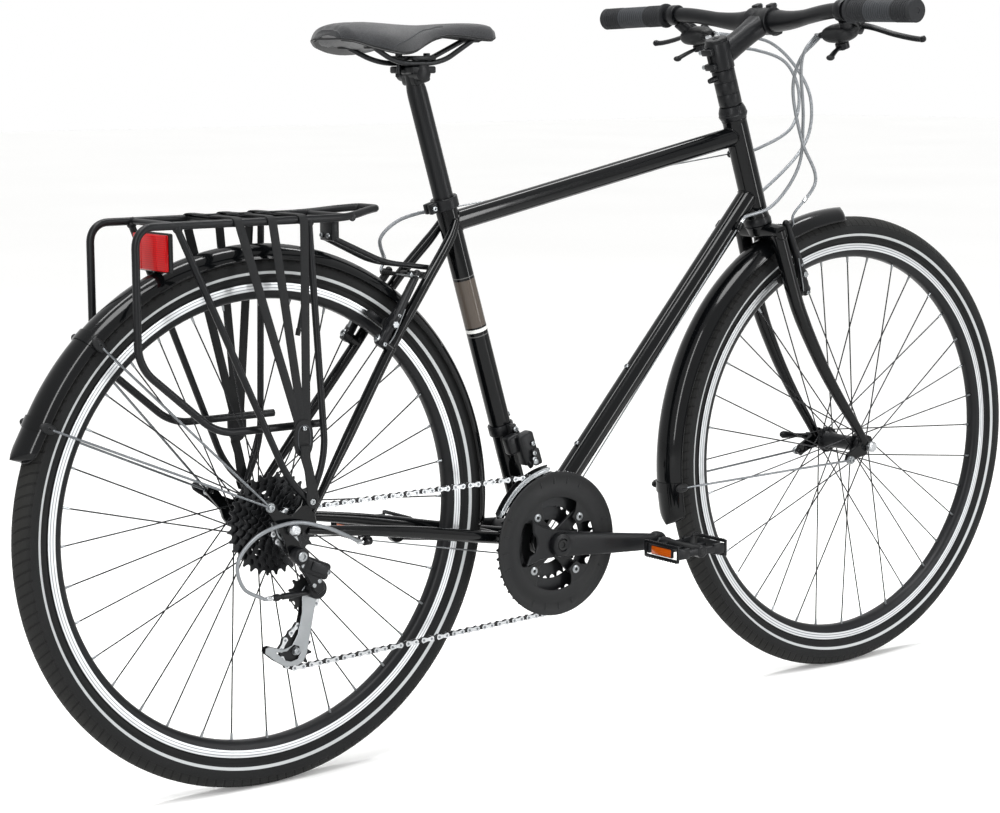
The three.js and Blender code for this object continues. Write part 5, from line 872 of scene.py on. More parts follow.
def saddle_detail(
        finish: Finish, graph: Graph, colour: bpy.types.NodeSocket, fine: bpy.types.NodeSocket
) -> bpy.types.NodeSocket:
    """Adds a pebbled skin.

    Args:
        finish: The finish.
        graph: Its tree.
        colour: Its colour so far.
        fine: Its grain.

    Returns:
        The colour.
    """
    cells = graph.add("ShaderNodeTexVoronoi", Vector=graph.place, Scale=620.0).outputs["Distance"]
    graph.bump(graph.math("ADD", cells, graph.math("MULTIPLY", fine, 0.3)), 0.35, 0.0003)
    graph.set("Sheen Weight", 0.15)
    return graph.mix(graph.ramp(cells, 0.1, 0.6, 0.25, 0.0), colour, linear("4a4b4d"))


def reflector_detail(
        finish: Finish, graph: Graph, colour: bpy.types.NodeSocket, fine: bpy.types.NodeSocket
) -> bpy.types.NodeSocket:
    """Adds the small prisms of a reflector, each painted darker towards its edges as painted shade.

    Args:
        finish: The finish.
        graph: Its tree.
        colour: Its colour so far.
        fine: Its grain.

    Returns:
        The colour.
    """
    cells = graph.add(
        "ShaderNodeTexVoronoi", {"distance": "CHEBYCHEV"}, Vector=graph.place, Scale=380.0, Randomness=0.0
    ).outputs["Distance"]
    graph.bump(cells, 0.3, 0.0006)
    # Painted shade: each prism keeps the lens colour in its middle and blends to the darker second colour at
    # its edges
    return graph.mix(graph.ramp(cells, 0.1, 0.5), colour, linear(finish.second))


def metal_detail(
        finish: Finish, graph: Graph, colour: bpy.types.NodeSocket, fine: bpy.types.NodeSocket
) -> bpy.types.NodeSocket:
    """Adds fine scratches and darker hollows to metal.

    Args:
        finish: The finish.
        graph: Its tree.
        colour: Its colour so far.
        fine: Its grain; not used.

    Returns:
        The colour.
    """
    stretched = graph.add("ShaderNodeMapping", Vector=graph.place, Scale=(1.0, 6.0, 1.0)).outputs[0]
    graph.bump(graph.noise(2000 / finish.grain, 2.0, stretched), finish.relief, 0.0001)
    return colour


DETAILS: dict[Kind, Callable] = {
    Kind.TYRE: tyre_detail, Kind.RIM: rim_detail, Kind.FRAME: frame_detail, Kind.SADDLE: saddle_detail,
    Kind.REFLECTOR: reflector_detail, Kind.METAL: metal_detail,
}
PANEL = (0.3505, 0.0335, 0.3118)

# Real grain finer than 0.7 mm wouldn't show at this distance, so it is drawn at 0.7 mm or coarser
# Enamel over steel: deep black with long sharp highlights and a faint orange peel
GLOSS = Finish("enamelled_steel_tube", "gloss_black_paint", Kind.FRAME, "050607", "0a0b0d", 0.13, coat=0.18)
# Painted sheet: the same black, smoother, so that its highlights run unbroken along the curve
FENDER = Finish(
    "painted_aluminium_sheet", "gloss_black_paint", Kind.PAINT, "060708", "0c0d0f", 0.13, relief=0.02,
    coat=0.18)
# Bead-blasted and anodised: soft broad highlights, slightly paler than paint
SATIN = Finish(
    "anodised_aluminium", "satin_black_alloy", Kind.METAL, "0d0e10", "151618", 0.36, 0.2, 1.4, 0.12)
# Fine-textured nylon: dull, with no clear highlight
MATTE = Finish(
    "moulded_nylon", "matte_black_plastic", Kind.PLASTIC, "0e0f10", "161719", 0.5, grain=0.7, relief=0.2)
# Dense rubber: the dullest black
RUBBER = Finish(
    "soft_moulded_rubber", "grip_rubber", Kind.RUBBER, "101112", "18191a", 0.75, grain=1.1, relief=0.25)
# Soft grip compound: charcoal, with a dry dusty look
GRIP = Finish("grip_compound", "grip_rubber", Kind.RUBBER, "1d1e20", "2a2b2d", 0.72, grain=0.8, relief=0.3)
# The grip's inlay: a little paler, so that the ribs read apart
GRIP_PALE = Finish(
    "grip_compound_inlay", "grip_rubber", Kind.RUBBER, "303235", "3c3e41", 0.66, grain=0.8, relief=0.3)
# Buffed aluminium: the brightest metal, with crisp reflections
SILVER = Finish("polished_aluminium", "silver_metal", Kind.METAL, "b4b6b8", "909396", 0.26, 1.0, 1.7, 0.1)
# Zinc-plated fasteners and plates: greyer and blurrier than aluminium
STEEL = Finish("zinc_plated_steel", "silver_metal", Kind.METAL, "8d9092", "636669", 0.32, 1.0, 1.7, 0.15)
# Phosphated steel: nearly black, with a greasy metal sheen
DARK = Finish("blackened_steel", "dark_steel", Kind.METAL, "121315", "202224", 0.36, 0.6, 2.0, 0.15)
# Drawn wire: mid grey with a thin bright line
WIRE = Finish("bright_steel_wire", "dark_steel", Kind.METAL, "6f7275", "4f5255", 0.3, 1.0, 1.7, 0.1)
# Blacked stainless spokes: dark lines that still catch the light
SPOKE = Finish(
    "black_stainless_wire", "satin_black_alloy", Kind.METAL, "141517", "222326", 0.3, 0.7, 2.0, 0.05)
# Ribbed casing: metallic grey plastic skin
SHEATH = Finish("lined_cable_casing", "cable_sheath", Kind.PLASTIC, "7c7f82", "606367", 0.3, 0.35, 1.7, 0.08)
# Pebbled synthetic leather: charcoal with a soft sheen at its edges
SADDLE = Finish("synthetic_saddle_leather", "saddle_skin", Kind.SADDLE, "1a1b1d", "242528", 0.56)
# Stretch strap: dull, flat black
STRAP = Finish(
    "stretch_rubber_strap", "strap_rubber", Kind.RUBBER, "0c0d0e", "141517", 0.6, grain=1.4, relief=0.25)
# Red lens: saturated, below a glossy face; its prisms are painted darker at their edges, which is painted
# shade, so that their middles look bright
RED = Finish("red_acrylic_lens", "red_reflector", Kind.REFLECTOR, "d0040c", "8f0408", 0.2, coat=0.15)
# Amber lens: the same, orange
AMBER = Finish("amber_acrylic_lens", "red_reflector", Kind.REFLECTOR, "d9600c", "8f3c05", 0.15, coat=0.6)


def arc(radius: float, start: float, end: float, steps: int, at: Pair = (0.0, 0.0)) -> list[Pair]:
    """Gives points along an arc.

    Args:
        radius: Its radius.
        start: Angle in degrees at its start.
        end: Angle in degrees at its end.
        steps: Number of steps.
        at: Its centre.

    Returns:
        The points.
    """
    return [polar(at[0], at[1], radius, start + (end - start) * i / steps) for i in range(steps + 1)]


def disc(x: float, z: float, radius: float, sides: int = 24) -> list[Pair]:
    """Gives the corners of a circle in the XZ plane.

    Args:
        x: Centre x.
        z: Centre z.
        radius: Circle radius.
        sides: Number of corners.

    Returns:
        The corners.
    """
    return [polar(x, z, radius, 360 * i / sides) for i in range(sides)]


@dataclass(frozen=True)
class Wheel:
    """A spoked wheel with its tyre and quick release."""

    end: str
    x: float
    left_flange: float
    right_flange: float
    flange_radius: float
    half_hub: float
    dropout: float
    lever_angle: float
    shell: tuple[Pair, ...]
    valve: float

    def tyre(self) -> None:
        """Makes the tyre."""
        shape = Shape(f"{self.end}_tyre_casing")
        rubber = Finish(
            f"{self.end}_tyre_rubber", "tyre_rubber", Kind.TYRE, "0d0e0f", "151617", 0.74, grain=0.7,
            centre=(self.x, AXLE_Z))
        outer = arc(18.7, -145, 145, 30, (330.3, 0))
        inner = arc(15.4, 138, -138, 20, (330.3, 0))
        bead = [(310.5, 10.9), (309.4, 10.15), (305.5, 9.7), (305.3, 7.6), (309.5, 7.2)]
        profile = outer + bead + inner + [(r, -y) for r, y in reversed(bead)]
        shape.lathe(profile, rubber, (self.x, 0, AXLE_Z), segments=144)
        shape.build(f"{self.end}_wheel", f"{self.end}_tyre", smooth=50)

    def rim(self) -> None:
        """Makes the rim with its valve."""
        shape = Shape(f"{self.end}_rim_extrusion")
        black = Finish(
            f"{self.end}_rim_black", "satin_black_alloy", Kind.RIM, "0e0f11", "17181a", 0.35,
            centre=(self.x, AXLE_Z))
        side = [
            (308.6, 11.8), (297.6, 11.8), (296.6, 11.4), (293.6, 10.6), (290.4, 8.8), (288.2, 6.4),
            (287.1, 3.4)]
        well = [(308.8, 10.6), (304.0, 10.2), (300.5, 7.6), (297.5, 5.0)]
        profile = side + [
            (r, -y) for r, y in reversed(side)] + [(r, -y) for r, y in well] + list(reversed(well))
        shape.lathe(profile, black, (self.x, 0, AXLE_Z), segments=144)
        for radius, size, length, finish in (
                (289, 3.0, 40.0, DARK), (287, 4.6, 3.0, STEEL), (252, 3.5, 9.0, MATTE)):
            a, b = polar(self.x, AXLE_Z, radius, self.valve), polar(
                self.x, AXLE_Z, radius - length, self.valve)
            shape.rod((a[0], 0, a[1]), (b[0], 0, b[1]), size, finish, 12, size * 0.9)
        shape.build(f"{self.end}_wheel", f"{self.end}_rim")

    def spoke(self, shape: Shape, side: int, index: int) -> None:
        """Adds one spoke, its head and its nipple.

        Args:
            shape: Shape that gets them.
            side: 1 for the left flange and -1 for the right.
            index: Its number on that flange.
        """
        lead = 1 if index % 2 == 0 else -1
        angle = index * 20 + (10 if side < 0 else 0)
        flange = self.left_flange if side > 0 else self.right_flange
        hole = polar(self.x, AXLE_Z, self.flange_radius - 2.6, angle)
        start = (hole[0], flange + lead * 2.3, hole[1])
        far = polar(self.x, AXLE_Z, 287.3, angle + lead * 60)
        end = (far[0], side * 3.0, far[1])
        shape.rod(start, end, 1.0, SPOKE, 8)
        shape.rod(lerp(start, end, 1 - 8.5 / 270), end, 1.5, STEEL, 8, 1.9)
        shape.rod(
            (hole[0], flange - lead * 2.8, hole[1]), (hole[0], flange + lead * 3.2, hole[1]), 1.0, SPOKE, 8)
        shape.rod(
            (hole[0], flange - lead * 1.6, hole[1]), (hole[0], flange - lead * 2.9, hole[1]), 1.9, SPOKE, 10
        )

    def hub(self) -> None:
        """Makes the hub and its spokes."""
        shape = Shape(f"{self.end}_hub_and_spokes")
        shape.turned(self.shell, SATIN, (self.x, 0, AXLE_Z))
        for side in (1, -1):
            for index in range(18):
                self.spoke(shape, side, index)
            face = side * self.half_hub
            shape.lathe(
                [
                    (4.9, face), (8.2, face), (8.4, face - side * 0.6), (8.4, face - side * 5),
                    (4.9, face - side * 5)], DARK, (self.x, 0, AXLE_Z), segments=6)
        shape.build(f"{self.end}_wheel", f"{self.end}_hub")

    def skewer(self) -> None:
        """Makes the quick release: skewer, nut, cam body and lever."""
        centre = (self.x, 0, AXLE_Z)
        face = self.dropout + 0.35
        rod = Shape(f"{self.end}_quick_release_skewer")
        rod.turned([(2.4, -face - 9), (2.4, face + 4)], STEEL, centre, segments=12)
        rod.turned(
            [
                (5.0, -face), (8.0, -face - 0.6), (8.0, -face - 7.5), (7.2, -face - 9.2), (5.2, -face - 11),
                (2.8, -face - 11)], SILVER, centre, segments=24)
        for k in range(12):
            x, z = polar(self.x, AXLE_Z, 7.7, 30 * k)
            rod.rod((x, -face - 1, z), (x, -face - 7.2, z), 0.55, SILVER, 6)
        rod.turned(
            [
                (5.5, face), (7.5, face + 0.7), (7.5, face + 4), (6.6, face + 6), (6.6, face + 11.6),
                (5.4, face + 12)], SATIN, centre)
        rod.build(f"{self.end}_wheel", f"{self.end}_skewer")
        lever = Shape(f"{self.end}_quick_release_blade")
        y = face + 12 + 0.35 + 6
        along = polar(0, 0, 1, self.lever_angle)
        across = (-along[1], 0, along[0])

        def at(run: float, out: float) -> Triple:
            """Gives a point by its run along the lever and its distance outwards."""
            return (self.x + along[0] * run, y + out, AXLE_Z + along[1] * run)

        path = smooth_path([at(1, 0), at(14, 1.0), at(30, 0.6), at(46, -0.6), at(63.4, -0.2)], 22)
        widths = [
            5.2 - 1.7 * math.sin(math.pi * min(i / 17, 1)) + 0.9 * max(i / 22 - 0.7, 0) * 3
            for i in range(23)]
        widths[-1], widths[-2] = 2.6, 4.6
        lever.sweep(path, widths, SATIN, 20, flat=0.44, upright=across)
        a = (self.x - across[0] * 6, y, AXLE_Z - across[2] * 6)
        lever.turned([(4.6, 0), (5.9, 0.8), (5.9, 11.2), (4.6, 12)], SATIN, a, across)
        lever.build(f"{self.end}_quick_release", f"{self.end}_quick_release_lever")

    def build(self) -> None:
        """Makes the whole wheel."""
        self.tyre()
        self.rim()
        self.hub()
        self.skewer()


FRONT_SHELL: tuple[Pair, ...] = (
    (4.8, -55.3), (4.8, -50), (8.0, -50), (8.2, -44.5), (12.8, -43.5), (14.6, -41.0), (15.0, -36.0),
    (19.4, -35.7), (20, -35.2), (20, -32.8), (19.4, -32.3), (15.2, -32.0), (13.2, -27), (11.4, -18),
    (11, -8), (11, 8), (11.4, 18), (13.2, 27), (15.2, 32.0), (19.4, 32.3), (20, 32.8), (20, 35.2),
    (19.4, 35.7), (15.0, 36.0), (14.6, 41.0), (12.8, 43.5), (8.2, 44.5), (8.0, 50), (4.8, 50), (4.8, 55.3))
REAR_SHELL: tuple[Pair, ...] = (
    (4.8, -73.3), (4.8, -67.5), (8.2, -67.5), (8.2, -63.0), (15, -62.8), (15, -27), (16.5, -25.5),
    (17, -22.0), (23.4, -21.7), (24, -21.2), (24, -18.8), (23.4, -18.3), (17, -18.0), (13.5, -12),
    (11.4, -3), (11, 6), (11.4, 20), (13.4, 28), (17, 31.9), (23.4, 32.3), (24, 32.8), (24, 35.2),
    (23.4, 35.7), (17, 36.1), (15.6, 42), (12, 49), (8.6, 53.5), (8.2, 67.5), (4.8, 67.5), (4.8, 73.3))


def weld(
        shape: Shape, start: Triple, end: Triple, radius: float, point: Triple, axis: Triple, other: float,
        finish: Finish, bead: float = 1.5) -> None:
    """Adds the weld bead where one tube meets another.

    Args:
        shape: Shape that gets it.
        start: Point on the joining tube's axis, outside of the other tube.
        end: Point on its axis, inside the other tube.
        radius: Radius of the joining tube.
        point: Point on the other tube's axis.
        axis: Direction of the other tube.
        other: Radius of the other tube.
        finish: The finish.
        bead: Radius of the bead.
    """
    run = (Vector(end) - Vector(start)).normalized()
    along = Vector(axis).normalized()
    side = run.orthogonal().normalized()
    up = run.cross(side)
    ring = []
    for k in range(48):
        a = 2 * math.pi * k / 48
        origin = Vector(start) + side * radius * math.cos(a) + up * radius * math.sin(a)
        gap = origin - Vector(point)
        p = gap - along * gap.dot(along)
        q = run - along * run.dot(along)
        qa, qb, qc = q.dot(q), 2 * p.dot(q), p.dot(p) - other ** 2
        root = qb * qb - 4 * qa * qc
        t = (-qb - math.sqrt(root)) / (2 * qa) if root > 0 else -qb / (2 * qa)
        ring.append(tuple(origin + run * t))
    shape.sweep(
        ring, [bead * (1 + 0.06 * math.sin(k * math.pi * 0.5)) for k in range(48)], finish, 8, closed=True,
        upright=tuple(run))


@dataclass(frozen=True)
class Frame:
    """The welded frame with its dropouts, stops and bosses."""

    bottom: Triple = (BRACKET[0], 0, BRACKET[1])

    def main_tubes(self, shape: Shape) -> None:
        """Adds the main tubes and their welds.

        Args:
            shape: Shape that gets them.
        """
        down_head = steer(0, 0, 38)
        top_head = steer(0, 0, 127)
        top_seat = seat_tube(464.1)
        head = (steer(0, 0, 0), (UP[0], 0, UP[1]))
        seat = (self.bottom, tuple(Vector(seat_tube(100)) - Vector(self.bottom)))
        shape.lathe(
            [
                (15.3, 0), (18.6, 0), (18.8, 1.2), (18.2, 2.6), (18, 6), (18, 146), (18.2, 149.4),
                (18.8, 150.8), (18.6, 152), (15.3, 152)], GLOSS, head[0], head[1], 48)
        shape.rod(self.bottom, lerp(self.bottom, down_head, 0.992), 15.9, GLOSS, 40)
        shape.rod(top_seat, lerp(top_seat, top_head, 0.985), 14.3, GLOSS, 40)
        shape.lathe(
            [(13.75, 330), (14.9, 330), (14.9, 499.2), (14.6, 500), (13.75, 500)], GLOSS, self.bottom,
            seat[1], 40)
        shape.rod(self.bottom, seat_tube(331), 14.9, GLOSS, 40)
        shape.lathe(
            [(17.6, -34), (19.6, -34), (20, -33.4), (20, 33.4), (19.6, 34), (17.6, 34)], GLOSS, self.bottom,
            (0, 1, 0), 40)
        weld(shape, lerp(self.bottom, down_head, 0.8), down_head, 15.9, *head, 18.0, GLOSS)
        weld(shape, lerp(top_seat, top_head, 0.8), top_head, 14.3, *head, 18.0, GLOSS)
        weld(shape, lerp(top_seat, top_head, 0.2), top_seat, 14.3, *seat, 14.9, GLOSS)
        weld(shape, lerp(self.bottom, down_head, 0.3), self.bottom, 15.9, self.bottom, (0, 1, 0), 20.0, GLOSS)
        weld(shape, seat_tube(120), self.bottom, 14.9, self.bottom, (0, 1, 0), 20.0, GLOSS)

    def stays(self, shape: Shape, side: int) -> None:
        """Adds one chain stay and one seat stay.

        Args:
            shape: Shape that gets them.
            side: 1 for left and -1 for right.
        """
        chain = smooth_path(
            [
                (24, side * 70.85, 345), (176, side * 61.2, 322.5), (352, side * 35.5, 288.9),
                (423.7, side * 22, 277)], 36)
        shape.sweep(chain, [5.6 + 3.0 * min(i / 18, 1) for i in range(37)], GLOSS, 24)
        top = seat_tube(460)
        seat = smooth_path(
            [
                (32, side * 70.85, 367), (104, side * 55.4, 465), (176, side * 40, 563),
                (236, side * 34.5, 643), (top[0] - 14, side * 21, top[2] - 12),
                (top[0] - 3, side * 15.6, top[2] + 5)], 40)
        shape.sweep(
            seat, [4.6 + 2.6 * min(i / 10, 1) - 1.4 * max(i - 37, 0) / 3 for i in range(41)], GLOSS, 24)
        shape.ball((top[0] - 3, side * 15.6, top[2] + 5), (5.8, 5.8, 5.8), GLOSS, segments=18)
        boss = (176, side * 40, 563)
        shape.sweep([boss, (176 - 9.6, side * 40, 563 + 7.2)], [7.6, 7.0], GLOSS, 20)
        shape.sweep([(176 - 9.6, side * 40, 570.2), (176 - 19.6, side * 40, 577.7)], [4.0, 3.8], STEEL, 16)

    def dropout(self, shape: Shape, side: int) -> None:
        """Adds one rear dropout with its eyelets.

        Args:
            shape: Shape that gets it.
            side: 1 for left and -1 for right.
        """
        low, high = sorted((side * REAR_FACE, side * REAR_OUTER))
        outline = [
            (-42, 32), (-40, 37), (-34, 40), (-27, 37.5), (-18, 25), (0, 17.5), (14, 29), (16, 36),
            (22, 42), (29, 40), (32, 34), (34, 20), (37, 4), (30, -8)]
        tail = [(14, -19), (13, -22)] if side > 0 else [
            (19, -20), (15, -36), (10, -42), (2, -42), (-4, -36), (-9, -22)]
        notch = [(polar(0, 0, 5.15, a)) for a in (45, 90, 135, 180, 225)]
        run = (math.cos(math.radians(-45)), math.sin(math.radians(-45)))
        left = (run[0] * 17 + 3.64, run[1] * 17 + 3.64)
        right = (run[0] * 21 - 3.64, run[1] * 21 - 3.64)
        body = outline[:-1] + [(left[0] + 9, left[1] + 8), left] + notch + [right] + (
            [(2, -19)] if side > 0 else tail[1:]) + [(-10, -15), (-17, -5), (-20, 6)]
        plate = [(x, z + AXLE_Z) for x, z in body]
        holes = [disc(24, AXLE_Z + 34, 3.0, 16), disc(-34, AXLE_Z + 32, 2.6, 16)] + (
            [disc(6, AXLE_Z - 34, 4.5, 16)] if side < 0 else [])
        shape.plate(plate, low, high, GLOSS, holes, bevel=0.7)

    def fittings(self, shape: Shape) -> None:
        """Adds bridges, cable stops and bottle bosses.

        Args:
            shape: Shape that gets them.
        """
        shape.rod((369.6, -35, 286.5), (369.6, 35, 286.5), 5, GLOSS, 20)
        shape.rod((243.8, -34, 653.4), (243.8, 34, 653.4), 5, GLOSS, 20)
        down = (Vector(steer(0, 0, 38)) - Vector(self.bottom)).normalized()
        for side in (1, -1):
            foot = Vector(self.bottom) + down * 556 + Vector((0, side * 20.5, 0))
            shape.turned(
                [(3.4, 0), (5.0, 0.6), (5.5, 1.6), (5.5, 10.8), (5.0, 12), (3.0, 12)], GLOSS, tuple(foot),
                tuple(down), 20)
            mid = foot + down * 6
            shape.rod((mid.x, side * 14, mid.z), tuple(mid), 4.2, GLOSS, 12)
        stop = (826.6, 22, 798.0)
        shape.turned(
            [(3.4, 0), (5.2, 0.6), (5.5, 1.6), (5.5, 10.8), (5.0, 12), (3.0, 12)], GLOSS, stop, (1, 0, 0),
            20)
        shape.rod((832.6, 14, 798), (832.6, 21, 798), 4.2, GLOSS, 12)
        shape.turned(
            [(3.4, 0), (5.2, 0.6), (5.5, 1.6), (5.5, 10.8), (5.0, 12), (3.0, 12)], GLOSS, (115, -62, 317),
            (1, 0, 0), 20)
        shape.rod((121, -62, 328), (121, -62, 319), 4.2, GLOSS, 12)
        out = Vector((-down.z, 0, down.x))
        for share in (0.24, 0.46):
            foot = Vector(lerp(self.bottom, steer(0, 0, 38), share)) + out * 15.5
            shape.turned([(5.0, 0), (4.6, 1.4), (4.4, 1.6)], GLOSS, tuple(foot), tuple(out), 20)
            shape.bolt(tuple(foot + out * 1.4), tuple(out), 3.6, 2.8, STEEL)
        foot, tip = Vector(seat_tube(180, 0, 14.4)), Vector(seat_tube(180, 0, 16))
        shape.turned([(5.0, 0), (4.6, 1.8)], GLOSS, tuple(foot), tuple(tip - foot), 20)
        shape.bolt(tuple(Vector(seat_tube(180, 0, 16))), tuple(tip - foot), 3.6, 2.8, STEEL)

    def build(self) -> None:
        """Makes the frame."""
        shape = Shape("welded_frame")
        self.main_tubes(shape)
        for side in (1, -1):
            self.stays(shape, side)
            self.dropout(shape, side)
        self.fittings(shape)
        shape.build("frame_body", "main_frame")


def headset() -> None:
    """Makes the two headset cups and the seat clamp."""
    lower = Shape("headset_lower_cup")
    axis = (UP[0], 0, UP[1])
    lower.lathe(
        [(15.4, -11), (19.6, -11), (20.3, -10.2), (20.5, -5.6), (19.4, -3.0), (18.7, -0.35), (15.4, -0.35)],
        SATIN, steer(0, 0, 0), axis)
    lower.build("frame_body", "lower_headset_cup")
    upper = Shape("headset_upper_cup")
    upper.lathe(
        [
            (15.4, 152.35), (18.7, 152.35), (21.2, 157.5), (21.5, 159.5), (20.6, 160.6), (20.8, 161.4),
            (20.2, 165.5), (17.4, 172.6), (15.4, 173)], SATIN, steer(0, 0, 0), axis)
    upper.build("frame_body", "upper_headset_cup")
    clamp = Shape("seat_clamp_collar")
    run = tuple(Vector(seat_tube(1)) - Vector(seat_tube(0)))
    clamp.lathe(
        [
            (15.3, 0.4), (15.7, 0), (18.0, 0), (18.6, 0.7), (18.6, 14.3), (18.0, 15), (15.7, 15),
            (15.3, 14.6)], SATIN, seat_tube(484.65), run)
    turn = Matrix.Rotation(SEAT_ANGLE - math.pi / 2, 3, "Y")
    for side in (1, -1):
        clamp.box(seat_tube(492.15, side * 5.1, -23.6), (13, 6.8, 14.2), SATIN, turn, 1.6)
        clamp.bolt(seat_tube(492.15, side * 8.4, -24.4), (0, side, 0), 3.4, 3.2, STEEL)
    clamp.rod(seat_tube(492.15, -8, -24.4), seat_tube(492.15, 8, -24.4), 2.4, STEEL, 12)
    clamp.build("frame_body", "seat_clamp")


@dataclass(frozen=True)
class Seat:
    """Seatpost, clamp and saddle."""

    rear: float = 111.0
    length: float = 263.0
    half: float = 77.0
    rail_x: float = 244.0
    places: tuple[float, ...] = (0, 0.03, 0.09, 0.17, 0.26, 0.36, 0.46, 0.56, 0.66, 0.76, 0.85, 0.92, 0.97, 1)
    widths: tuple[float, ...] = (
        0.42, 0.68, 0.89, 1, 0.97, 0.82, 0.61, 0.43, 0.325, 0.27, 0.245, 0.23, 0.195, 0.11)
    tops: tuple[float, ...] = (
        975, 980.5, 984, 985, 984, 982.5, 981.5, 982, 983.5, 984.5, 984.5, 983.5, 981, 976)
    lows: tuple[float, ...] = (962, 960, 953, 947.5, 944.5, 947, 955, 963, 967, 966.5, 964, 962.5, 962.5, 965)

    def at(self, table: Sequence[float], place: float) -> float:
        """Reads a table of shares at a place along the saddle.

        Args:
            table: The table.
            place: Share of the length.

        Returns:
            The share there.
        """
        k = 0
        while k < len(self.places) - 2 and self.places[k + 1] < place:
            k += 1
        t = (place - self.places[k]) / (self.places[k + 1] - self.places[k])
        before = table[max(k - 1, 0)]
        after = table[min(k + 2, len(table) - 1)]
        a, b = table[k], table[k + 1]
        m1, m2 = (b - before) / 2, (after - a) / 2
        return (2 * t ** 3 - 3 * t ** 2 + 1) * a + (
            t ** 3 - 2 * t ** 2 + t) * m1 + (3 * t ** 2 - 2 * t ** 3) * b + (t ** 3 - t ** 2) * m2

    def ring(self, place: float, steps: int = 20) -> list[Triple]:
        """Gives one section of the cover.

        Args:
            place: Share of the length.
            steps: Steps on each side.

        Returns:
            Its points.
        """
        half, top, low = max(self.at(self.widths, place), 0.06) * self.half, self.at(
            self.tops, place), self.at(self.lows, place)
        x = self.rear + place * self.length
        points = []
        groove = 2.4 * math.exp(-((place - 0.34) / 0.26) ** 2)
        for k in range(-steps, steps + 1):
            share = math.sin(math.pi / 2 * k / steps)
            lift = (1 - abs(share) ** 3.0) ** 0.58
            dip = groove * math.exp(-(share * half / 6.5) ** 2) + 1.1 * math.exp(
                -((abs(share) * half - 17) / 2.2) ** 2) * (1 if place < 0.3 else 0)
            points.append((x, half * share, low + (top - low) * lift - dip))
        return points

    def cover(self) -> None:
        """Makes the padded cover with its piping."""
        shape = Shape("saddle_padding")
        count = 46
        rings = []
        for i in range(count + 1):
            place = (1 - math.cos(math.pi * i / count)) / 2
            top = self.ring(place)
            x, low = top[0][0], top[0][2]
            rings.append(
                top
                + [
                    (x, side * top[-1][1] * share, low + lift) for side, share,
                    lift in ((1, 0.93, -0.6), (1, 0.5, 4), (1, 0, 6), (-1, 0.5, 4), (-1, 0.93, -0.6))])
        shape.loft(rings, SADDLE)
        edge = [self.ring((1 - math.cos(math.pi * i / 40)) / 2)[0] for i in range(41)]
        piping = [(x, y * 0.99, z + 1.0) for x, y, z in edge + mirror(reversed(edge))]
        shape.sweep(resample(piping + piping[:1], 160)[:-1], 1.3, MATTE, 8, closed=True, upright=(0, 0, 1))
        for side in (1, -1):
            seam = []
            for i in range(31):
                place = 0.14 + 0.5 * i / 30
                ring = self.ring(place)
                spot = ring[int(round(20 + side * (19.2 - 9.0 * math.sin(math.pi * min(i / 30, 1) * 0.5))))]
                seam.append((spot[0], spot[1], spot[2] + 0.1))
            shape.sweep(smooth_path(seam[::3], 30), 0.5, GRIP_PALE, 6)
        made = shape.build("seat", "saddle_cover", smooth=60)

    def base(self) -> None:
        """Makes the saddle's base and rails."""
        shape = Shape("saddle_base_and_rails")
        rings = []
        for i in range(41):
            place = (1 - math.cos(math.pi * i / 40)) / 2
            half, low = max(self.at(self.widths, place), 0.06) * self.half * 0.93, self.at(self.lows, place)
            across = [
                (share, 6 - 8 * share * share) for share in (-1, -0.75, -0.5, -0.25, 0, 0.25, 0.5, 0.75, 1)]
            x = self.rear + 2 + place * (self.length - 4)
            rings.append(
                [(x, half * share, low + lift) for share, lift in across]
                + [(x, half * share, low + lift + 3.4) for share, lift in reversed(across)])
        shape.loft(rings, MATTE)
        for side in (1, -1):
            rail = rounded(
                [
                    (158, side * 30.8, 954.5), (203, side * 22, 932), (274, side * 22, 932),
                    (337, side * 10, 963.5)], 22, 10)
            shape.sweep(rail, 3.5, DARK, 16)
            shape.box((157, side * 30.8, 954.5), (16, 13, 9), MATTE, bevel=2.5)
        shape.box((337, 0, 963.5), (18, 28, 9), MATTE, bevel=2.5)
        shape.build("seat", "saddle_base")

    def post(self) -> None:
        """Makes the seatpost and the saddle clamp."""
        post = Shape("seat_post")
        axis = tuple(Vector(seat_tube(1)) - Vector(seat_tube(0)))
        foot = Vector(seat_tube(318))
        length = (915.0 - foot.z) / math.sin(SEAT_ANGLE)
        post.turned(
            [
                (12.6, 0), (13.6, 0.8), (13.6, length - 26), (13.2, length - 18), (11.4, length - 6),
                (11.0, length + 4)], SATIN, tuple(foot), axis, 48)
        for y in (-17, 17):
            post.box((self.rail_x, y, 923.4), (40, 17, 9.4), SATIN, bevel=2.4, segments=3)
        post.box((self.rail_x, 0, 921.6), (32, 30, 8), SATIN, bevel=3, segments=3)
        post.turned(
            [(9, -26), (11.4, -24.5), (11.4, 24.5), (9, 26)], SATIN, (self.rail_x, 0, 919.5), (0, 1, 0), 32)
        post.box(
            (self.rail_x + 4, 0, 913), (26, 34, 16), SATIN,
            Matrix.Rotation(SEAT_ANGLE - math.pi / 2, 3, "Y"), 4, 3)
        post.build("seat", "seatpost")
        clamp = Shape("saddle_rail_clamp")
        for y in (-22, 22):
            clamp.box((self.rail_x, y, 938.6), (38, 11, 5.4), SATIN, bevel=1.8)
        clamp.box((self.rail_x, 0, 938.8), (50, 34, 5.6), SATIN, bevel=1.8)
        for side in (1, -1):
            x = self.rail_x + side * 22.35
            clamp.rod((x, 0, 915), (x, 0, 942), 3, DARK, 14)
            clamp.bolt((x, 0, 941.5), (0, 0, 1), 4.6, 3.6, DARK)
            clamp.turned([(4.8, 0), (5.2, 0.6), (5.2, 3.4), (4.8, 4)], DARK, (x, 0, 914), (0, 0, 1), 6)
        clamp.build("seat", "saddle_clamp")

    def build(self) -> None:
        """Makes the seat."""
        self.cover()
        self.base()
        self.post()


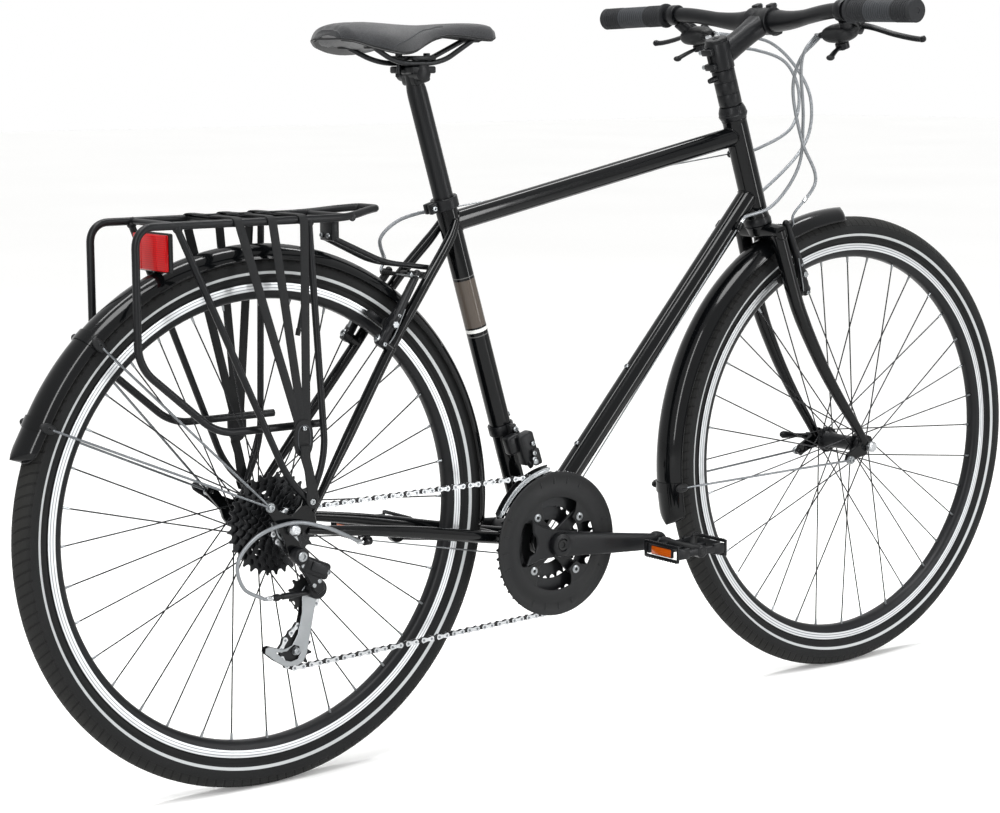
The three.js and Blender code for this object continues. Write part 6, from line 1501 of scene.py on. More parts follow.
@dataclass(frozen=True)
class Wrap:
    """A wheel that the chain wraps."""

    x: float
    z: float
    teeth: int
    turn: int
    y: float

    @property
    def radius(self) -> float:
        """Radius of the circle on which the chain's pins lie."""
        return PITCH / (2 * math.sin(math.pi / self.teeth))


WRAPS: tuple[Wrap, ...] = (
    Wrap(0, AXLE_Z, 11, -1, -61), Wrap(BRACKET[0], BRACKET[1], 48, -1, -58), Wrap(9, 188, 11, -1, -61),
    Wrap(25, 262, 11, 1, -61))


def tangent(a: Wrap, b: Wrap) -> tuple[float, float, Pair, Pair]:
    """Finds the straight run between two wraps.

    Args:
        a: Wheel that the chain leaves.
        b: Wheel that it meets.

    Returns:
        The angles of leaving and meeting, and the run's two ends.
    """
    dx, dz = b.x - a.x, b.z - a.z
    normal = math.atan2(dz, dx) + math.asin((a.turn * a.radius - b.turn * b.radius) / math.hypot(dx, dz))
    leave, meet = normal - a.turn * math.pi / 2, normal - b.turn * math.pi / 2
    start = (a.x + a.radius * math.cos(leave), a.z + a.radius * math.sin(leave))
    return leave, meet, start, (b.x + b.radius * math.cos(meet), b.z + b.radius * math.sin(meet))


def chain_pins() -> list[tuple[Triple, int]]:
    """Places the chain's pins.

    Returns:
        Each pin's place and the number of the wheel that it lies on, or -1.
    """
    runs = [tangent(wheel, WRAPS[(i + 1) % 4]) for i, wheel in enumerate(WRAPS)]
    fine: list[tuple[Triple, int]] = []
    for i, wheel in enumerate(WRAPS):
        meet, leave = runs[i - 1][1], runs[i][0]
        sweep = ((leave - meet) * wheel.turn) % (2 * math.pi)
        steps = max(int(sweep * wheel.radius / 0.5), 2)
        for k in range(steps):
            a = meet + wheel.turn * sweep * k / steps
            fine.append(
                ((wheel.x + wheel.radius * math.cos(a), wheel.y, wheel.z + wheel.radius * math.sin(a)), i))
        start, end, other = runs[i][2], runs[i][3], WRAPS[(i + 1) % 4]
        length = math.dist(start, end)
        steps = int(length / 0.5)
        hold = min(48.0, length / 3)
        for k in range(steps):
            s = length * k / steps
            t = min(max((s - hold) / (length - 2 * hold), 0), 1)
            y = wheel.y + (other.y - wheel.y) * t * t * (3 - 2 * t)
            fine.append(
                (
                    (
                        start[0] + (end[0] - start[0]) * k / steps, y,
                        start[1] + (end[1] - start[1]) * k / steps), -1))
    lengths = [math.dist(fine[i - 1][0], fine[i][0]) if i else 0.0 for i in range(len(fine))]
    total = sum(lengths) + math.dist(fine[-1][0], fine[0][0])
    count = 2 * round(total / PITCH / 2)
    pins, walked, k = [], 0.0, 0
    for i in range(count):
        while k < len(fine) - 1 and walked + lengths[k + 1] < i * total / count:
            walked += lengths[k + 1]
            k += 1
        pins.append(fine[k])
    return pins


def phase(pins: Sequence[tuple[Triple, int]], index: int) -> float:
    """Finds how a toothed wheel is turned so that its gaps hold the chain's pins.

    Args:
        pins: The chain's pins.
        index: Number of the wheel in WRAPS.

    Returns:
        The angle of one gap, in degrees.
    """
    wheel = WRAPS[index]
    step = 2 * math.pi / wheel.teeth
    real = imaginary = 0.0
    for (x, _, z), on in pins:
        if on == index:
            a = math.atan2(z - wheel.z, x - wheel.x) / step * 2 * math.pi
            real += math.cos(a)
            imaginary += math.sin(a)
    return math.degrees(math.atan2(imaginary, real) / (2 * math.pi) * step)


def toothed(x: float, z: float, teeth: int, turn: float) -> list[Pair]:
    """Draws a sprocket's outline.

    Args:
        x: Centre x.
        z: Centre z.
        teeth: Number of teeth.
        turn: Angle of one gap, in degrees.

    Returns:
        Its corners.
    """
    radius = PITCH / (2 * math.sin(math.pi / teeth))
    points: list[Pair] = []
    for i in range(teeth):
        a = turn + 360 * i / teeth
        c = polar(x, z, radius, a)
        out = polar(0, 0, 1, a)
        side = (-out[1], out[0])
        for seat in (-72, -36, 0, 36, 72):
            u, v = math.cos(math.radians(seat)) * 4.0, math.sin(math.radians(seat)) * 4.0
            points.append((c[0] - out[0] * u + side[0] * v, c[1] - out[1] * u + side[1] * v))
        top = a + 180 / teeth
        half = math.degrees(1.0 / radius)
        points += [polar(x, z, radius + 1.6, top - half * 1.5), polar(x, z, radius + 2.5, top - half * 0.5),
                   polar(x, z, radius + 2.5, top + half * 0.5), polar(x, z, radius + 1.6, top + half * 1.5)]
    return points


@dataclass(frozen=True)
class Crankset:
    """Cranks, chainrings and guard, in the crank's own turned frame."""

    length: float = 170.0
    bolts: tuple[int, ...] = (45, 135, 225, 315)

    def at(self, x: float, y: float, z: float) -> Triple:
        """Turns a point of the crank frame into the bicycle's.

        Args:
            x: Along the right crank.
            y: To the left.
            z: Across the crank.

        Returns:
            The point in bicycle millimetres.
        """
        c, s = math.cos(CRANK_REST), math.sin(CRANK_REST)
        return (BRACKET[0] + x * c + z * s, y, BRACKET[1] - x * s + z * c)

    def flat(self, points: Iterable[Pair]) -> list[Pair]:
        """Turns an outline of the crank frame into the bicycle's.

        Args:
            points: Corners along and across the crank.

        Returns:
            The corners in bicycle millimetres.
        """
        return [(p[0], p[2]) for p in (self.at(x, 0, z) for x, z in points)]

    def arm(self, shape: Shape, side: int) -> None:
        """Adds one crank arm.

        Args:
            shape: Shape that gets it.
            side: 1 for left and -1 for right.
        """
        sign = -side
        rings = []
        for i in range(19):
            t = i / 18
            x = 6 + t * (self.length - 14)
            near = 66.5 + 6.5 * t * t * (3 - 2 * t)
            half = 16.6 - 5.4 * t ** 1.4
            mid, thick = near + 6.5, 6.3 - 0.5 * math.sin(math.pi * t)
            ring = []
            for k in range(24):
                a = 2 * math.pi * k / 24
                c, s = math.cos(a), math.sin(a)
                ring.append(
                    self.at(
                        sign * x, side * (mid + thick * math.copysign(abs(s) ** 0.45, s)),
                        half * math.copysign(abs(c) ** 0.6, c)))
            rings.append(ring)
        shape.loft(rings, SATIN)
        root, tip = self.at(0, 0, 0), self.at(sign * self.length, 0, 0)
        low = 66.5 if side < 0 else 39.0
        hub = [
            (14.4, low), (16.2, low + 1), (17, low + 3 if side < 0 else 58), (17, 76), (15.8, 78.6),
            (13.4, 79.5), (9.2, 79.5), (8.6, 78), (8.4, 76.8)]
        shape.turned([(r, side * y) for r, y in hub], SATIN, root, (0, 1, 0), 40)
        shape.turned(
            [
                (r, side * y) for r,
                y in (
                    (12.4, 73), (13.6, 74), (14, 76), (14, 83.4), (12.8, 85.4), (10.6, 86), (7.6, 86),
                    (7.2, 85.2))], SATIN, tip, (0, 1, 0), 36)
        shape.turned(
            [(r, side * y) for r, y in ((7.8, 76.6), (7.8, 78.3), (7.2, 79), (4.0, 79), (3.6, 77.4))],
            MATTE, root, (0, 1, 0), 24)
        shape.rod((tip[0], side * 78, tip[2]), (tip[0], side * 148, tip[2]), 4.5, STEEL, 20)
        shape.turned(
            [(r, side * y) for r, y in ((7.2, 86.2), (7.4, 86.8), (7.4, 89.8), (6.8, 90.6))], STEEL, tip,
            (0, 1, 0), 6)

    def right(self) -> None:
        """Makes the right crank with its spider and spindle."""
        shape = Shape("right_crank_arm")
        self.arm(shape, -1)
        for angle in self.bolts:
            direction, side = polar(0, 0, 1, angle), polar(0, 0, 1, angle + 90)
            outline = [
                (direction[0] * r + side[0] * w, direction[1] * r + side[1] * w) for r,
                w in ((8, 12), (24, 10.4), (40, 8.8), (50, 8.2))]
            outline += [
                polar(52 * direction[0], 52 * direction[1], 7.8, angle + a)
                for a in (70, 45, 20, -20, -45, -70)]
            outline += [
                (direction[0] * r - side[0] * w, direction[1] * r - side[1] * w) for r,
                w in ((50, 8.2), (40, 8.8), (24, 10.4), (8, 12))]
            hole = [(52 * direction[0] + x, 52 * direction[1] + z) for x, z in disc(0, 0, 4.6, 16)]
            shape.plate(self.flat(outline), -56.6, -51.4, SATIN, [self.flat(hole)], 0.8)
        tail = [
            (-50, 35), (-30, 25), (-8, 20.5), (20, 17.5), (60, 15.5), (60, -15), (20, -16.5), (-8, -18),
            (-32, -21), (-54, -29), (-50, -16), (-41, -11), (-38, 0), (-40, 10), (-47, 17)]
        shape.plate(self.flat(tail), -71.5, -66.4, SATIN, bevel=1.6)
        shape.turned(
            [(16, -51.4), (17, -52.2), (17, -57.5), (15.8, -59), (15.4, -68.4)], SATIN, self.at(0, 0, 0),
            (0, 1, 0), 36)
        shape.turned([(10, -38.6), (10, -68)], STEEL, self.at(0, 0, 0), (0, 1, 0), 24)
        shape.build("cranks", "right_crank")

    def left(self) -> None:
        """Makes the left crank."""
        shape = Shape("left_crank_arm")
        self.arm(shape, 1)
        shape.build("cranks", "left_crank")

    def rings(self, pins: Sequence[tuple[Triple, int]]) -> None:
        """Makes the three chainrings and their bolts.

        Args:
            pins: The chain's pins, which the big ring's gaps hold.
        """
        shape = Shape("chainrings")
        turn = phase(pins, 1)
        for y, teeth, bore in ((-58, 48, 73.0), (-50, 36, 50.5), (-42, 26, 30.5)):
            outline = toothed(BRACKET[0], BRACKET[1], teeth, turn)
            inner = disc(0, 0, bore, 72)
            shape.plate(outline, y - 1.0, y + 1.0, DARK if teeth < 48 else SATIN, [self.flat(inner)], 0.3)
            mount = 52 if teeth > 26 else 32
            for angle in self.bolts:
                d, s = polar(0, 0, 1, angle), polar(0, 0, 1, angle + 90)
                tab = [polar(mount * d[0], mount * d[1], 7.2, angle + 180 + a) for a in range(-80, 81, 20)]
                reach = bore + 1.5
                flare = 15 if teeth == 48 else 9
                tab += [
                    (d[0] * reach - s[0] * flare, d[1] * reach - s[1] * flare),
                    (d[0] * reach + s[0] * flare, d[1] * reach + s[1] * flare)]
                if teeth != 26:
                    hole = [(mount * d[0] + x, mount * d[1] + z) for x, z in disc(0, 0, 4.1, 14)]
                    shape.plate(
                        self.flat(tab), y - 0.8, y + 0.8, DARK if teeth < 48 else SATIN, [self.flat(hole)],
                        0)
        for angle in self.bolts:
            for radius, low, high in ((52, -62.2, -48.6), (32, -51.2, -41.2)):
                x, z = polar(0, 0, radius, angle)
                shape.turned([(4.0, low), (4.0, high)], STEEL, self.at(x, 0, z), (0, 1, 0), 16)
            x, z = polar(0, 0, 52, angle)
            shape.turned(
                [(5.6, -48.9), (5.6, -47.6), (5.0, -47.0), (2.6, -47.0), (2.3, -48.2)], STEEL,
                self.at(x, 0, z), (0, 1, 0), 18)
        shape.build("cranks", "chainring_set")

    def guard(self) -> None:
        """Makes the chain guard."""
        shape = Shape("chainring_guard")
        ring = [
            (100.2, -62.9), (100.5, -64.6), (99.6, -65.6), (97.4, -65.9), (94.6, -64.4), (83.0, -63.8),
            (80.0, -65.2), (67.0, -65.4), (65.2, -64.6), (64.8, -63.6), (65.4, -62.7), (78, -62.6),
            (95.0, -62.6), (99.6, -62.6)]
        shape.lathe(ring, MATTE, self.at(0, 0, 0), (0, 1, 0), 120)
        for angle in self.bolts:
            d, s = polar(0, 0, 1, angle), polar(0, 0, 1, angle + 90)
            outline = [
                (d[0] * r + s[0] * w, d[1] * r + s[1] * w) for r,
                w in ((43, 8.0), (53, 11), (60, 17), (67, 28), (67, -28), (60, -17), (53, -11), (43, -8.0))]
            shape.plate(self.flat(outline), -64.9, -62.7, MATTE, bevel=0.6)
            x, z = polar(0, 0, 52, angle)
            shape.turned(
                [(r, y) for r, y in ((5.8, -64.2), (5.8, -65.4), (5.0, -66.0), (2.6, -66.0), (2.3, -64.8))],
                STEEL, self.at(x, 0, z), (0, 1, 0), 20)
        for k in range(24):
            angle = 15 * k + 7.5
            if min(abs((angle - b + 180) % 360 - 180) for b in self.bolts) < 12:
                continue
            d = polar(0, 0, 1, angle)
            place = self.at(88.5 * d[0], -64.2, 88.5 * d[1])
            turn = Matrix.Rotation(-math.radians(angle) + CRANK_REST, 3, "Y")
            shape.box(place, (9, 0.9, 2.4), MATTE, turn, 0.3, 1)
        shape.build("cranks", "chain_guard")

    def pedal(self, side: int) -> None:
        """Makes one pedal with its reflectors.

        Args:
            side: 1 for left and -1 for right.
        """
        name = "left" if side > 0 else "right"
        shape = Shape(f"{name}_platform_pedal")
        tip = self.at(-side * self.length, 0, 0)
        x0, z0 = tip[0], tip[2]
        barrel = [
            (7.4, 92.2), (9.0, 93), (9.0, 103), (8.0, 106), (7.4, 130), (8.0, 160), (9.0, 164), (9.0, 175),
            (7.6, 176)]
        shape.lathe(
            [(5.2, side * 92.2)] + [(r, side * y) for r, y in barrel[1:-1]]
                + [(7.6, side * 176), (5.2, side * 176)], SATIN, (x0, 0, z0), (0, 1, 0), 32)
        shape.turned(
            [(5.0, side * 170), (5.0, side * 176), (4.2, side * 176.6)], MATTE, (x0, 0, z0), (0, 1, 0), 20)
        for end in (1, -1):
            for up in (1, -1):
                shape.box((x0 + end * 43.9, side * 140.5, z0 + up * 9.6), (3.4, 70, 4.4), SATIN, bevel=0.8)
                for k in range(12):
                    shape.box(
                        (x0 + end * 43.9, side * (110 + 5.5 * k), z0 + up * 11.6), (3.2, 2.6, 1.6), SATIN,
                        bevel=0.4, segments=1)
            for y in (106.4, 174.6):
                shape.box((x0 + end * 43.9, side * y, z0), (3.6, 3.2, 23), SATIN, bevel=0.8)
            shape.box((x0 + end * 42.6, side * 140.5, z0), (4.2, 44, 13.4), MATTE, bevel=1.0)
            shape.box((x0 + end * 44.6, side * 140.5, z0), (2.2, 40.5, 11.0), AMBER, bevel=0.8)
        for y in (108.2, 172.6):
            shape.box((x0, side * y, z0), (86, 6.2, 9.6), SATIN, bevel=1.6)
            for end in (1, -1):
                shape.box((x0 + end * 32, side * y, z0), (20, 6.4, 15), SATIN, bevel=2)
        for end in (1, -1):
            shape.box((x0 + end * 20, side * 140.5, z0), (30, 8, 6.4), SATIN, bevel=1.4)
        shape.build(f"{name}_pedal", f"{name}_pedal")

    def bracket(self) -> None:
        """Makes the bottom bracket cups."""
        shape = Shape("bottom_bracket_cups")
        for side in (1, -1):
            profile = [
                (17.4, 34.35), (19.2, 34.4), (19.5, 34.9), (19.5, 37.2), (18.6, 37.85), (13.2, 37.85),
                (12.6, 37.2), (11.2, 36.8), (11.2, 34.35)]
            shape.lathe([(r, side * y) for r, y in profile], DARK, (BRACKET[0], 0, BRACKET[1]), (0, 1, 0), 48)
            for k in range(8):
                x, z = polar(BRACKET[0], BRACKET[1], 19.2, 45 * k)
                shape.box(
                    (x, side * 36, z), (2.2, 2.6, 2.2), DARK,
                    Matrix.Rotation(-math.radians(45 * k), 3, "Y"), 0.3, 1)
        shape.build("frame_body", "bottom_bracket")

    def build(self, pins: Sequence[tuple[Triple, int]]) -> None:
        """Makes the crankset.

        Args:
            pins: The chain's pins.
        """
        self.right()
        self.left()
        self.rings(pins)
        self.guard()
        self.bracket()
        for side in (1, -1):
            self.pedal(side)


@dataclass(frozen=True)
class Drive:
    """Chain, cassette and both derailleurs."""

    teeth: tuple[int, ...] = (11, 12, 14, 16, 18, 21, 24, 28, 32)

    def chain(self, pins: Sequence[tuple[Triple, int]]) -> None:
        """Makes the chain, link by link.

        Args:
            pins: Its pins.
        """
        shape = Shape("chain_links")
        for i, (pin, _) in enumerate(pins):
            other = pins[(i + 1) % len(pins)][0]
            heading = math.degrees(math.atan2(other[2] - pin[2], other[0] - pin[0]))
            run = polar(0, 0, 1, heading)
            side = (-run[1], run[0])
            mid = ((pin[0] + other[0]) / 2, (pin[2] + other[2]) / 2)
            half = 4.0 if i % 2 else 3.9
            outline = [polar(pin[0], pin[2], half, heading + a) for a in range(110, 251, 28)]
            outline += [(mid[0] - side[0] * 2.1, mid[1] - side[1] * 2.1)]
            outline += [polar(other[0], other[2], half, heading + a) for a in range(-70, 71, 28)]
            outline += [(mid[0] + side[0] * 2.1, mid[1] + side[1] * 2.1)]
            y = (pin[1] + other[1]) / 2
            low = 2.15 if i % 2 else 1.25
            for face in (1, -1):
                a, b = sorted((y + face * low, y + face * (low + 0.85)))
                # Painted shade: the inner plates, silver on the real chain, are drawn in blackened steel for
                # the shade between the outer plates
                shape.plate(outline, a, b, SILVER if i % 2 else DARK, bevel=0)
            shape.turned(
                [(1.75, pin[1] - 3.3), (1.75, pin[1] + 3.3)], WIRE, (pin[0], 0, pin[2]), (0, 1, 0), 10)
            # Painted shade: the rollers, steel on the real chain, are drawn in blackened steel for the shade
            # between the links
            shape.turned([(3.7, pin[1] - 1.2), (3.7, pin[1] + 1.2)], DARK, (pin[0], 0, pin[2]), (0, 1, 0), 12)
        shape.build("frame_body", "chain")

    def cassette(self, pins: Sequence[tuple[Triple, int]]) -> None:
        """Makes the cassette.

        Args:
            pins: The chain's pins, which the smallest sprocket's gaps hold.
        """
        shape = Shape("cassette_sprockets")
        turn = phase(pins, 0)
        for i, teeth in enumerate(self.teeth):
            y = -61 + 4.34 * i
            pitch = PITCH / (2 * math.sin(math.pi / teeth))
            holes = [disc(0, AXLE_Z, 15.9, 32)]
            web = pitch - 9 - 20
            if web > 8:
                middle = 20 + web / 2 + 1
                holes += [
                    disc(*polar(0, AXLE_Z, middle, 60 * k + 7 * i), min(web / 2 - 1, middle * 0.34), 16)
                    for k in range(6)]
            shape.plate(
                toothed(0, AXLE_Z, teeth, turn if i == 0 else 11.0 * i), y - 0.9, y + 0.9,
                STEEL if i == 0 else DARK, holes, 0.2)
        shape.lathe(
            [(15.9, -60.0), (17.8, -60.0), (17.8, -26.4), (15.9, -26.4)], DARK, (0, 0, AXLE_Z), (0, 1, 0),
            32)
        shape.lathe(
            [
                (11, -62.0), (16.6, -62.0), (17.2, -62.6), (17.2, -63.4), (16.2, -64.0), (12, -64.0),
                (11, -63.2)], STEEL, (0, 0, AXLE_Z), (0, 1, 0), 40)
        for k in range(12):
            x, z = polar(0, AXLE_Z, 12.0, 30 * k)
            shape.box(
                (x, -63, z), (1.8, 2.2, 1.6), STEEL, Matrix.Rotation(-math.radians(30 * k), 3, "Y"), 0.2, 1)
        shape.build("cassette", "cassette")

    def rear(self) -> None:
        """Makes the rear derailleur's body."""
        shape = Shape("rear_derailleur_body")
        top, low = (6.0, 0, 315.0), (34.0, 0, 268.0)
        shape.turned(
            [(9.5, -74.2), (11, -75.2), (11, -86.2), (10, -87.6), (6.6, -88), (3.4, -88), (3.0, -86)],
            SATIN, top, (0, 1, 0), 32)
        shape.turned(
            [(11.5, -66.6), (13, -67.6), (13, -79.4), (12, -81), (8.6, -81.5), (4.0, -81.5), (3.6, -80)],
            SATIN, low, (0, 1, 0), 32)
        shape.box((28, -82, 297), (42, 13, 22), SATIN, Matrix.Rotation(math.radians(24), 3, "Y"), 5, 3)
        shape.box((31, -89, 297), (26, 3, 12), DARK, Matrix.Rotation(math.radians(24), 3, "Y"), 1.2, 2)
        shape.bolt((top[0], -87.4, top[2]), (0, -1, 0), 6.6, 3.0, STEEL)
        shape.bolt((44, -88, 290), (0, -1, 0), 3.0, 2.0, STEEL)
        run = Vector((low[0] - top[0], 0, low[2] - top[2])).normalized()
        side = Vector((-run.z, 0, run.x))
        for y, thick, spread in ((-84.2, 3.4, 8.6), (-76.4, 3.2, 7.6)):
            outline = []
            for t, w in (
                    (-0.06, spread * 0.6), (0.08, spread), (0.35, spread * 0.9), (0.65, spread * 0.86),
                    (0.92, spread), (1.06, spread * 0.6)):
                p = Vector(top).lerp(Vector(low), t)
                outline.append(((p + side * w).x, (p + side * w).z))
            for t, w in (
                    (1.06, spread * 0.6), (0.92, spread), (0.65, spread * 0.86), (0.35, spread * 0.9),
                    (0.08, spread), (-0.06, spread * 0.6)):
                p = Vector(top).lerp(Vector(low), t)
                outline.append(((p - side * w).x, (p - side * w).z))
            shape.plate(outline, y - thick / 2, y + thick / 2, SATIN, bevel=0.9)
        for t, w in ((0.22, 4.6), (0.22, -4.6), (0.8, 4.6), (0.8, -4.6)):
            p = Vector(top).lerp(Vector(low), t) + side * w
            shape.turned(
                [(2.4, -86.6), (2.8, -86.2), (2.8, -75.2), (2.4, -74.6)], STEEL, (p.x, 0, p.z), (0, 1, 0),
                16)
        shape.turned(
            [
                (2.8, 0), (4.0, 1), (4.2, 3), (4.2, 9), (3.2, 10), (3.2, 13), (4.2, 14), (4.2, 30),
                (3.4, 36), (3.4, 56), (3.0, 62)], SATIN, (-30, -73, 264), (1, 0, 0), 20)
        for k in range(10):
            y, z = math.cos(math.radians(36 * k)) * 4.1 - 73, math.sin(math.radians(36 * k)) * 4.1 + 264
            shape.rod((-26, y, z), (-21.5, y, z), 0.6, SATIN, 6)
        shape.rod((26, -73, 264), (33, -74, 268), 5, SATIN, 16)
        shape.rod((6, -70, 315), (6, -76, 315), 5.2, STEEL, 20)
        shape.build("frame_body", "rear_derailleur")

    def cage(self, pins: Sequence[tuple[Triple, int]]) -> None:
        """Makes the rear derailleur's cage and pulleys.

        Args:
            pins: The chain's pins, which the pulleys' gaps hold.
        """
        shape = Shape("rear_derailleur_cage_and_pulleys")
        guide, tension = (25.0, 262.0), (9.0, 188.0)
        outline = [
            (18, 266), (24, 273), (33, 274), (40, 266), (38, 246), (31, 214), (24, 184), (18, 173),
            (10, 169.5), (-8, 170), (-24, 180), (-38, 192), (-37, 198), (-31, 199.5), (-12, 192.5),
            (2, 196), (11, 210), (18, 238)]
        slot = [(-22, 190.5), (-10, 179), (0, 175.5), (10, 177.5), (15, 185), (12, 194), (4, 197), (-6, 190)]
        for low, high, finish in ((-66.2, -64.7, STEEL), (-57.3, -55.8, DARK)):
            shape.plate(outline, low, high, finish, [slot], 0.3)
        for index, (x, z) in ((3, guide), (2, tension)):
            outline = toothed(x, z, 11, phase(pins, index))
            shape.plate(outline, -62.0, -60.0, MATTE, [disc(x, z, 5.2, 18)], 0.2)
            shape.turned(
                [(5.6, -63.4), (5.8, -62.9), (5.8, -59.1), (5.6, -58.6)], STEEL, (x, 0, z), (0, 1, 0), 20)
            shape.turned([(3, -67.2), (3, -55.2)], STEEL, (x, 0, z), (0, 1, 0), 14)
            shape.turned(
                [(4.6, -66.2), (4.6, -67.6), (3.9, -68.2), (2.2, -68.2), (2.0, -67.0)], STEEL, (x, 0, z),
                (0, 1, 0), 18)
        shape.build("frame_body", "rear_derailleur_cage")

    def front(self) -> None:
        """Makes the front derailleur."""
        shape = Shape("front_derailleur_cage_and_band")
        x, z = BRACKET
        outer = arc(109.0, 97, 150, 22, (x, z))
        inner = arc(102.4, 150, 97, 22, (x, z))
        shape.plate(
            outer + [polar(x, z, 105.6, 152)] + inner + [polar(x, z, 105.6, 95)], -63.0, -61.7, STEEL,
            bevel=0.4)
        deep = arc(94, 152, 100, 22, (x, z))
        shape.plate(
            arc(110.4, 94, 152, 24, (x, z)) + [polar(x, z, 104, 155)] + deep, -54.3, -53.0, DARK, bevel=0.4)
        for angle, radius in ((98, 107), (151, 105.6)):
            a = polar(x, z, radius, angle)
            shape.box(
                (a[0], -58, a[1]), (10, 9.4, 1.6), STEEL, Matrix.Rotation(math.radians(90 - angle), 3, "Y"),
                0.4)
        rib = [(p[0], -63.3, p[1]) for p in arc(105.8, 100, 148, 18, (x, z))]
        shape.sweep(rib, 1.0, STEEL, 8)
        run = tuple(Vector(seat_tube(1)) - Vector(seat_tube(0)))
        shape.lathe(
            [(15.2, 158), (17.4, 158), (18.0, 158.8), (18.0, 171.2), (17.4, 172), (15.2, 172)], SATIN,
            (x, 0, z), run, 40)
        shape.box(
            seat_tube(165, -21, 2), (12, 12, 15), SATIN, Matrix.Rotation(SEAT_ANGLE - math.pi / 2, 3, "Y"),
            2)
        shape.bolt(seat_tube(165, -26.6, 4), (0, -1, 0), 4.2, 3.4, STEEL)
        head = polar(x, z, 120, 104)
        shape.sweep(
            [seat_tube(160, -22, 6), (head[0], -36, head[1] + 10), (head[0], -50, head[1])], [7, 6.4, 6],
            SATIN, 16, flat=0.7)
        shape.sweep(
            [seat_tube(150, -26, 2), (head[0] - 6, -40, head[1] + 2), (head[0] - 6, -53, head[1] - 6)],
            [4.4, 4.2, 4.2], DARK, 14, flat=0.8)
        lean = Matrix.Rotation(math.radians(-18), 3, "Y")
        shape.box((head[0] - 6, -41, head[1] + 18), (26, 18, 44), SATIN, lean, 4, 3)
        shape.box((head[0] - 24, -34, head[1] + 24), (22, 16, 26), SATIN, lean, 4, 3)
        shape.box((head[0] + 5, -49, head[1] + 6), (13, 9, 24), SATIN, lean, 3, 3)
        for lift, y in ((25, -51), (4, -53.6), (12, -53.6)):
            shape.bolt((head[0] - 2, y, head[1] + lift), (0, -1, 0), 3.2, 2.4, STEEL)
        shape.turned(
            [(3.0, -56.2), (4.0, -55.8), (4.0, -34), (3.4, -33.4)], STEEL, (head[0], 0, head[1]), (0, 1, 0),
            16)
        shape.build("frame_body", "front_derailleur")

    def build(self, pins: Sequence[tuple[Triple, int]]) -> None:
        """Makes the drive train.

        Args:
            pins: The chain's pins.
        """
        self.chain(pins)
        self.cassette(pins)
        self.rear()
        self.cage(pins)
        self.front()


@dataclass(frozen=True)
class Fork:
    """The fork, in the steering frame."""

    def blade(self, shape: Shape, side: int) -> None:
        """Adds one blade with its brake boss and dropout.

        Args:
            shape: Shape that gets them.
            side: 1 for left and -1 for right.
        """
        route = [
            (0, 37.5, -21.4), (0, 40.8, -90), (1, 43.2, -140), (5, 45.0, -175), (12, 46.6, -214),
            (20, 48.0, -250), (31, 49.8, -290), (43, 51.4, -327), (54, 52.6, -358), (64, 53.1, -389)]
        path = smooth_path([steer(x, side * y, z) for x, y, z in route], 48)
        radii = [11.6 - 1.0 * min(i / 20, 1) - 4.1 * max((i - 18) / 30, 0) for i in range(49)]
        shape.sweep(path, radii, GLOSS, 28)
        base, tip = steer(0, side * 40, -123.35), steer(12 + BRAKE_AHEAD, side * 40, -123.35)
        shape.sweep([base, tip], [7.6, 7.0], GLOSS, 20)
        shape.sweep([tip, steer(24.3 + BRAKE_AHEAD, side * 40, -123.35)], [4.0, 3.8], STEEL, 16)
        low, high = sorted((side * FRONT_FACE, side * FRONT_OUTER))
        corners = [
            (-51, -2), (-45, 6), (-30, 8.5), (-16, 10), (-8, 16), (4, 16.5), (9.6, 12), (10.6, 0),
            (9.6, -8), (5.2, -9.6), (5.2, 0), (3.7, 3.7), (0, 5.2), (-3.7, 3.7), (-5.2, 0), (-5.2, -10.4),
            (-12, -11), (-24, -8.4), (-38, -9.4), (-45, -11)]
        outline = []
        for x, z in corners:
            p = steer(68 + x, 0, -397 + z)
            outline.append((p[0], p[2]))
        eye = steer(23, 0, -398.6)
        shape.plate(outline, low, high, GLOSS, [disc(eye[0], eye[2], 2.7, 14)], 0.7)

    def build(self) -> None:
        """Makes the fork."""
        shape = Shape("welded_fork")
        for side in (1, -1):
            self.blade(shape, side)
        rings = []
        for i in range(25):
            y = -46 + 92 * i / 24
            drop = 4.0 * (abs(y) / 46) ** 2
            thick = 11.0 - 2.4 * (abs(y) / 46) ** 2
            deep = 12.4 - 1.4 * (abs(y) / 46) ** 2
            rings.append(
                [
                    steer(
                        deep * math.copysign(abs(math.cos(a)) ** 0.7, math.cos(a)), y,
                        -21.4 - drop * 0.4 + thick * math.copysign(abs(math.sin(a)) ** 0.7, math.sin(a)))
                    for a in (2 * math.pi * k / 24 for k in range(24))])
        shape.loft(rings, GLOSS)
        axis = (UP[0], 0, UP[1])
        shape.turned(
            [
                (15, -26), (17.6, -24), (19.6, -15), (20.5, -13.2), (20.5, -11.6), (19.8, -11.35),
                (14.3, -11.35)], GLOSS, steer(0, 0, 0), axis, 40)
        shape.rod(steer(0, 0, -13.4), steer(0, 0, 264), 14.3, DARK, 32)
        for side in (1, -1):
            weld(
                shape, steer(0, side * 42, -80), steer(0, side * 38.5, -26), 11.4, steer(0, 0, -22.5),
                (0, 1, 0), 11.4, GLOSS, 1.0)
        shape.bolt(steer(12.4, 0, -21.4), (OUT[0], 0, OUT[1]), 5.0, 3.6, STEEL)
        shape.build("steering", "fork")


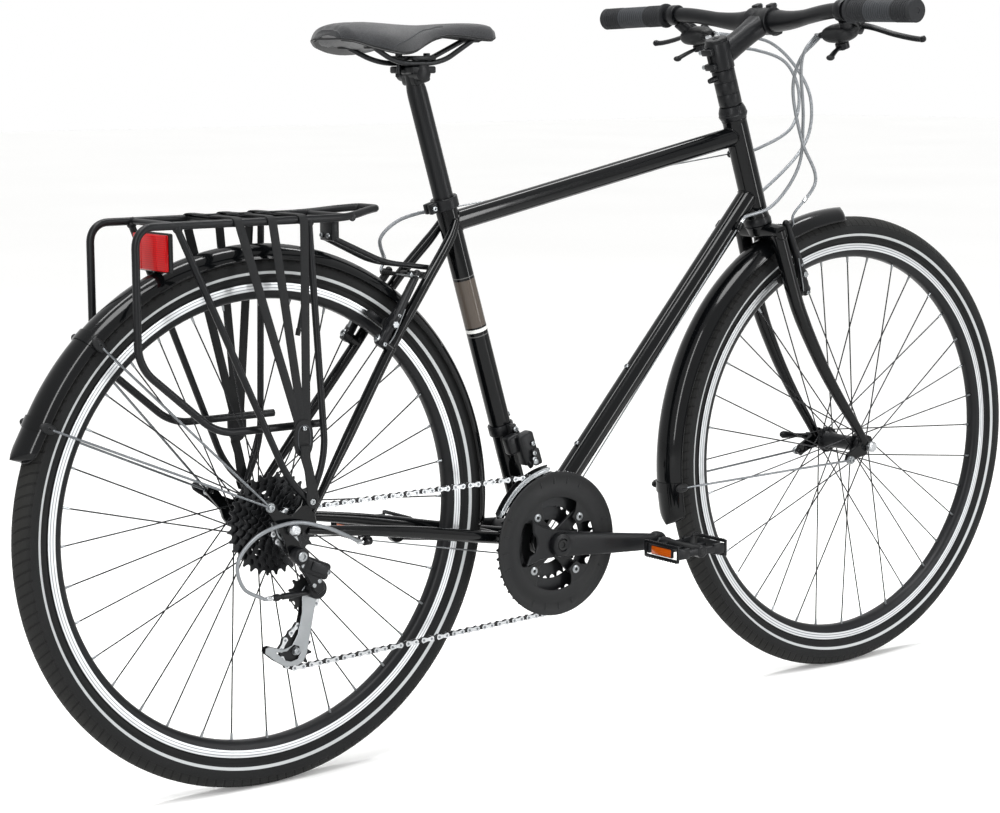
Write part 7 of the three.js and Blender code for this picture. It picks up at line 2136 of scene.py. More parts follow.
def sheet_ring(
        x: float, z: float, outer: float, angle: float, half: float, grow: float = 0.0, thick: float = 1.6
) -> list[Triple]:
    """Gives a fender's section at one angle.

    Args:
        x: Centre x.
        z: Centre z.
        outer: Radius of the crown.
        angle: Angle in degrees.
        half: Share of the half width.
        grow: How far it stands off the fender's own surface.
        thick: Thickness.

    Returns:
        The section's points.
    """
    profile = []
    for k in range(-10, 11):
        t = k / 10
        y = 25.0 * math.sin(t * 1.3) / math.sin(1.3)
        profile.append((y * half, outer - 18.0 * (1 - math.cos(t * 1.3)) / (1 - math.cos(1.3))))
    points = [(y * (1 + grow / 25), r + grow) for y, r in profile]
    under = [(y * (1 - (thick - grow) / 26), r - thick) for y, r in reversed(profile)]
    ring = []
    for y, r in points + under:
        p = polar(x, z, r, angle)
        ring.append((p[0], y, p[1]))
    return ring


@dataclass(frozen=True)
class Fender:
    """A fender with its bands and wires."""

    end: str
    body: str
    x: float
    radius: float
    start: float
    stop: float
    bands: tuple[float, ...]
    eye: Triple

    def skin(self) -> None:
        """Makes the fender itself, with rounded ends and a rolled edge."""
        shape = Shape(f"{self.end}_fender_skin")
        count = 120
        rings, edge = [], []
        for i in range(count + 1):
            share = i / count
            angle = self.start + (self.stop - self.start) * (1 - math.cos(math.pi * share)) / 2
            near = min(abs(angle - self.start), abs(angle - self.stop)) / 2.8
            half = max(math.sqrt(1 - max(1 - near, 0) ** 2), 0.14)
            flare = 5.0 * max(1 - abs(angle - self.stop) / 9, 0) ** 2 if self.end == "rear" else 0.0
            rings.append(sheet_ring(self.x, AXLE_Z, self.radius + flare, angle, half))
            edge.append(rings[-1][0])
        shape.loft(rings, FENDER)
        bead = resample(edge + mirror(reversed(edge)) + edge[:1], 260)[:-1]
        shape.sweep(bead, 1.1, FENDER, 8, closed=True)
        shape.build(self.body, f"{self.end}_fender")

    def stays(self) -> None:
        """Makes the wires and the bands that they hold."""
        shape = Shape(f"{self.end}_fender_wires")
        for band in self.bands:
            rings = [
                sheet_ring(self.x, AXLE_Z, self.radius, band - 1.2 + 2.4 * i / 3, 1.0, 1.4, 0.0)
                for i in range(4)]
            shape.loft(rings, FENDER)
            foot = polar(self.x, AXLE_Z, self.radius - 16.6, band)
            for side in (1, -1):
                holder = (foot[0], side * 27.2, foot[1])
                near = (self.eye[0], side * (self.eye[1] + 1.6), self.eye[2])
                slant = math.atan2(near[2] - holder[2], near[0] - holder[0])
                shape.ball(holder, (11.5, 4.2, 6.6), MATTE, Matrix.Rotation(-slant, 3, "Y"))
                shape.bolt((foot[0], side * 30.6, foot[1]), (0, side, 0), 2.4, 1.6, DARK)
                path = rounded(
                    [
                        (
                            foot[0] + (foot[0] - near[0]) * 0.03, side * 27.2,
                            foot[1] + (foot[1] - near[2]) * 0.03), lerp(holder, near, 0.5), near], 30, 6)
                shape.sweep(path, 1.6, WIRE, 10)
        for side in (1, -1):
            a, b = self.eye[1] - 2.4, self.eye[1] + 3.0
            shape.lathe(
                [
                    (2.7, side * a), (5.6, side * a), (6.2, side * (a + 0.8)), (6.2, side * (b - 0.8)),
                    (5.6, side * b), (2.7, side * b)], STEEL, (self.eye[0], 0, self.eye[2]), (0, 1, 0), 24)
            shape.turned(
                [
                    (2.6, side * (a - 3)), (2.6, side * b), (4.2, side * b), (4.2, side * (b + 2.2)),
                    (3.6, side * (b + 2.8)), (2, side * (b + 2.8)), (1.8, side * (b + 1.2))], STEEL,
                (self.eye[0], 0, self.eye[2]), (0, 1, 0), 18)
        shape.build(self.body, f"{self.end}_fender_stays")

    def build(self) -> None:
        """Makes the fender."""
        self.skin()
        self.stays()


@dataclass(frozen=True)
class Rack:
    """The rear rack with its straps and reflector."""

    deck: float = 738.0
    slats: tuple[float, ...] = (-146, -64, -18, 30, 110)

    def frame(self) -> None:
        """Makes the rack's welded frame."""
        shape = Shape("welded_rear_rack")
        half = [(56, 478), (-96, 478), (-204, 570), (-204, 738), (92, 738)]
        for side in (1, -1):
            rail = [(x, side * 58, z) for x, z in half] + [
                (118, side * 48, 740), (140, side * 36, 743), (162, side * 24, 745)]
            shape.sweep(rounded(rail, 25, 10), 5, SATIN, 16)
            for leg in (
                    [(-146, 58, 733), (-8, 79, 414), (24, 79, 383)],
                    [(42, 58, 733), (48, 79, 440), (24, 79, 383)]):
                shape.sweep(rounded([(x, side * y, z) for x, y, z in leg], 26, 8), 4.5, SATIN, 16)
            shape.turned(
                [(5.4, side * 74.4), (6.4, side * 75.2), (6.4, side * 82.2), (5.6, side * 83)], SATIN,
                (24, 0, 383), (0, 1, 0), 24)
            shape.turned(
                [
                    (4.4, side * 83), (4.4, side * 85.4), (3.8, side * 86), (2.2, side * 86),
                    (2.0, side * 84.6)], STEEL, (24, 0, 383), (0, 1, 0), 18)
            arm = [(110, side * 12, 708), (184.7, side * 17, 673.5), (252.7, side * 19, 663.5)]
            shape.sweep(rounded(arm, 20, 8), 3.6, SATIN, 14)
            shape.bolt((252.7, side * 22.6, 663.5), (0, side, 0), 3.6, 2.6, STEEL)
            for x, y, z in ((-146, 58, 733), (42, 58, 733)):
                shape.ball((x, side * y, z + 1), (6.4, 5.6, 6.0), SATIN)
        shape.sweep(
            rounded([(158, 26, 744.7), (171, 20, 745.4), (171, -20, 745.4), (158, -26, 744.7)], 8, 6), 5,
            SATIN, 16)
        for x in self.slats:
            shape.rod((x, -56, self.deck), (x, 56, self.deck), 4, SATIN, 16)
            for side in (1, -1):
                shape.turned([(4.4, side * 50), (5.6, side * 54.4)], SATIN, (x, 0, self.deck), (0, 1, 0), 16)
        shape.box((110, 0, 720), (12, 30, 30), SATIN, bevel=2.4)
        shape.bolt((103.6, 8, 712), (-1, 0, 0), 3.4, 2.4, STEEL)
        shape.bolt((103.6, -8, 712), (-1, 0, 0), 3.4, 2.4, STEEL)
        shape.build("frame_body", "rear_rack")

    def straps(self) -> None:
        """Makes the luggage straps and their plates."""
        shape = Shape("luggage_strap_set")
        for side in (1, -1):
            for x, foot in ((-64, 9), (-16, 14), (30, 19)):
                path = rounded(
                    [(x, 0, 744.4), (x, side * 62.2, 744.4), (x, side * 66, 736), (foot, side * 81, 480)],
                    9, 6)
                rings = []
                for i, p in enumerate(path):
                    before, after = path[max(i - 1, 0)], path[min(i + 1, len(path) - 1)]
                    run = (Vector(after) - Vector(before)).normalized()
                    wide = Vector((1, 0, 0))
                    wide = (wide - run * wide.dot(run)).normalized()
                    up = run.cross(wide)
                    corners = []
                    for k in range(12):
                        a = 2 * math.pi * k / 12
                        c, s = math.cos(a), math.sin(a)
                        spot = Vector(p) + wide * 6.3 * math.copysign(
                            abs(c) ** 0.4, c) + up * 1.0 * math.copysign(abs(s) ** 0.6, s)
                        corners.append(tuple(spot))
                    rings.append(corners)
                shape.loft(rings, STRAP)
            low, high = sorted((side * 79.4, side * 83.4))
            oval = [
                (
                    14 + 13.6 * math.copysign(abs(math.cos(a)) ** 0.8, math.cos(a)),
                    465 + 23.6 * math.copysign(abs(math.sin(a)) ** 0.8, math.sin(a)))
                for a in (2 * math.pi * k / 40 for k in range(40))]
            shape.plate(oval, low, high, STRAP, bevel=1.0)
            inner = [(14 + (x - 14) * 0.74, 465 + (z - 465) * 0.74) for x, z in oval]
            low, high = sorted((side * 83.2, side * 84.4))
            hole = [(14 + (x - 14) * 0.62, 465 + (z - 465) * 0.66) for x, z in oval]
            shape.plate(inner, low, high, GRIP_PALE, [hole], 0.4)
            shape.bolt((14, side * 84.2, 478), (0, side, 0), 3.0, 2.0, STEEL)
            low, high = sorted((side * 84.6, side * 87.4))
            tab = [
                (7, 456), (7, 440), (12, 424), (15, 400), (14, 386), (17, 377), (24, 374), (31, 377),
                (33, 386), (30, 402), (25, 424), (21, 440), (21, 456)]
            shape.plate(tab, low, high, STRAP, [disc(24, 383, 4.6, 16)], 0.8)
        for x in (-64, -16, 30):
            shape.box((x, 0, 745.2), (17, 8, 2.6), STRAP, bevel=0.8)
        shape.build("frame_body", "luggage_straps")

    def reflector(self) -> None:
        """Makes the red reflector on its bracket."""
        shape = Shape("red_rear_reflector")
        shape.box((-146.4, 0, 703), (5.6, 86, 49), MATTE, bevel=2.2, segments=3)
        shape.box((-151.6, 0, 703), (5.6, 82, 45), RED, bevel=1.8, segments=3)
        for side in (1, -1):
            shape.box((-152.0, side * 20, 703), (5.6, 1.6, 43), RED, bevel=0.5, segments=1)
        foot = polar(-5, AXLE_Z, 362, 113)
        shape.sweep(rounded([(-145, 0, 690), (-144, 0, 684), (foot[0], 0, foot[1] - 2)], 6, 5), 4.6, DARK, 16)
        shape.bolt((-143.6, 0, 704), (1, 0, 0), 5, 3, STEEL)
        shape.build("frame_body", "reflector")

    def build(self) -> None:
        """Makes the rack."""
        self.frame()
        self.straps()
        self.reflector()


@dataclass(frozen=True)
class Brake:
    """One linear-pull arm, in a frame with X along its boss and Z up the arm."""

    end: str
    side: int
    out: float
    up: float
    rise: float

    def at(self, x: float, y: float, h: float) -> Triple:
        """Turns a point of the arm's frame into the bicycle's.

        Args:
            x: Along the boss.
            y: To the left.
            h: Up the arm.

        Returns:
            The point in bicycle millimetres.
        """
        if self.end == "front":
            return steer(x + BRAKE_AHEAD, y, h - 123.35)
        return (176 - 0.8 * x + 0.6 * h, y, 563 + 0.6 * x + 0.8 * h)

    def build(self) -> None:
        """Makes the arm with its shoe, spring and cable end."""
        name = f"{self.end}_{'left' if self.side > 0 else 'right'}_brake"
        shape = Shape(f"{name}_linear_pull_arm")
        side, mid = self.side, 18.15
        axis = tuple(Vector(self.at(1, 0, 0)) - Vector(self.at(0, 0, 0)))
        pivot = self.at(0, side * 40, 0)
        shape.lathe(
            [(4.3, 12.5), (6.9, 12.5), (7.5, 13.2), (7.5, 23.2), (6.9, 23.9), (4.3, 23.9)], SATIN, pivot,
            axis, 28)
        shape.turned(
            [(5.4, 24.0), (5.4, 26.4), (4.6, 27.4), (2.7, 27.4), (2.4, 25.8)], STEEL, pivot, axis, 20)
        stations = [(mid, 40, 0), (mid, 42, 36.75), (mid, 38, 68.25), (mid, 33, 105)]
        path = smooth_path([self.at(x, side * y, h) for x, y, h in stations], 26)
        radii = [6.6 - 1.8 * i / 26 for i in range(27)]
        flat = Matrix(
            [
                Vector(self.at(1, 0, 0)) - Vector(self.at(0, 0, 0)), Vector((0, 1, 0)),
                Vector(self.at(0, 0, 1)) - Vector(self.at(0, 0, 0))]).transposed()
        shape.box(self.at(mid, side * 41.5, 4), (13, 12, 24), SATIN, flat, 3.4, 3)
        shape.box(self.at(mid + 1, side * 39.5, self.rise + 10), (12, 8, 22), SATIN, flat, 2.4, 2)
        shape.bolt(self.at(mid - 2, side * 47.4, -3), (0, side, 0), 2.6, 3.0, STEEL)
        shape.sweep(path, radii, SATIN, 20, flat=1.25, upright=axis)
        top = self.at(mid, side * 33, 105)
        shape.ball(top, (5.4, 5.4, 5.4), SATIN, segments=16)
        place = self.at(mid, side * 18.3, self.rise)
        ahead = BRAKE_AHEAD if self.end == "front" else 0.0
        lean = math.atan2(mid + ahead - self.out, self.rise - self.up)
        turn = flat @ Matrix.Rotation(lean, 3, "Y")
        shape.box(place, (53.6, 8.6, 8.8), RUBBER, turn, 1.8, 3)
        for k in (-18, -9, 0, 9, 18):
            spot = Vector(place) + turn @ Vector((k, -side * 4.1, 0))
            shape.box(tuple(spot), (1.2, 1.0, 8.9), MATTE, turn, 0.2, 1)
        holder = Vector(place) + turn @ Vector((0, side * 3.0, 0))
        shape.box(tuple(holder), (50, 3.4, 7.4), SATIN, turn, 1.2, 2)
        shape.rod(place, self.at(mid, side * 49, self.rise), 3, STEEL, 14)
        for y, r, finish in ((27, 6.4, DARK), (30.5, 7.6, MATTE), (34, 6.0, DARK), (46.6, 7.4, MATTE)):
            at = self.at(mid, side * y, self.rise)
            shape.turned([(r * 0.8, -1.5), (r, -0.8), (r, 0.8), (r * 0.8, 1.5)], finish, at, (0, 1, 0), 22)
        nut = self.at(mid, side * 49.6, self.rise)
        shape.turned(
            [(4.6, side * -1.6), (4.8, side * -1.2), (4.8, side * 2.4), (4.2, side * 3)], STEEL, nut,
            (0, 1, 0), 6)
        spring = [
            self.at(9.8, side * 47.4, 2), self.at(10.2, side * 48.8, 14), self.at(12.4, side * 48.2, 34),
            self.at(15, side * 47.2, 52)]
        shape.sweep(smooth_path(spring, 18), 0.9, STEEL, 8)
        shape.bolt(self.at(mid, side * 46.8, 40), (0, side, 0), 2.4, 2.4, STEEL)
        boss = self.at(mid, side * 33, 98)
        noodle_side = -1 if self.end == "front" else 1
        if side == noodle_side:
            shape.box(self.at(24.4, side * 32.5, 99), (4.2, 6.8, 9.0), DARK, flat, 1.0)
            shape.rod(self.at(mid, side * 33, 99), self.at(24, side * 33, 99), 3.2, STEEL, 14)
            shape.rod(self.at(23.5, side * 29, 98), self.at(23.5, -side * 48, 98), 1.0, STEEL, 8)
            near, far = Vector(self.at(24.4, side * 29.4, 98)), Vector(self.at(24.0, side * 4, 98))
            boot = [
                (3.6 - 1.3 * i / 24 + 0.45 * math.cos(math.pi * i / 2), (far - near).length * i / 24)
                for i in range(25)]
            shape.turned(boot, RUBBER, tuple(near), tuple(far - near), 16)
        else:
            shape.rod(boss, self.at(25.8, side * 33, 98), 3.2, STEEL, 14)
            shape.bolt(self.at(25.6, side * 33, 98), axis, 4.2, 3.0, STEEL)
        shape.build(name, f"{name}_arm")


@dataclass(frozen=True)
class Cockpit:
    """Stem, bar, grips, brake levers and shifters."""

    pivot: Triple = (126.5, 166.0, 251.0)
    swing: Triple = (0.7986, 0.0, 0.6018)
    lever_reach: float = 118.0
    lever_drop: float = 26.0
    grip_from: float = 195.0
    grip_to: float = 330.0

    def bar_at(self, y: float) -> Triple:
        """Gives the bar's axis at a distance to the side, in the steering frame.

        Args:
            y: Distance to the left.

        Returns:
            The point as out, y and up.
        """
        a = abs(y)
        t = min(max((a - 40) / 135, 0), 1)
        return (97 - 22 * max(a - 40, 0) / 290, y, 269 + 16 * t * t * (3 - 2 * t))

    def bar(self) -> None:
        """Makes the handlebar."""
        shape = Shape("rise_handlebar")
        ys = [-329 + 658 * i / 140 for i in range(141)]
        path = [steer(*self.bar_at(y)) for y in ys]
        radii = [15.9 - 4.8 * min(max((abs(y) - 36) / 60, 0), 1) ** 0.8 for y in ys]
        shape.sweep(path, radii, SATIN, 28, flat=1.0001, upright=(0, 0, 1))
        shape.build("steering", "handlebar")

    def stem(self) -> None:
        """Makes the spacers, the stem, its faceplate and its bolts."""
        axis, out = (UP[0], 0, UP[1]), (OUT[0], 0, OUT[1])
        spacers = Shape("headset_spacer_stack")
        for k in range(3):
            low = 174.5 + 17.67 * k
            spacers.lathe(
                [
                    (14.6, low + 0.1), (16.6, low + 0.1), (17, low + 0.7), (17, low + 16.9),
                    (16.6, low + 17.5), (14.6, low + 17.5)], SATIN, steer(0, 0, 0), axis, 40)
        spacers.sweep(
            [steer(-14, 0, 218.7), steer(-24, 0, 218.7), steer(-30, 0, 218.7)], [4.6, 4.2, 3.6], SATIN, 14)
        spacers.build("steering", "headset_spacers")
        shape = Shape("threadless_stem")
        shape.turned(
            [
                (17.2, 228), (18.4, 229), (18.4, 266.6), (17.4, 268), (16.6, 268), (16.4, 269),
                (16.4, 272.6), (14.8, 274), (5.2, 274), (5.0, 272.6)], SATIN, steer(0, 0, 0), axis, 44)
        shape.turned(
            [(4.6, 272), (4.6, 274.6), (4.0, 275.2), (2.4, 275.2), (2.2, 273.8)], DARK, steer(0, 0, 0),
            axis, 18)
        rings = []
        for i in range(15):
            t = i / 14
            c = Vector(steer(9.2 + (84 - 9.2) * t, 0, 248 + 18.5 * t))
            wide, high = 16.2 - 0.8 * math.sin(
                math.pi * t) + 4.2 * max(t - 0.72, 0) / 0.28, 16.6 - 0.8 * math.sin(math.pi * t)
            run = (Vector(steer(84, 0, 266.5)) - Vector(steer(9.2, 0, 248))).normalized()
            up = Vector((-run.z, 0, run.x))
            ring = []
            for k in range(28):
                a = 2 * math.pi * k / 28
                ca, sa = math.cos(a), math.sin(a)
                ring.append(
                    tuple(
                        c + Vector((0, 1, 0)) * wide * math.copysign(abs(ca) ** 0.8, ca)
                        + up * high * math.copysign(abs(sa) ** 0.8, sa)))
            rings.append(ring)
        shape.loft(rings, SATIN)
        centre = steer(97, 0, 269)
        shape.lathe(
            [
                (16.0, -22.5), (19.6, -22.5), (20.4, -21.6), (20.4, -8), (19.6, -6.4), (19.6, 6.4),
                (20.4, 8), (20.4, 21.6), (19.6, 22.5), (16.0, 22.5)], SATIN, centre, (0, 1, 0), 48)
        turn = Matrix.Rotation(HEAD_ANGLE - math.pi / 2, 3, "Y")
        for up in (1, -1):
            for y in (-15, 15):
                spot = steer(105, y, 269 + up * 19.4)
                shape.box(spot, (13, 11, 8.6), SATIN, turn, 1.8)
                shape.bolt(steer(111.2, y, 269 + up * 19.4), out, 3.6, 3.2, STEEL)
        for up in (237, 259):
            shape.bolt(steer(-21.5, 9.6, up), (0, 1, 0), 3.4, 6, STEEL)
            shape.box(steer(-20.5, 0, up), (9, 20, 9.6), SATIN, turn, 1.8)
        shape.box(steer(-20.2, 0, 248), (7, 1.6, 36), MATTE, turn, 0.2, 1)
        shape.build("steering", "stem")

    def grip(self, side: int) -> None:
        """Makes one ribbed two-tone grip.

        Args:
            side: 1 for left and -1 for right.
        """
        name = "left" if side > 0 else "right"
        shape = Shape(f"{name}_ribbed_grip")
        a, b = Vector(steer(*self.bar_at(self.grip_from))), Vector(steer(*self.bar_at(self.grip_to)))
        run = (b - a).normalized()
        foot = (a.x, side * a.y, a.z)
        axis = (run.x, side * run.y, run.z)
        length = (b - a).length
        core = [(11.2, 0.4), (16.6, 0.4), (18.2, 1.4), (18.5, 3.6), (18.0, 6.2), (15.6, 7.6)]
        core += [
            (15.4, 9), (15.3, length - 9), (16.2, length - 6), (16.4, length - 2.4), (15.0, length - 0.6),
            (4.4, length - 0.2), (4.2, length - 1.0)]
        shape.turned(core, GRIP, foot, axis, 40)
        n = 26
        for k in range(n):
            y = 10.5 + (length - 21) * k / (n - 1)
            finish = GRIP_PALE if 7 <= k <= 18 else GRIP
            lift = 16.2 if finish is GRIP else 15.9
            shape.lathe(
                [
                    (15.1, y - 1.7), (lift - 0.3, y - 1.5), (lift + 0.15, y), (lift - 0.3, y + 1.5),
                    (15.1, y + 1.7)], finish, foot, axis, 40)
        shape.build("steering", f"{name}_grip")

    def control(self, side: int) -> None:
        """Makes one brake bracket with its shifter body and adjusters.

        Args:
            side: 1 for left and -1 for right.
        """
        name = "left" if side > 0 else "right"
        shape = Shape(f"{name}_brake_bracket_and_shifter")
        c = self.bar_at(178)
        shape.lathe(
            [(11.4, -7), (14.6, -7), (15.2, -6.2), (15.2, 6.2), (14.6, 7), (11.4, 7)], SATIN,
            steer(c[0], side * 178, c[2]), (0, 1, 0), 36)
        turn = Matrix.Rotation(HEAD_ANGLE - math.pi / 2, 3, "Y")
        shape.box(steer(c[0] + 10, side * 178, c[2] - 13.5), (15, 13, 13), SATIN, turn, 2.4, 3)
        shape.bolt(steer(c[0] + 10.5, side * 178, c[2] - 19.4), (-UP[0], 0, -UP[1]), 3.4, 3, STEEL)
        pod = (c[0] + 10, 152, c[2] - 36)
        rings = []
        for i in range(21):
            t = -1 + 2 * i / 20
            r = (1 - abs(t) ** 2.6) ** 0.5 if 0 < i < 20 else 0.12
            ring = []
            for k in range(28):
                a = 2 * math.pi * k / 28
                ca, sa = math.cos(a), math.sin(a)
                ring.append(
                    steer(
                        pod[0] + 19.6 * r * math.copysign(abs(ca) ** 0.85, ca), side * (pod[1] + 30.4 * t),
                        pod[2] + 12.8 * r * math.copysign(abs(sa) ** 0.85, sa)))
            rings.append(ring)
        shape.loft(rings, MATTE)
        shape.ball(steer(pod[0] + 1.0, side * 154, pod[2] + 5.6), (14, 19, 8.4), SATIN, turn, 28)
        for k in range(4):
            shape.ball(
                steer(pod[0] + 13.2, side * (142 + 6 * k), pod[2] + 8.2), (1.3, 1.8, 1.1), SILVER, turn, 12)
        shape.sweep(
            [
                steer(c[0], side * 176, c[2] - 12), steer(c[0] + 6, side * 172, c[2] - 22),
                steer(pod[0], side * 166, pod[2] + 3)], [8.5, 8.6, 9.6], SATIN, 20)
        la = Vector(self.swing)
        pivot = Vector(self.pivot)
        foot, tip = pivot - la * 4.35, pivot - la * 11.35
        near, far = steer(foot.x, side * foot.y, foot.z), steer(tip.x, side * tip.y, tip.z)
        shape.turned(
            [(7.0, 0), (7.5, 0.7), (7.5, 6.3), (7.0, 7)], SATIN, near, tuple(Vector(far) - Vector(near)), 24
        )
        other = pivot + la * 4.35
        mid = (foot + tip) / 2
        path = [
            steer(c[0] + 7, side * 178, c[2] - 15), steer(c[0] + 22, side * 174, c[2] - 24),
            steer(mid.x - 4, side * 167, mid.z)]
        shape.sweep(smooth_path(path, 12), [6.4 - 1.4 * i / 12 for i in range(13)], SATIN, 18)
        cap = steer(other.x, side * other.y, other.z)
        shape.turned(
            [(3.8, 0), (3.8, 1.6), (3.2, 2.2), (1.8, 2.2), (1.6, 1.2)], STEEL, cap,
            tuple(Vector(steer(la.x, 0, la.z)) - Vector(steer(0, 0, 0))), 18)
        for row in (1, -1):
            x = pod[0] + row * 9
            a, b = steer(x, side * 135, pod[2]), steer(x, side * 121, pod[2])
            shape.turned(
                [(4.4, 0), (4.4, 4.2), (3.4, 4.6), (3.4, 5.6), (4.2, 6), (4.2, 12.4), (3.6, 13.8)], SATIN,
                a, tuple(Vector(b) - Vector(a)), 20)
            for k in range(10):
                g = math.radians(36 * k)
                shape.rod(
                    steer(x + 4.1 * math.cos(g), side * 128.6, pod[2] + 4.1 * math.sin(g)),
                    steer(x + 4.1 * math.cos(g), side * 123, pod[2] + 4.1 * math.sin(g)), 0.55, SATIN, 6)
        shape.build("steering", f"{name}_control")

    def lever(self, side: int) -> None:
        """Makes one brake lever.

        Args:
            side: 1 for left and -1 for right.
        """
        name = "left" if side > 0 else "right"
        shape = Shape(f"{name}_brake_lever_blade")
        la = Vector(self.swing)
        out = Vector((0.6018, 0, -0.7986))
        pivot = Vector(self.pivot)

        def at(along: float, forward: float) -> Triple:
            """Gives a point by its run along the lever and its distance ahead of the pivot."""
            p = pivot - out * forward
            return steer(
                p.x, side * (p.y + along), p.z - self.lever_drop * max(along / self.lever_reach, 0) ** 0.9)

        world_axis = Vector(steer(la.x, 0, la.z)) - Vector(steer(0, 0, 0))
        shape.turned(
            [(6.8, -3.9), (7.5, -3.2), (7.5, 3.2), (6.8, 3.9)], SATIN, at(0, 0), tuple(world_axis), 24)
        path = smooth_path(
            [at(0, 0), at(25.96, 4), at(59, 0.4), at(94.4, 1.4), at(112, 4.2), at(117.4, 6.6)], 40)
        radii = [4.9 - 0.6 * min(i / 14, 1) for i in range(41)]
        for i in (38, 39, 40):
            radii[i] = 4.3 + 0.5 * (i - 38)
        shape.sweep(path, radii, SATIN, 20, flat=0.66, upright=tuple(world_axis))
        shape.ball(at(117.4, 6.6), (4.6, 4.6, 4.6), SATIN, segments=16)
        shape.build(f"{name}_brake_lever", f"{name}_brake_lever")

    def shifter(self, side: int) -> None:
        """Makes one shift lever.

        Args:
            side: 1 for left and -1 for right.
        """
        name = "left" if side > 0 else "right"
        shape = Shape(f"{name}_shift_lever_blade")
        axis = (UP[0], 0, UP[1])
        shape.turned(
            [(9.2, -4.9), (10, -4.2), (10, 4.2), (9.2, 4.9)], SATIN, steer(96.53, side * 152, 230.65), axis,
            28)
        shape.bolt(steer(96.53, side * 152, 225.8), (-UP[0], 0, -UP[1]), 3.4, 2.0, STEEL)
        path = smooth_path(
            [steer(96.5, side * 152, 230.65), steer(76, side * 157, 228.6), steer(58.2, side * 163.4, 225)],
            14)
        shape.sweep(
            path, [3.9 + 1.6 * i / 14 for i in range(15)], SATIN, 18, flat=0.62,
            upright=(OUT[0] * 0.2, 1, 0))
        shape.ball(steer(58.2, side * 163.4, 225), (6.4, 5.6, 4.2), MATTE, segments=20)
        shape.build(f"{name}_shift_lever", f"{name}_shift_lever")

    def build(self) -> None:
        """Makes the cockpit."""
        self.bar()
        self.stem()
        for side in (1, -1):
            self.grip(side)
            self.control(side)
            self.lever(side)
            self.shifter(side)


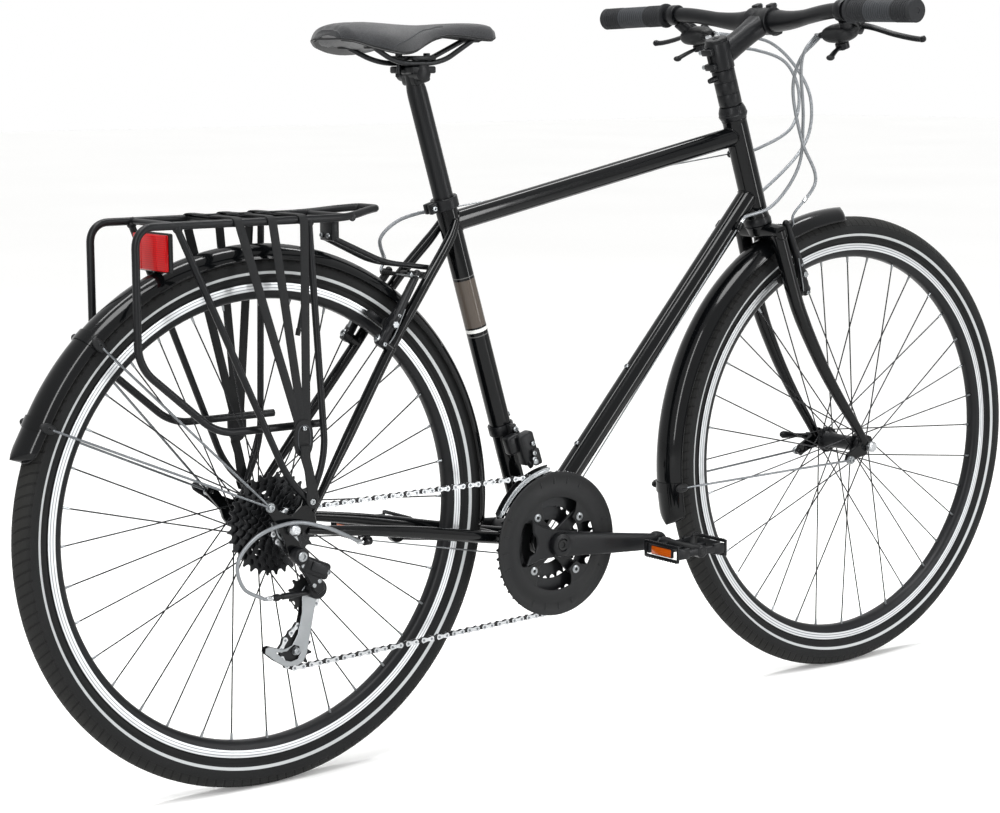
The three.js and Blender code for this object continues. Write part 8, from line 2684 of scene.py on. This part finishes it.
@dataclass(frozen=True)
class Cables:
    """Housings and bare cables."""

    port: Pair = (96.53, 249.0)

    def from_port(self, side: int, row: int) -> list[Triple]:
        """Gives the first two points of a housing at its control.

        Args:
            side: 1 for left and -1 for right.
            row: 1 for the port ahead and -1 for the one behind.

        Returns:
            The points.
        """
        return [steer(self.port[0] + 9 * row, side * y, self.port[1]) for y in (120.65, 114.0)]

    def ferrule(self, shape: Shape, at: Triple, run: Triple) -> None:
        """Adds the metal end of a housing.

        Args:
            shape: Shape that gets it.
            at: Where the housing ends.
            run: Direction back along the housing.
        """
        shape.turned([(2.4, 0), (3.1, 0.3), (3.1, 8), (2.7, 8.6)], SILVER, at, run, 16)

    def housing(self, name: str, node: str, points: Sequence[Triple], count: int = 90) -> None:
        """Makes a housing that crosses from the bar to the frame.

        Args:
            name: Name of the piece.
            node: CAD node that it replaces.
            points: Points of its route.
            count: Steps along it.
        """
        shape = Shape(name)
        path = [points[0]] + smooth_path(points[1:-1], count) + [points[-1]]
        shape.sweep(path, 2.5, SHEATH, 14)
        self.ferrule(shape, points[0], tuple(Vector(points[1]) - Vector(points[0])))
        self.ferrule(shape, points[-1], tuple(Vector(points[-2]) - Vector(points[-1])))
        made = shape.build("", node)
        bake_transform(made)

    def crossing(self) -> None:
        """Makes the three housings between the bar and the frame."""
        left_brake = [
            (900, 112, 956), (943, 90, 950), (976, 62, 932), (982, 38, 889), (957, 24, 837), (890, 23, 806)]
        left_shift = [
            (920, 110, 972), (968, 88, 962), (994, 60, 927), (1005, 36, 878), (989, 26, 816), (896, 24, 741)
        ]
        right_shift = [(850, -112, 950), (863, -90, 927), (905, -52, 846), (910, -38, 778), (868, -27, 722)]
        down = (Vector(steer(0, 0, 38)) - Vector((BRACKET[0], 0, BRACKET[1]))).normalized()
        self.housing("rear_brake_front_housing_sheath", "rear_brake_front_housing",
                     self.from_port(1, -1) + left_brake + [(850.6, 22, 798), (838.95, 22, 798)])
        for side, route, name in ((1, left_shift, "left"), (-1, right_shift, "right")):
            stop = Vector((BRACKET[0], side * 20.5, BRACKET[1])) + down * 556
            self.housing(
                f"{name}_shift_housing_sheath", f"{name}_shift_housing",
                self.from_port(side, side) + route + [tuple(stop + down * 24.7), tuple(stop + down * 12.35)]
            )

    def noodle(self, shape: Shape, held: Sequence[Triple], side: int, brake: Brake) -> None:
        """Adds a housing's last stretch and its guide pipe.

        Args:
            shape: Shape that gets them.
            held: Points of the housing before the guide pipe.
            side: Side of the arm that holds the pipe.
            brake: An arm, for its frame.
        """
        bend = [brake.at(25, side * y, h) for y, h in ((43, 114), (41, 103), (36.6, 98))]
        path = [held[0]] + smooth_path(list(held[1:]) + bend, 90)
        shape.sweep(path[:79], 2.5, SHEATH, 14)
        shape.sweep(path[78:], 1.9, WIRE, 14)
        self.ferrule(shape, path[79], tuple(Vector(path[75]) - Vector(path[79])))

    def fixed(self) -> None:
        """Makes the housings and cables that stay with one body."""
        front = Shape("front_brake_housing_sheath")
        arm = Brake("front", -1, 68, -273.65, 25.45)
        start = [steer(self.port[0] + 9, -y, self.port[1]) for y in (120.65, 114.0)]
        self.noodle(
            front,
            start + [(866, -112, 958), (862, -92, 940), (874, -62, 896), (903, -52, 817), (936, -48, 757)],
            -1, arm)
        self.ferrule(front, start[0], tuple(Vector(start[1]) - Vector(start[0])))
        front.build("steering", "front_brake_housing")
        rear = Shape("rear_brake_cable_and_housing")
        rear.rod((826.25, 22, 798), (300, 22, 736), 1.0, STEEL, 8)
        self.noodle(
            rear, [(300, 22, 736), (285, 23, 734.6), (270, 25, 733), (235, 30, 722), (212, 34, 700)], 1,
            Brake("rear", 1, 12.4, -276.8, 26.4))
        self.ferrule(rear, (300, 22, 736), (-1, 0.05, -0.08))
        rear.build("frame_body", "rear_brake_housing")
        loop = [
            (104, -63, 320), (78, -74, 333), (40, -82, 349), (-4, -83, 359), (-56, -81, 347),
            (-84, -80, 317), (-74, -76, 283), (-42, -73, 264)]
        shifting = Shape("derailleur_housing_sheath")
        path = [(114.65, -62, 317)] + smooth_path(loop, 90) + [(-30.35, -73, 264)]
        shifting.sweep(path, 2.5, SHEATH, 14)
        self.ferrule(shifting, path[0], (-1, 0, 0))
        self.ferrule(shifting, path[-1], (-1, 0, 0))
        shifting.build("frame_body", "derailleur_housing")
        bare = Shape("down_tube_cables_and_guide")
        down = (Vector(steer(0, 0, 38)) - Vector((BRACKET[0], 0, BRACKET[1]))).normalized()
        for side in (1, -1):
            stop = Vector((BRACKET[0], side * 20.5, BRACKET[1])) + down * 555.6
            bare.rod(tuple(stop), (440.2, side * 6, 249), 1.0, STEEL, 8)
        bare.rod((427.2, -6, 249), (127.35, -62, 317), 1.0, STEEL, 8)
        bare.box((433.7, 0, 249.1), (25, 23, 10.4), MATTE, bevel=2)
        bare.bolt((433.7, 0, 244.4), (0, 0, -1), 2.6, 1.4, STEEL)
        bare.build("frame_body", "down_tube_cables")

    def build(self) -> None:
        """Makes every cable."""
        self.crossing()
        self.fixed()


@dataclass(frozen=True)
class Studio:
    """Floor, backdrop, light and camera."""

    place: Triple = (-2.103, -2.609, 0.928)
    yaw: float = 53.04
    pitch: float = -8.1
    roll: float = -0.24
    lens: float = 86.15

    def camera(self) -> None:
        """Sets up the camera at the photograph's viewpoint."""
        data = bpy.data.cameras.new("photo_camera")
        data.lens = self.lens
        data.sensor_width = 36.0
        data.sensor_fit = "HORIZONTAL"
        data.clip_end = 60.0
        made = bpy.data.objects.new("photo_camera", data)
        bpy.context.scene.collection.objects.link(made)
        yaw, pitch, roll = math.radians(self.yaw), math.radians(self.pitch), math.radians(self.roll)
        ahead = Vector((math.cos(yaw) * math.cos(pitch), math.sin(yaw) * math.cos(pitch), math.sin(pitch)))
        right = Vector((math.sin(yaw), -math.cos(yaw), 0))
        up = right.cross(ahead)
        across = right * math.cos(roll) + up * math.sin(roll)
        top = up * math.cos(roll) - right * math.sin(roll)
        made.matrix_world = Matrix.Translation(self.place) @ Matrix(
            (across, top, -ahead)).transposed().to_4x4()
        bpy.context.scene.camera = made

    def ground(self) -> None:
        """Makes the pale floor, which shows as plain white where no shadow falls."""
        mesh = bpy.data.meshes.new("floor")
        part = bmesh.new()
        bmesh.ops.create_grid(part, x_segments=2, y_segments=2, size=30.0)
        part.to_mesh(mesh)
        part.free()
        floor = bpy.data.objects.new("studio_floor", mesh)
        bpy.context.scene.collection.objects.link(floor)
        graph = Graph("pale_studio_floor")
        cloud = graph.noise(0.6, 2.0)
        graph.set("Base Color", graph.mix(graph.ramp(cloud, 0.3, 0.7), linear("fafaf9"), linear("f6f6f5")))
        graph.set("Roughness", 0.9)
        graph.set("Emission Color", (1.0, 1.0, 1.0, 1.0))
        graph.set(
            "Emission Strength",
            graph.math("MULTIPLY", graph.add("ShaderNodeLightPath").outputs["Is Camera Ray"], 0.12))
        mesh.materials.append(graph.owner)

    def lamp(self, name: str, place: Triple, aim: Triple, size: Pair, power: float) -> None:
        """Adds a soft lamp.

        Args:
            name: Its name.
            place: Where it stands, in metres.
            aim: The point that it faces.
            size: Width and height in metres.
            power: Watts.
        """
        data = bpy.data.lights.new(name, "AREA")
        data.shape = "RECTANGLE"
        data.size, data.size_y = size
        data.energy = power
        made = bpy.data.objects.new(name, data)
        bpy.context.scene.collection.objects.link(made)
        turn = (Vector(place) - Vector(aim)).to_track_quat("Z", "Y").to_matrix().to_4x4()
        made.matrix_world = Matrix.Translation(place) @ turn

    def sky(self) -> None:
        """Sets up a plain pale world."""
        world = bpy.data.worlds.new("pale_world")
        bpy.context.scene.world = world
        world.use_nodes = True
        tree = world.node_tree
        tree.nodes.clear()
        out = tree.nodes.new("ShaderNodeOutputWorld")
        mix = tree.nodes.new("ShaderNodeMixShader")
        path = tree.nodes.new("ShaderNodeLightPath")
        lit = tree.nodes.new("ShaderNodeBackground")
        seen = tree.nodes.new("ShaderNodeBackground")
        lit.inputs["Color"].default_value = seen.inputs["Color"].default_value = (1.0, 1.0, 1.0, 1.0)
        lit.inputs["Strength"].default_value = 0.34
        seen.inputs["Strength"].default_value = 1.0
        either = tree.nodes.new("ShaderNodeMath")
        either.operation = "MAXIMUM"
        tree.links.new(path.outputs["Is Camera Ray"], either.inputs[0])
        tree.links.new(path.outputs["Is Glossy Ray"], either.inputs[1])
        any_of = tree.nodes.new("ShaderNodeMath")
        any_of.operation = "MAXIMUM"
        tree.links.new(either.outputs[0], any_of.inputs[0])
        tree.links.new(path.outputs["Is Transmission Ray"], any_of.inputs[1])
        tree.links.new(any_of.outputs[0], mix.inputs[0])
        tree.links.new(lit.outputs[0], mix.inputs[1])
        tree.links.new(seen.outputs[0], mix.inputs[2])
        tree.links.new(mix.outputs[0], out.inputs[0])

    def build(self) -> None:
        """Sets up the whole studio."""
        self.camera()
        self.ground()
        self.sky()
        sun = bpy.data.lights.new("even_light", "SUN")
        sun.energy = 1.9
        sun.angle = math.radians(24)
        made = bpy.data.objects.new("even_light", sun)
        bpy.context.scene.collection.objects.link(made)
        made.matrix_world = Vector((-0.25, -0.35, 1.0)).to_track_quat("Z", "Y").to_matrix().to_4x4()
        self.lamp("near_strip", (-2.6, -2.2, 1.9), (0, 0, 0.5), (0.35, 3.2), 64)
        self.lamp("far_strip", (1.6, -2.9, 1.5), (0, 0, 0.5), (0.3, 3.0), 52)
        self.lamp("top_strip", (0.0, 0.5, 2.9), (0, 0, 0.5), (3.4, 0.35), 62)
        bpy.context.scene.view_settings.view_transform = "Standard"


def main() -> None:
    """Builds every sub-assembly in order."""
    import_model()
    Studio().build()
    pins = chain_pins()
    Frame().build()
    headset()
    Seat().build()
    Fork().build()
    Wheel("rear", 0.0, 34, -20, 24, 67.5, REAR_OUTER, 140, REAR_SHELL, 76).build()
    Wheel("front", WHEELBASE, 34, -34, 20, 50, FRONT_OUTER, 172, FRONT_SHELL, 116).build()
    Drive().build(pins)
    Crankset().build(pins)
    Fender("rear", "frame_body", -5, 358, -8, 161.5, (133.5, 153.5), (-34, 76.95, 381)).build()
    Fender("front", "steering", 1042, 364, 91, 194, (185,), tuple(steer(23, 58.95, -400))).build()
    Rack().build()
    for side in (1, -1):
        Brake("front", side, 68, -273.65, 25.45).build()
        Brake("rear", side, 12.4, -276.8, 26.4).build()
    Cockpit().build()
    Cables().build()


if __name__ == "__main__":
    main()
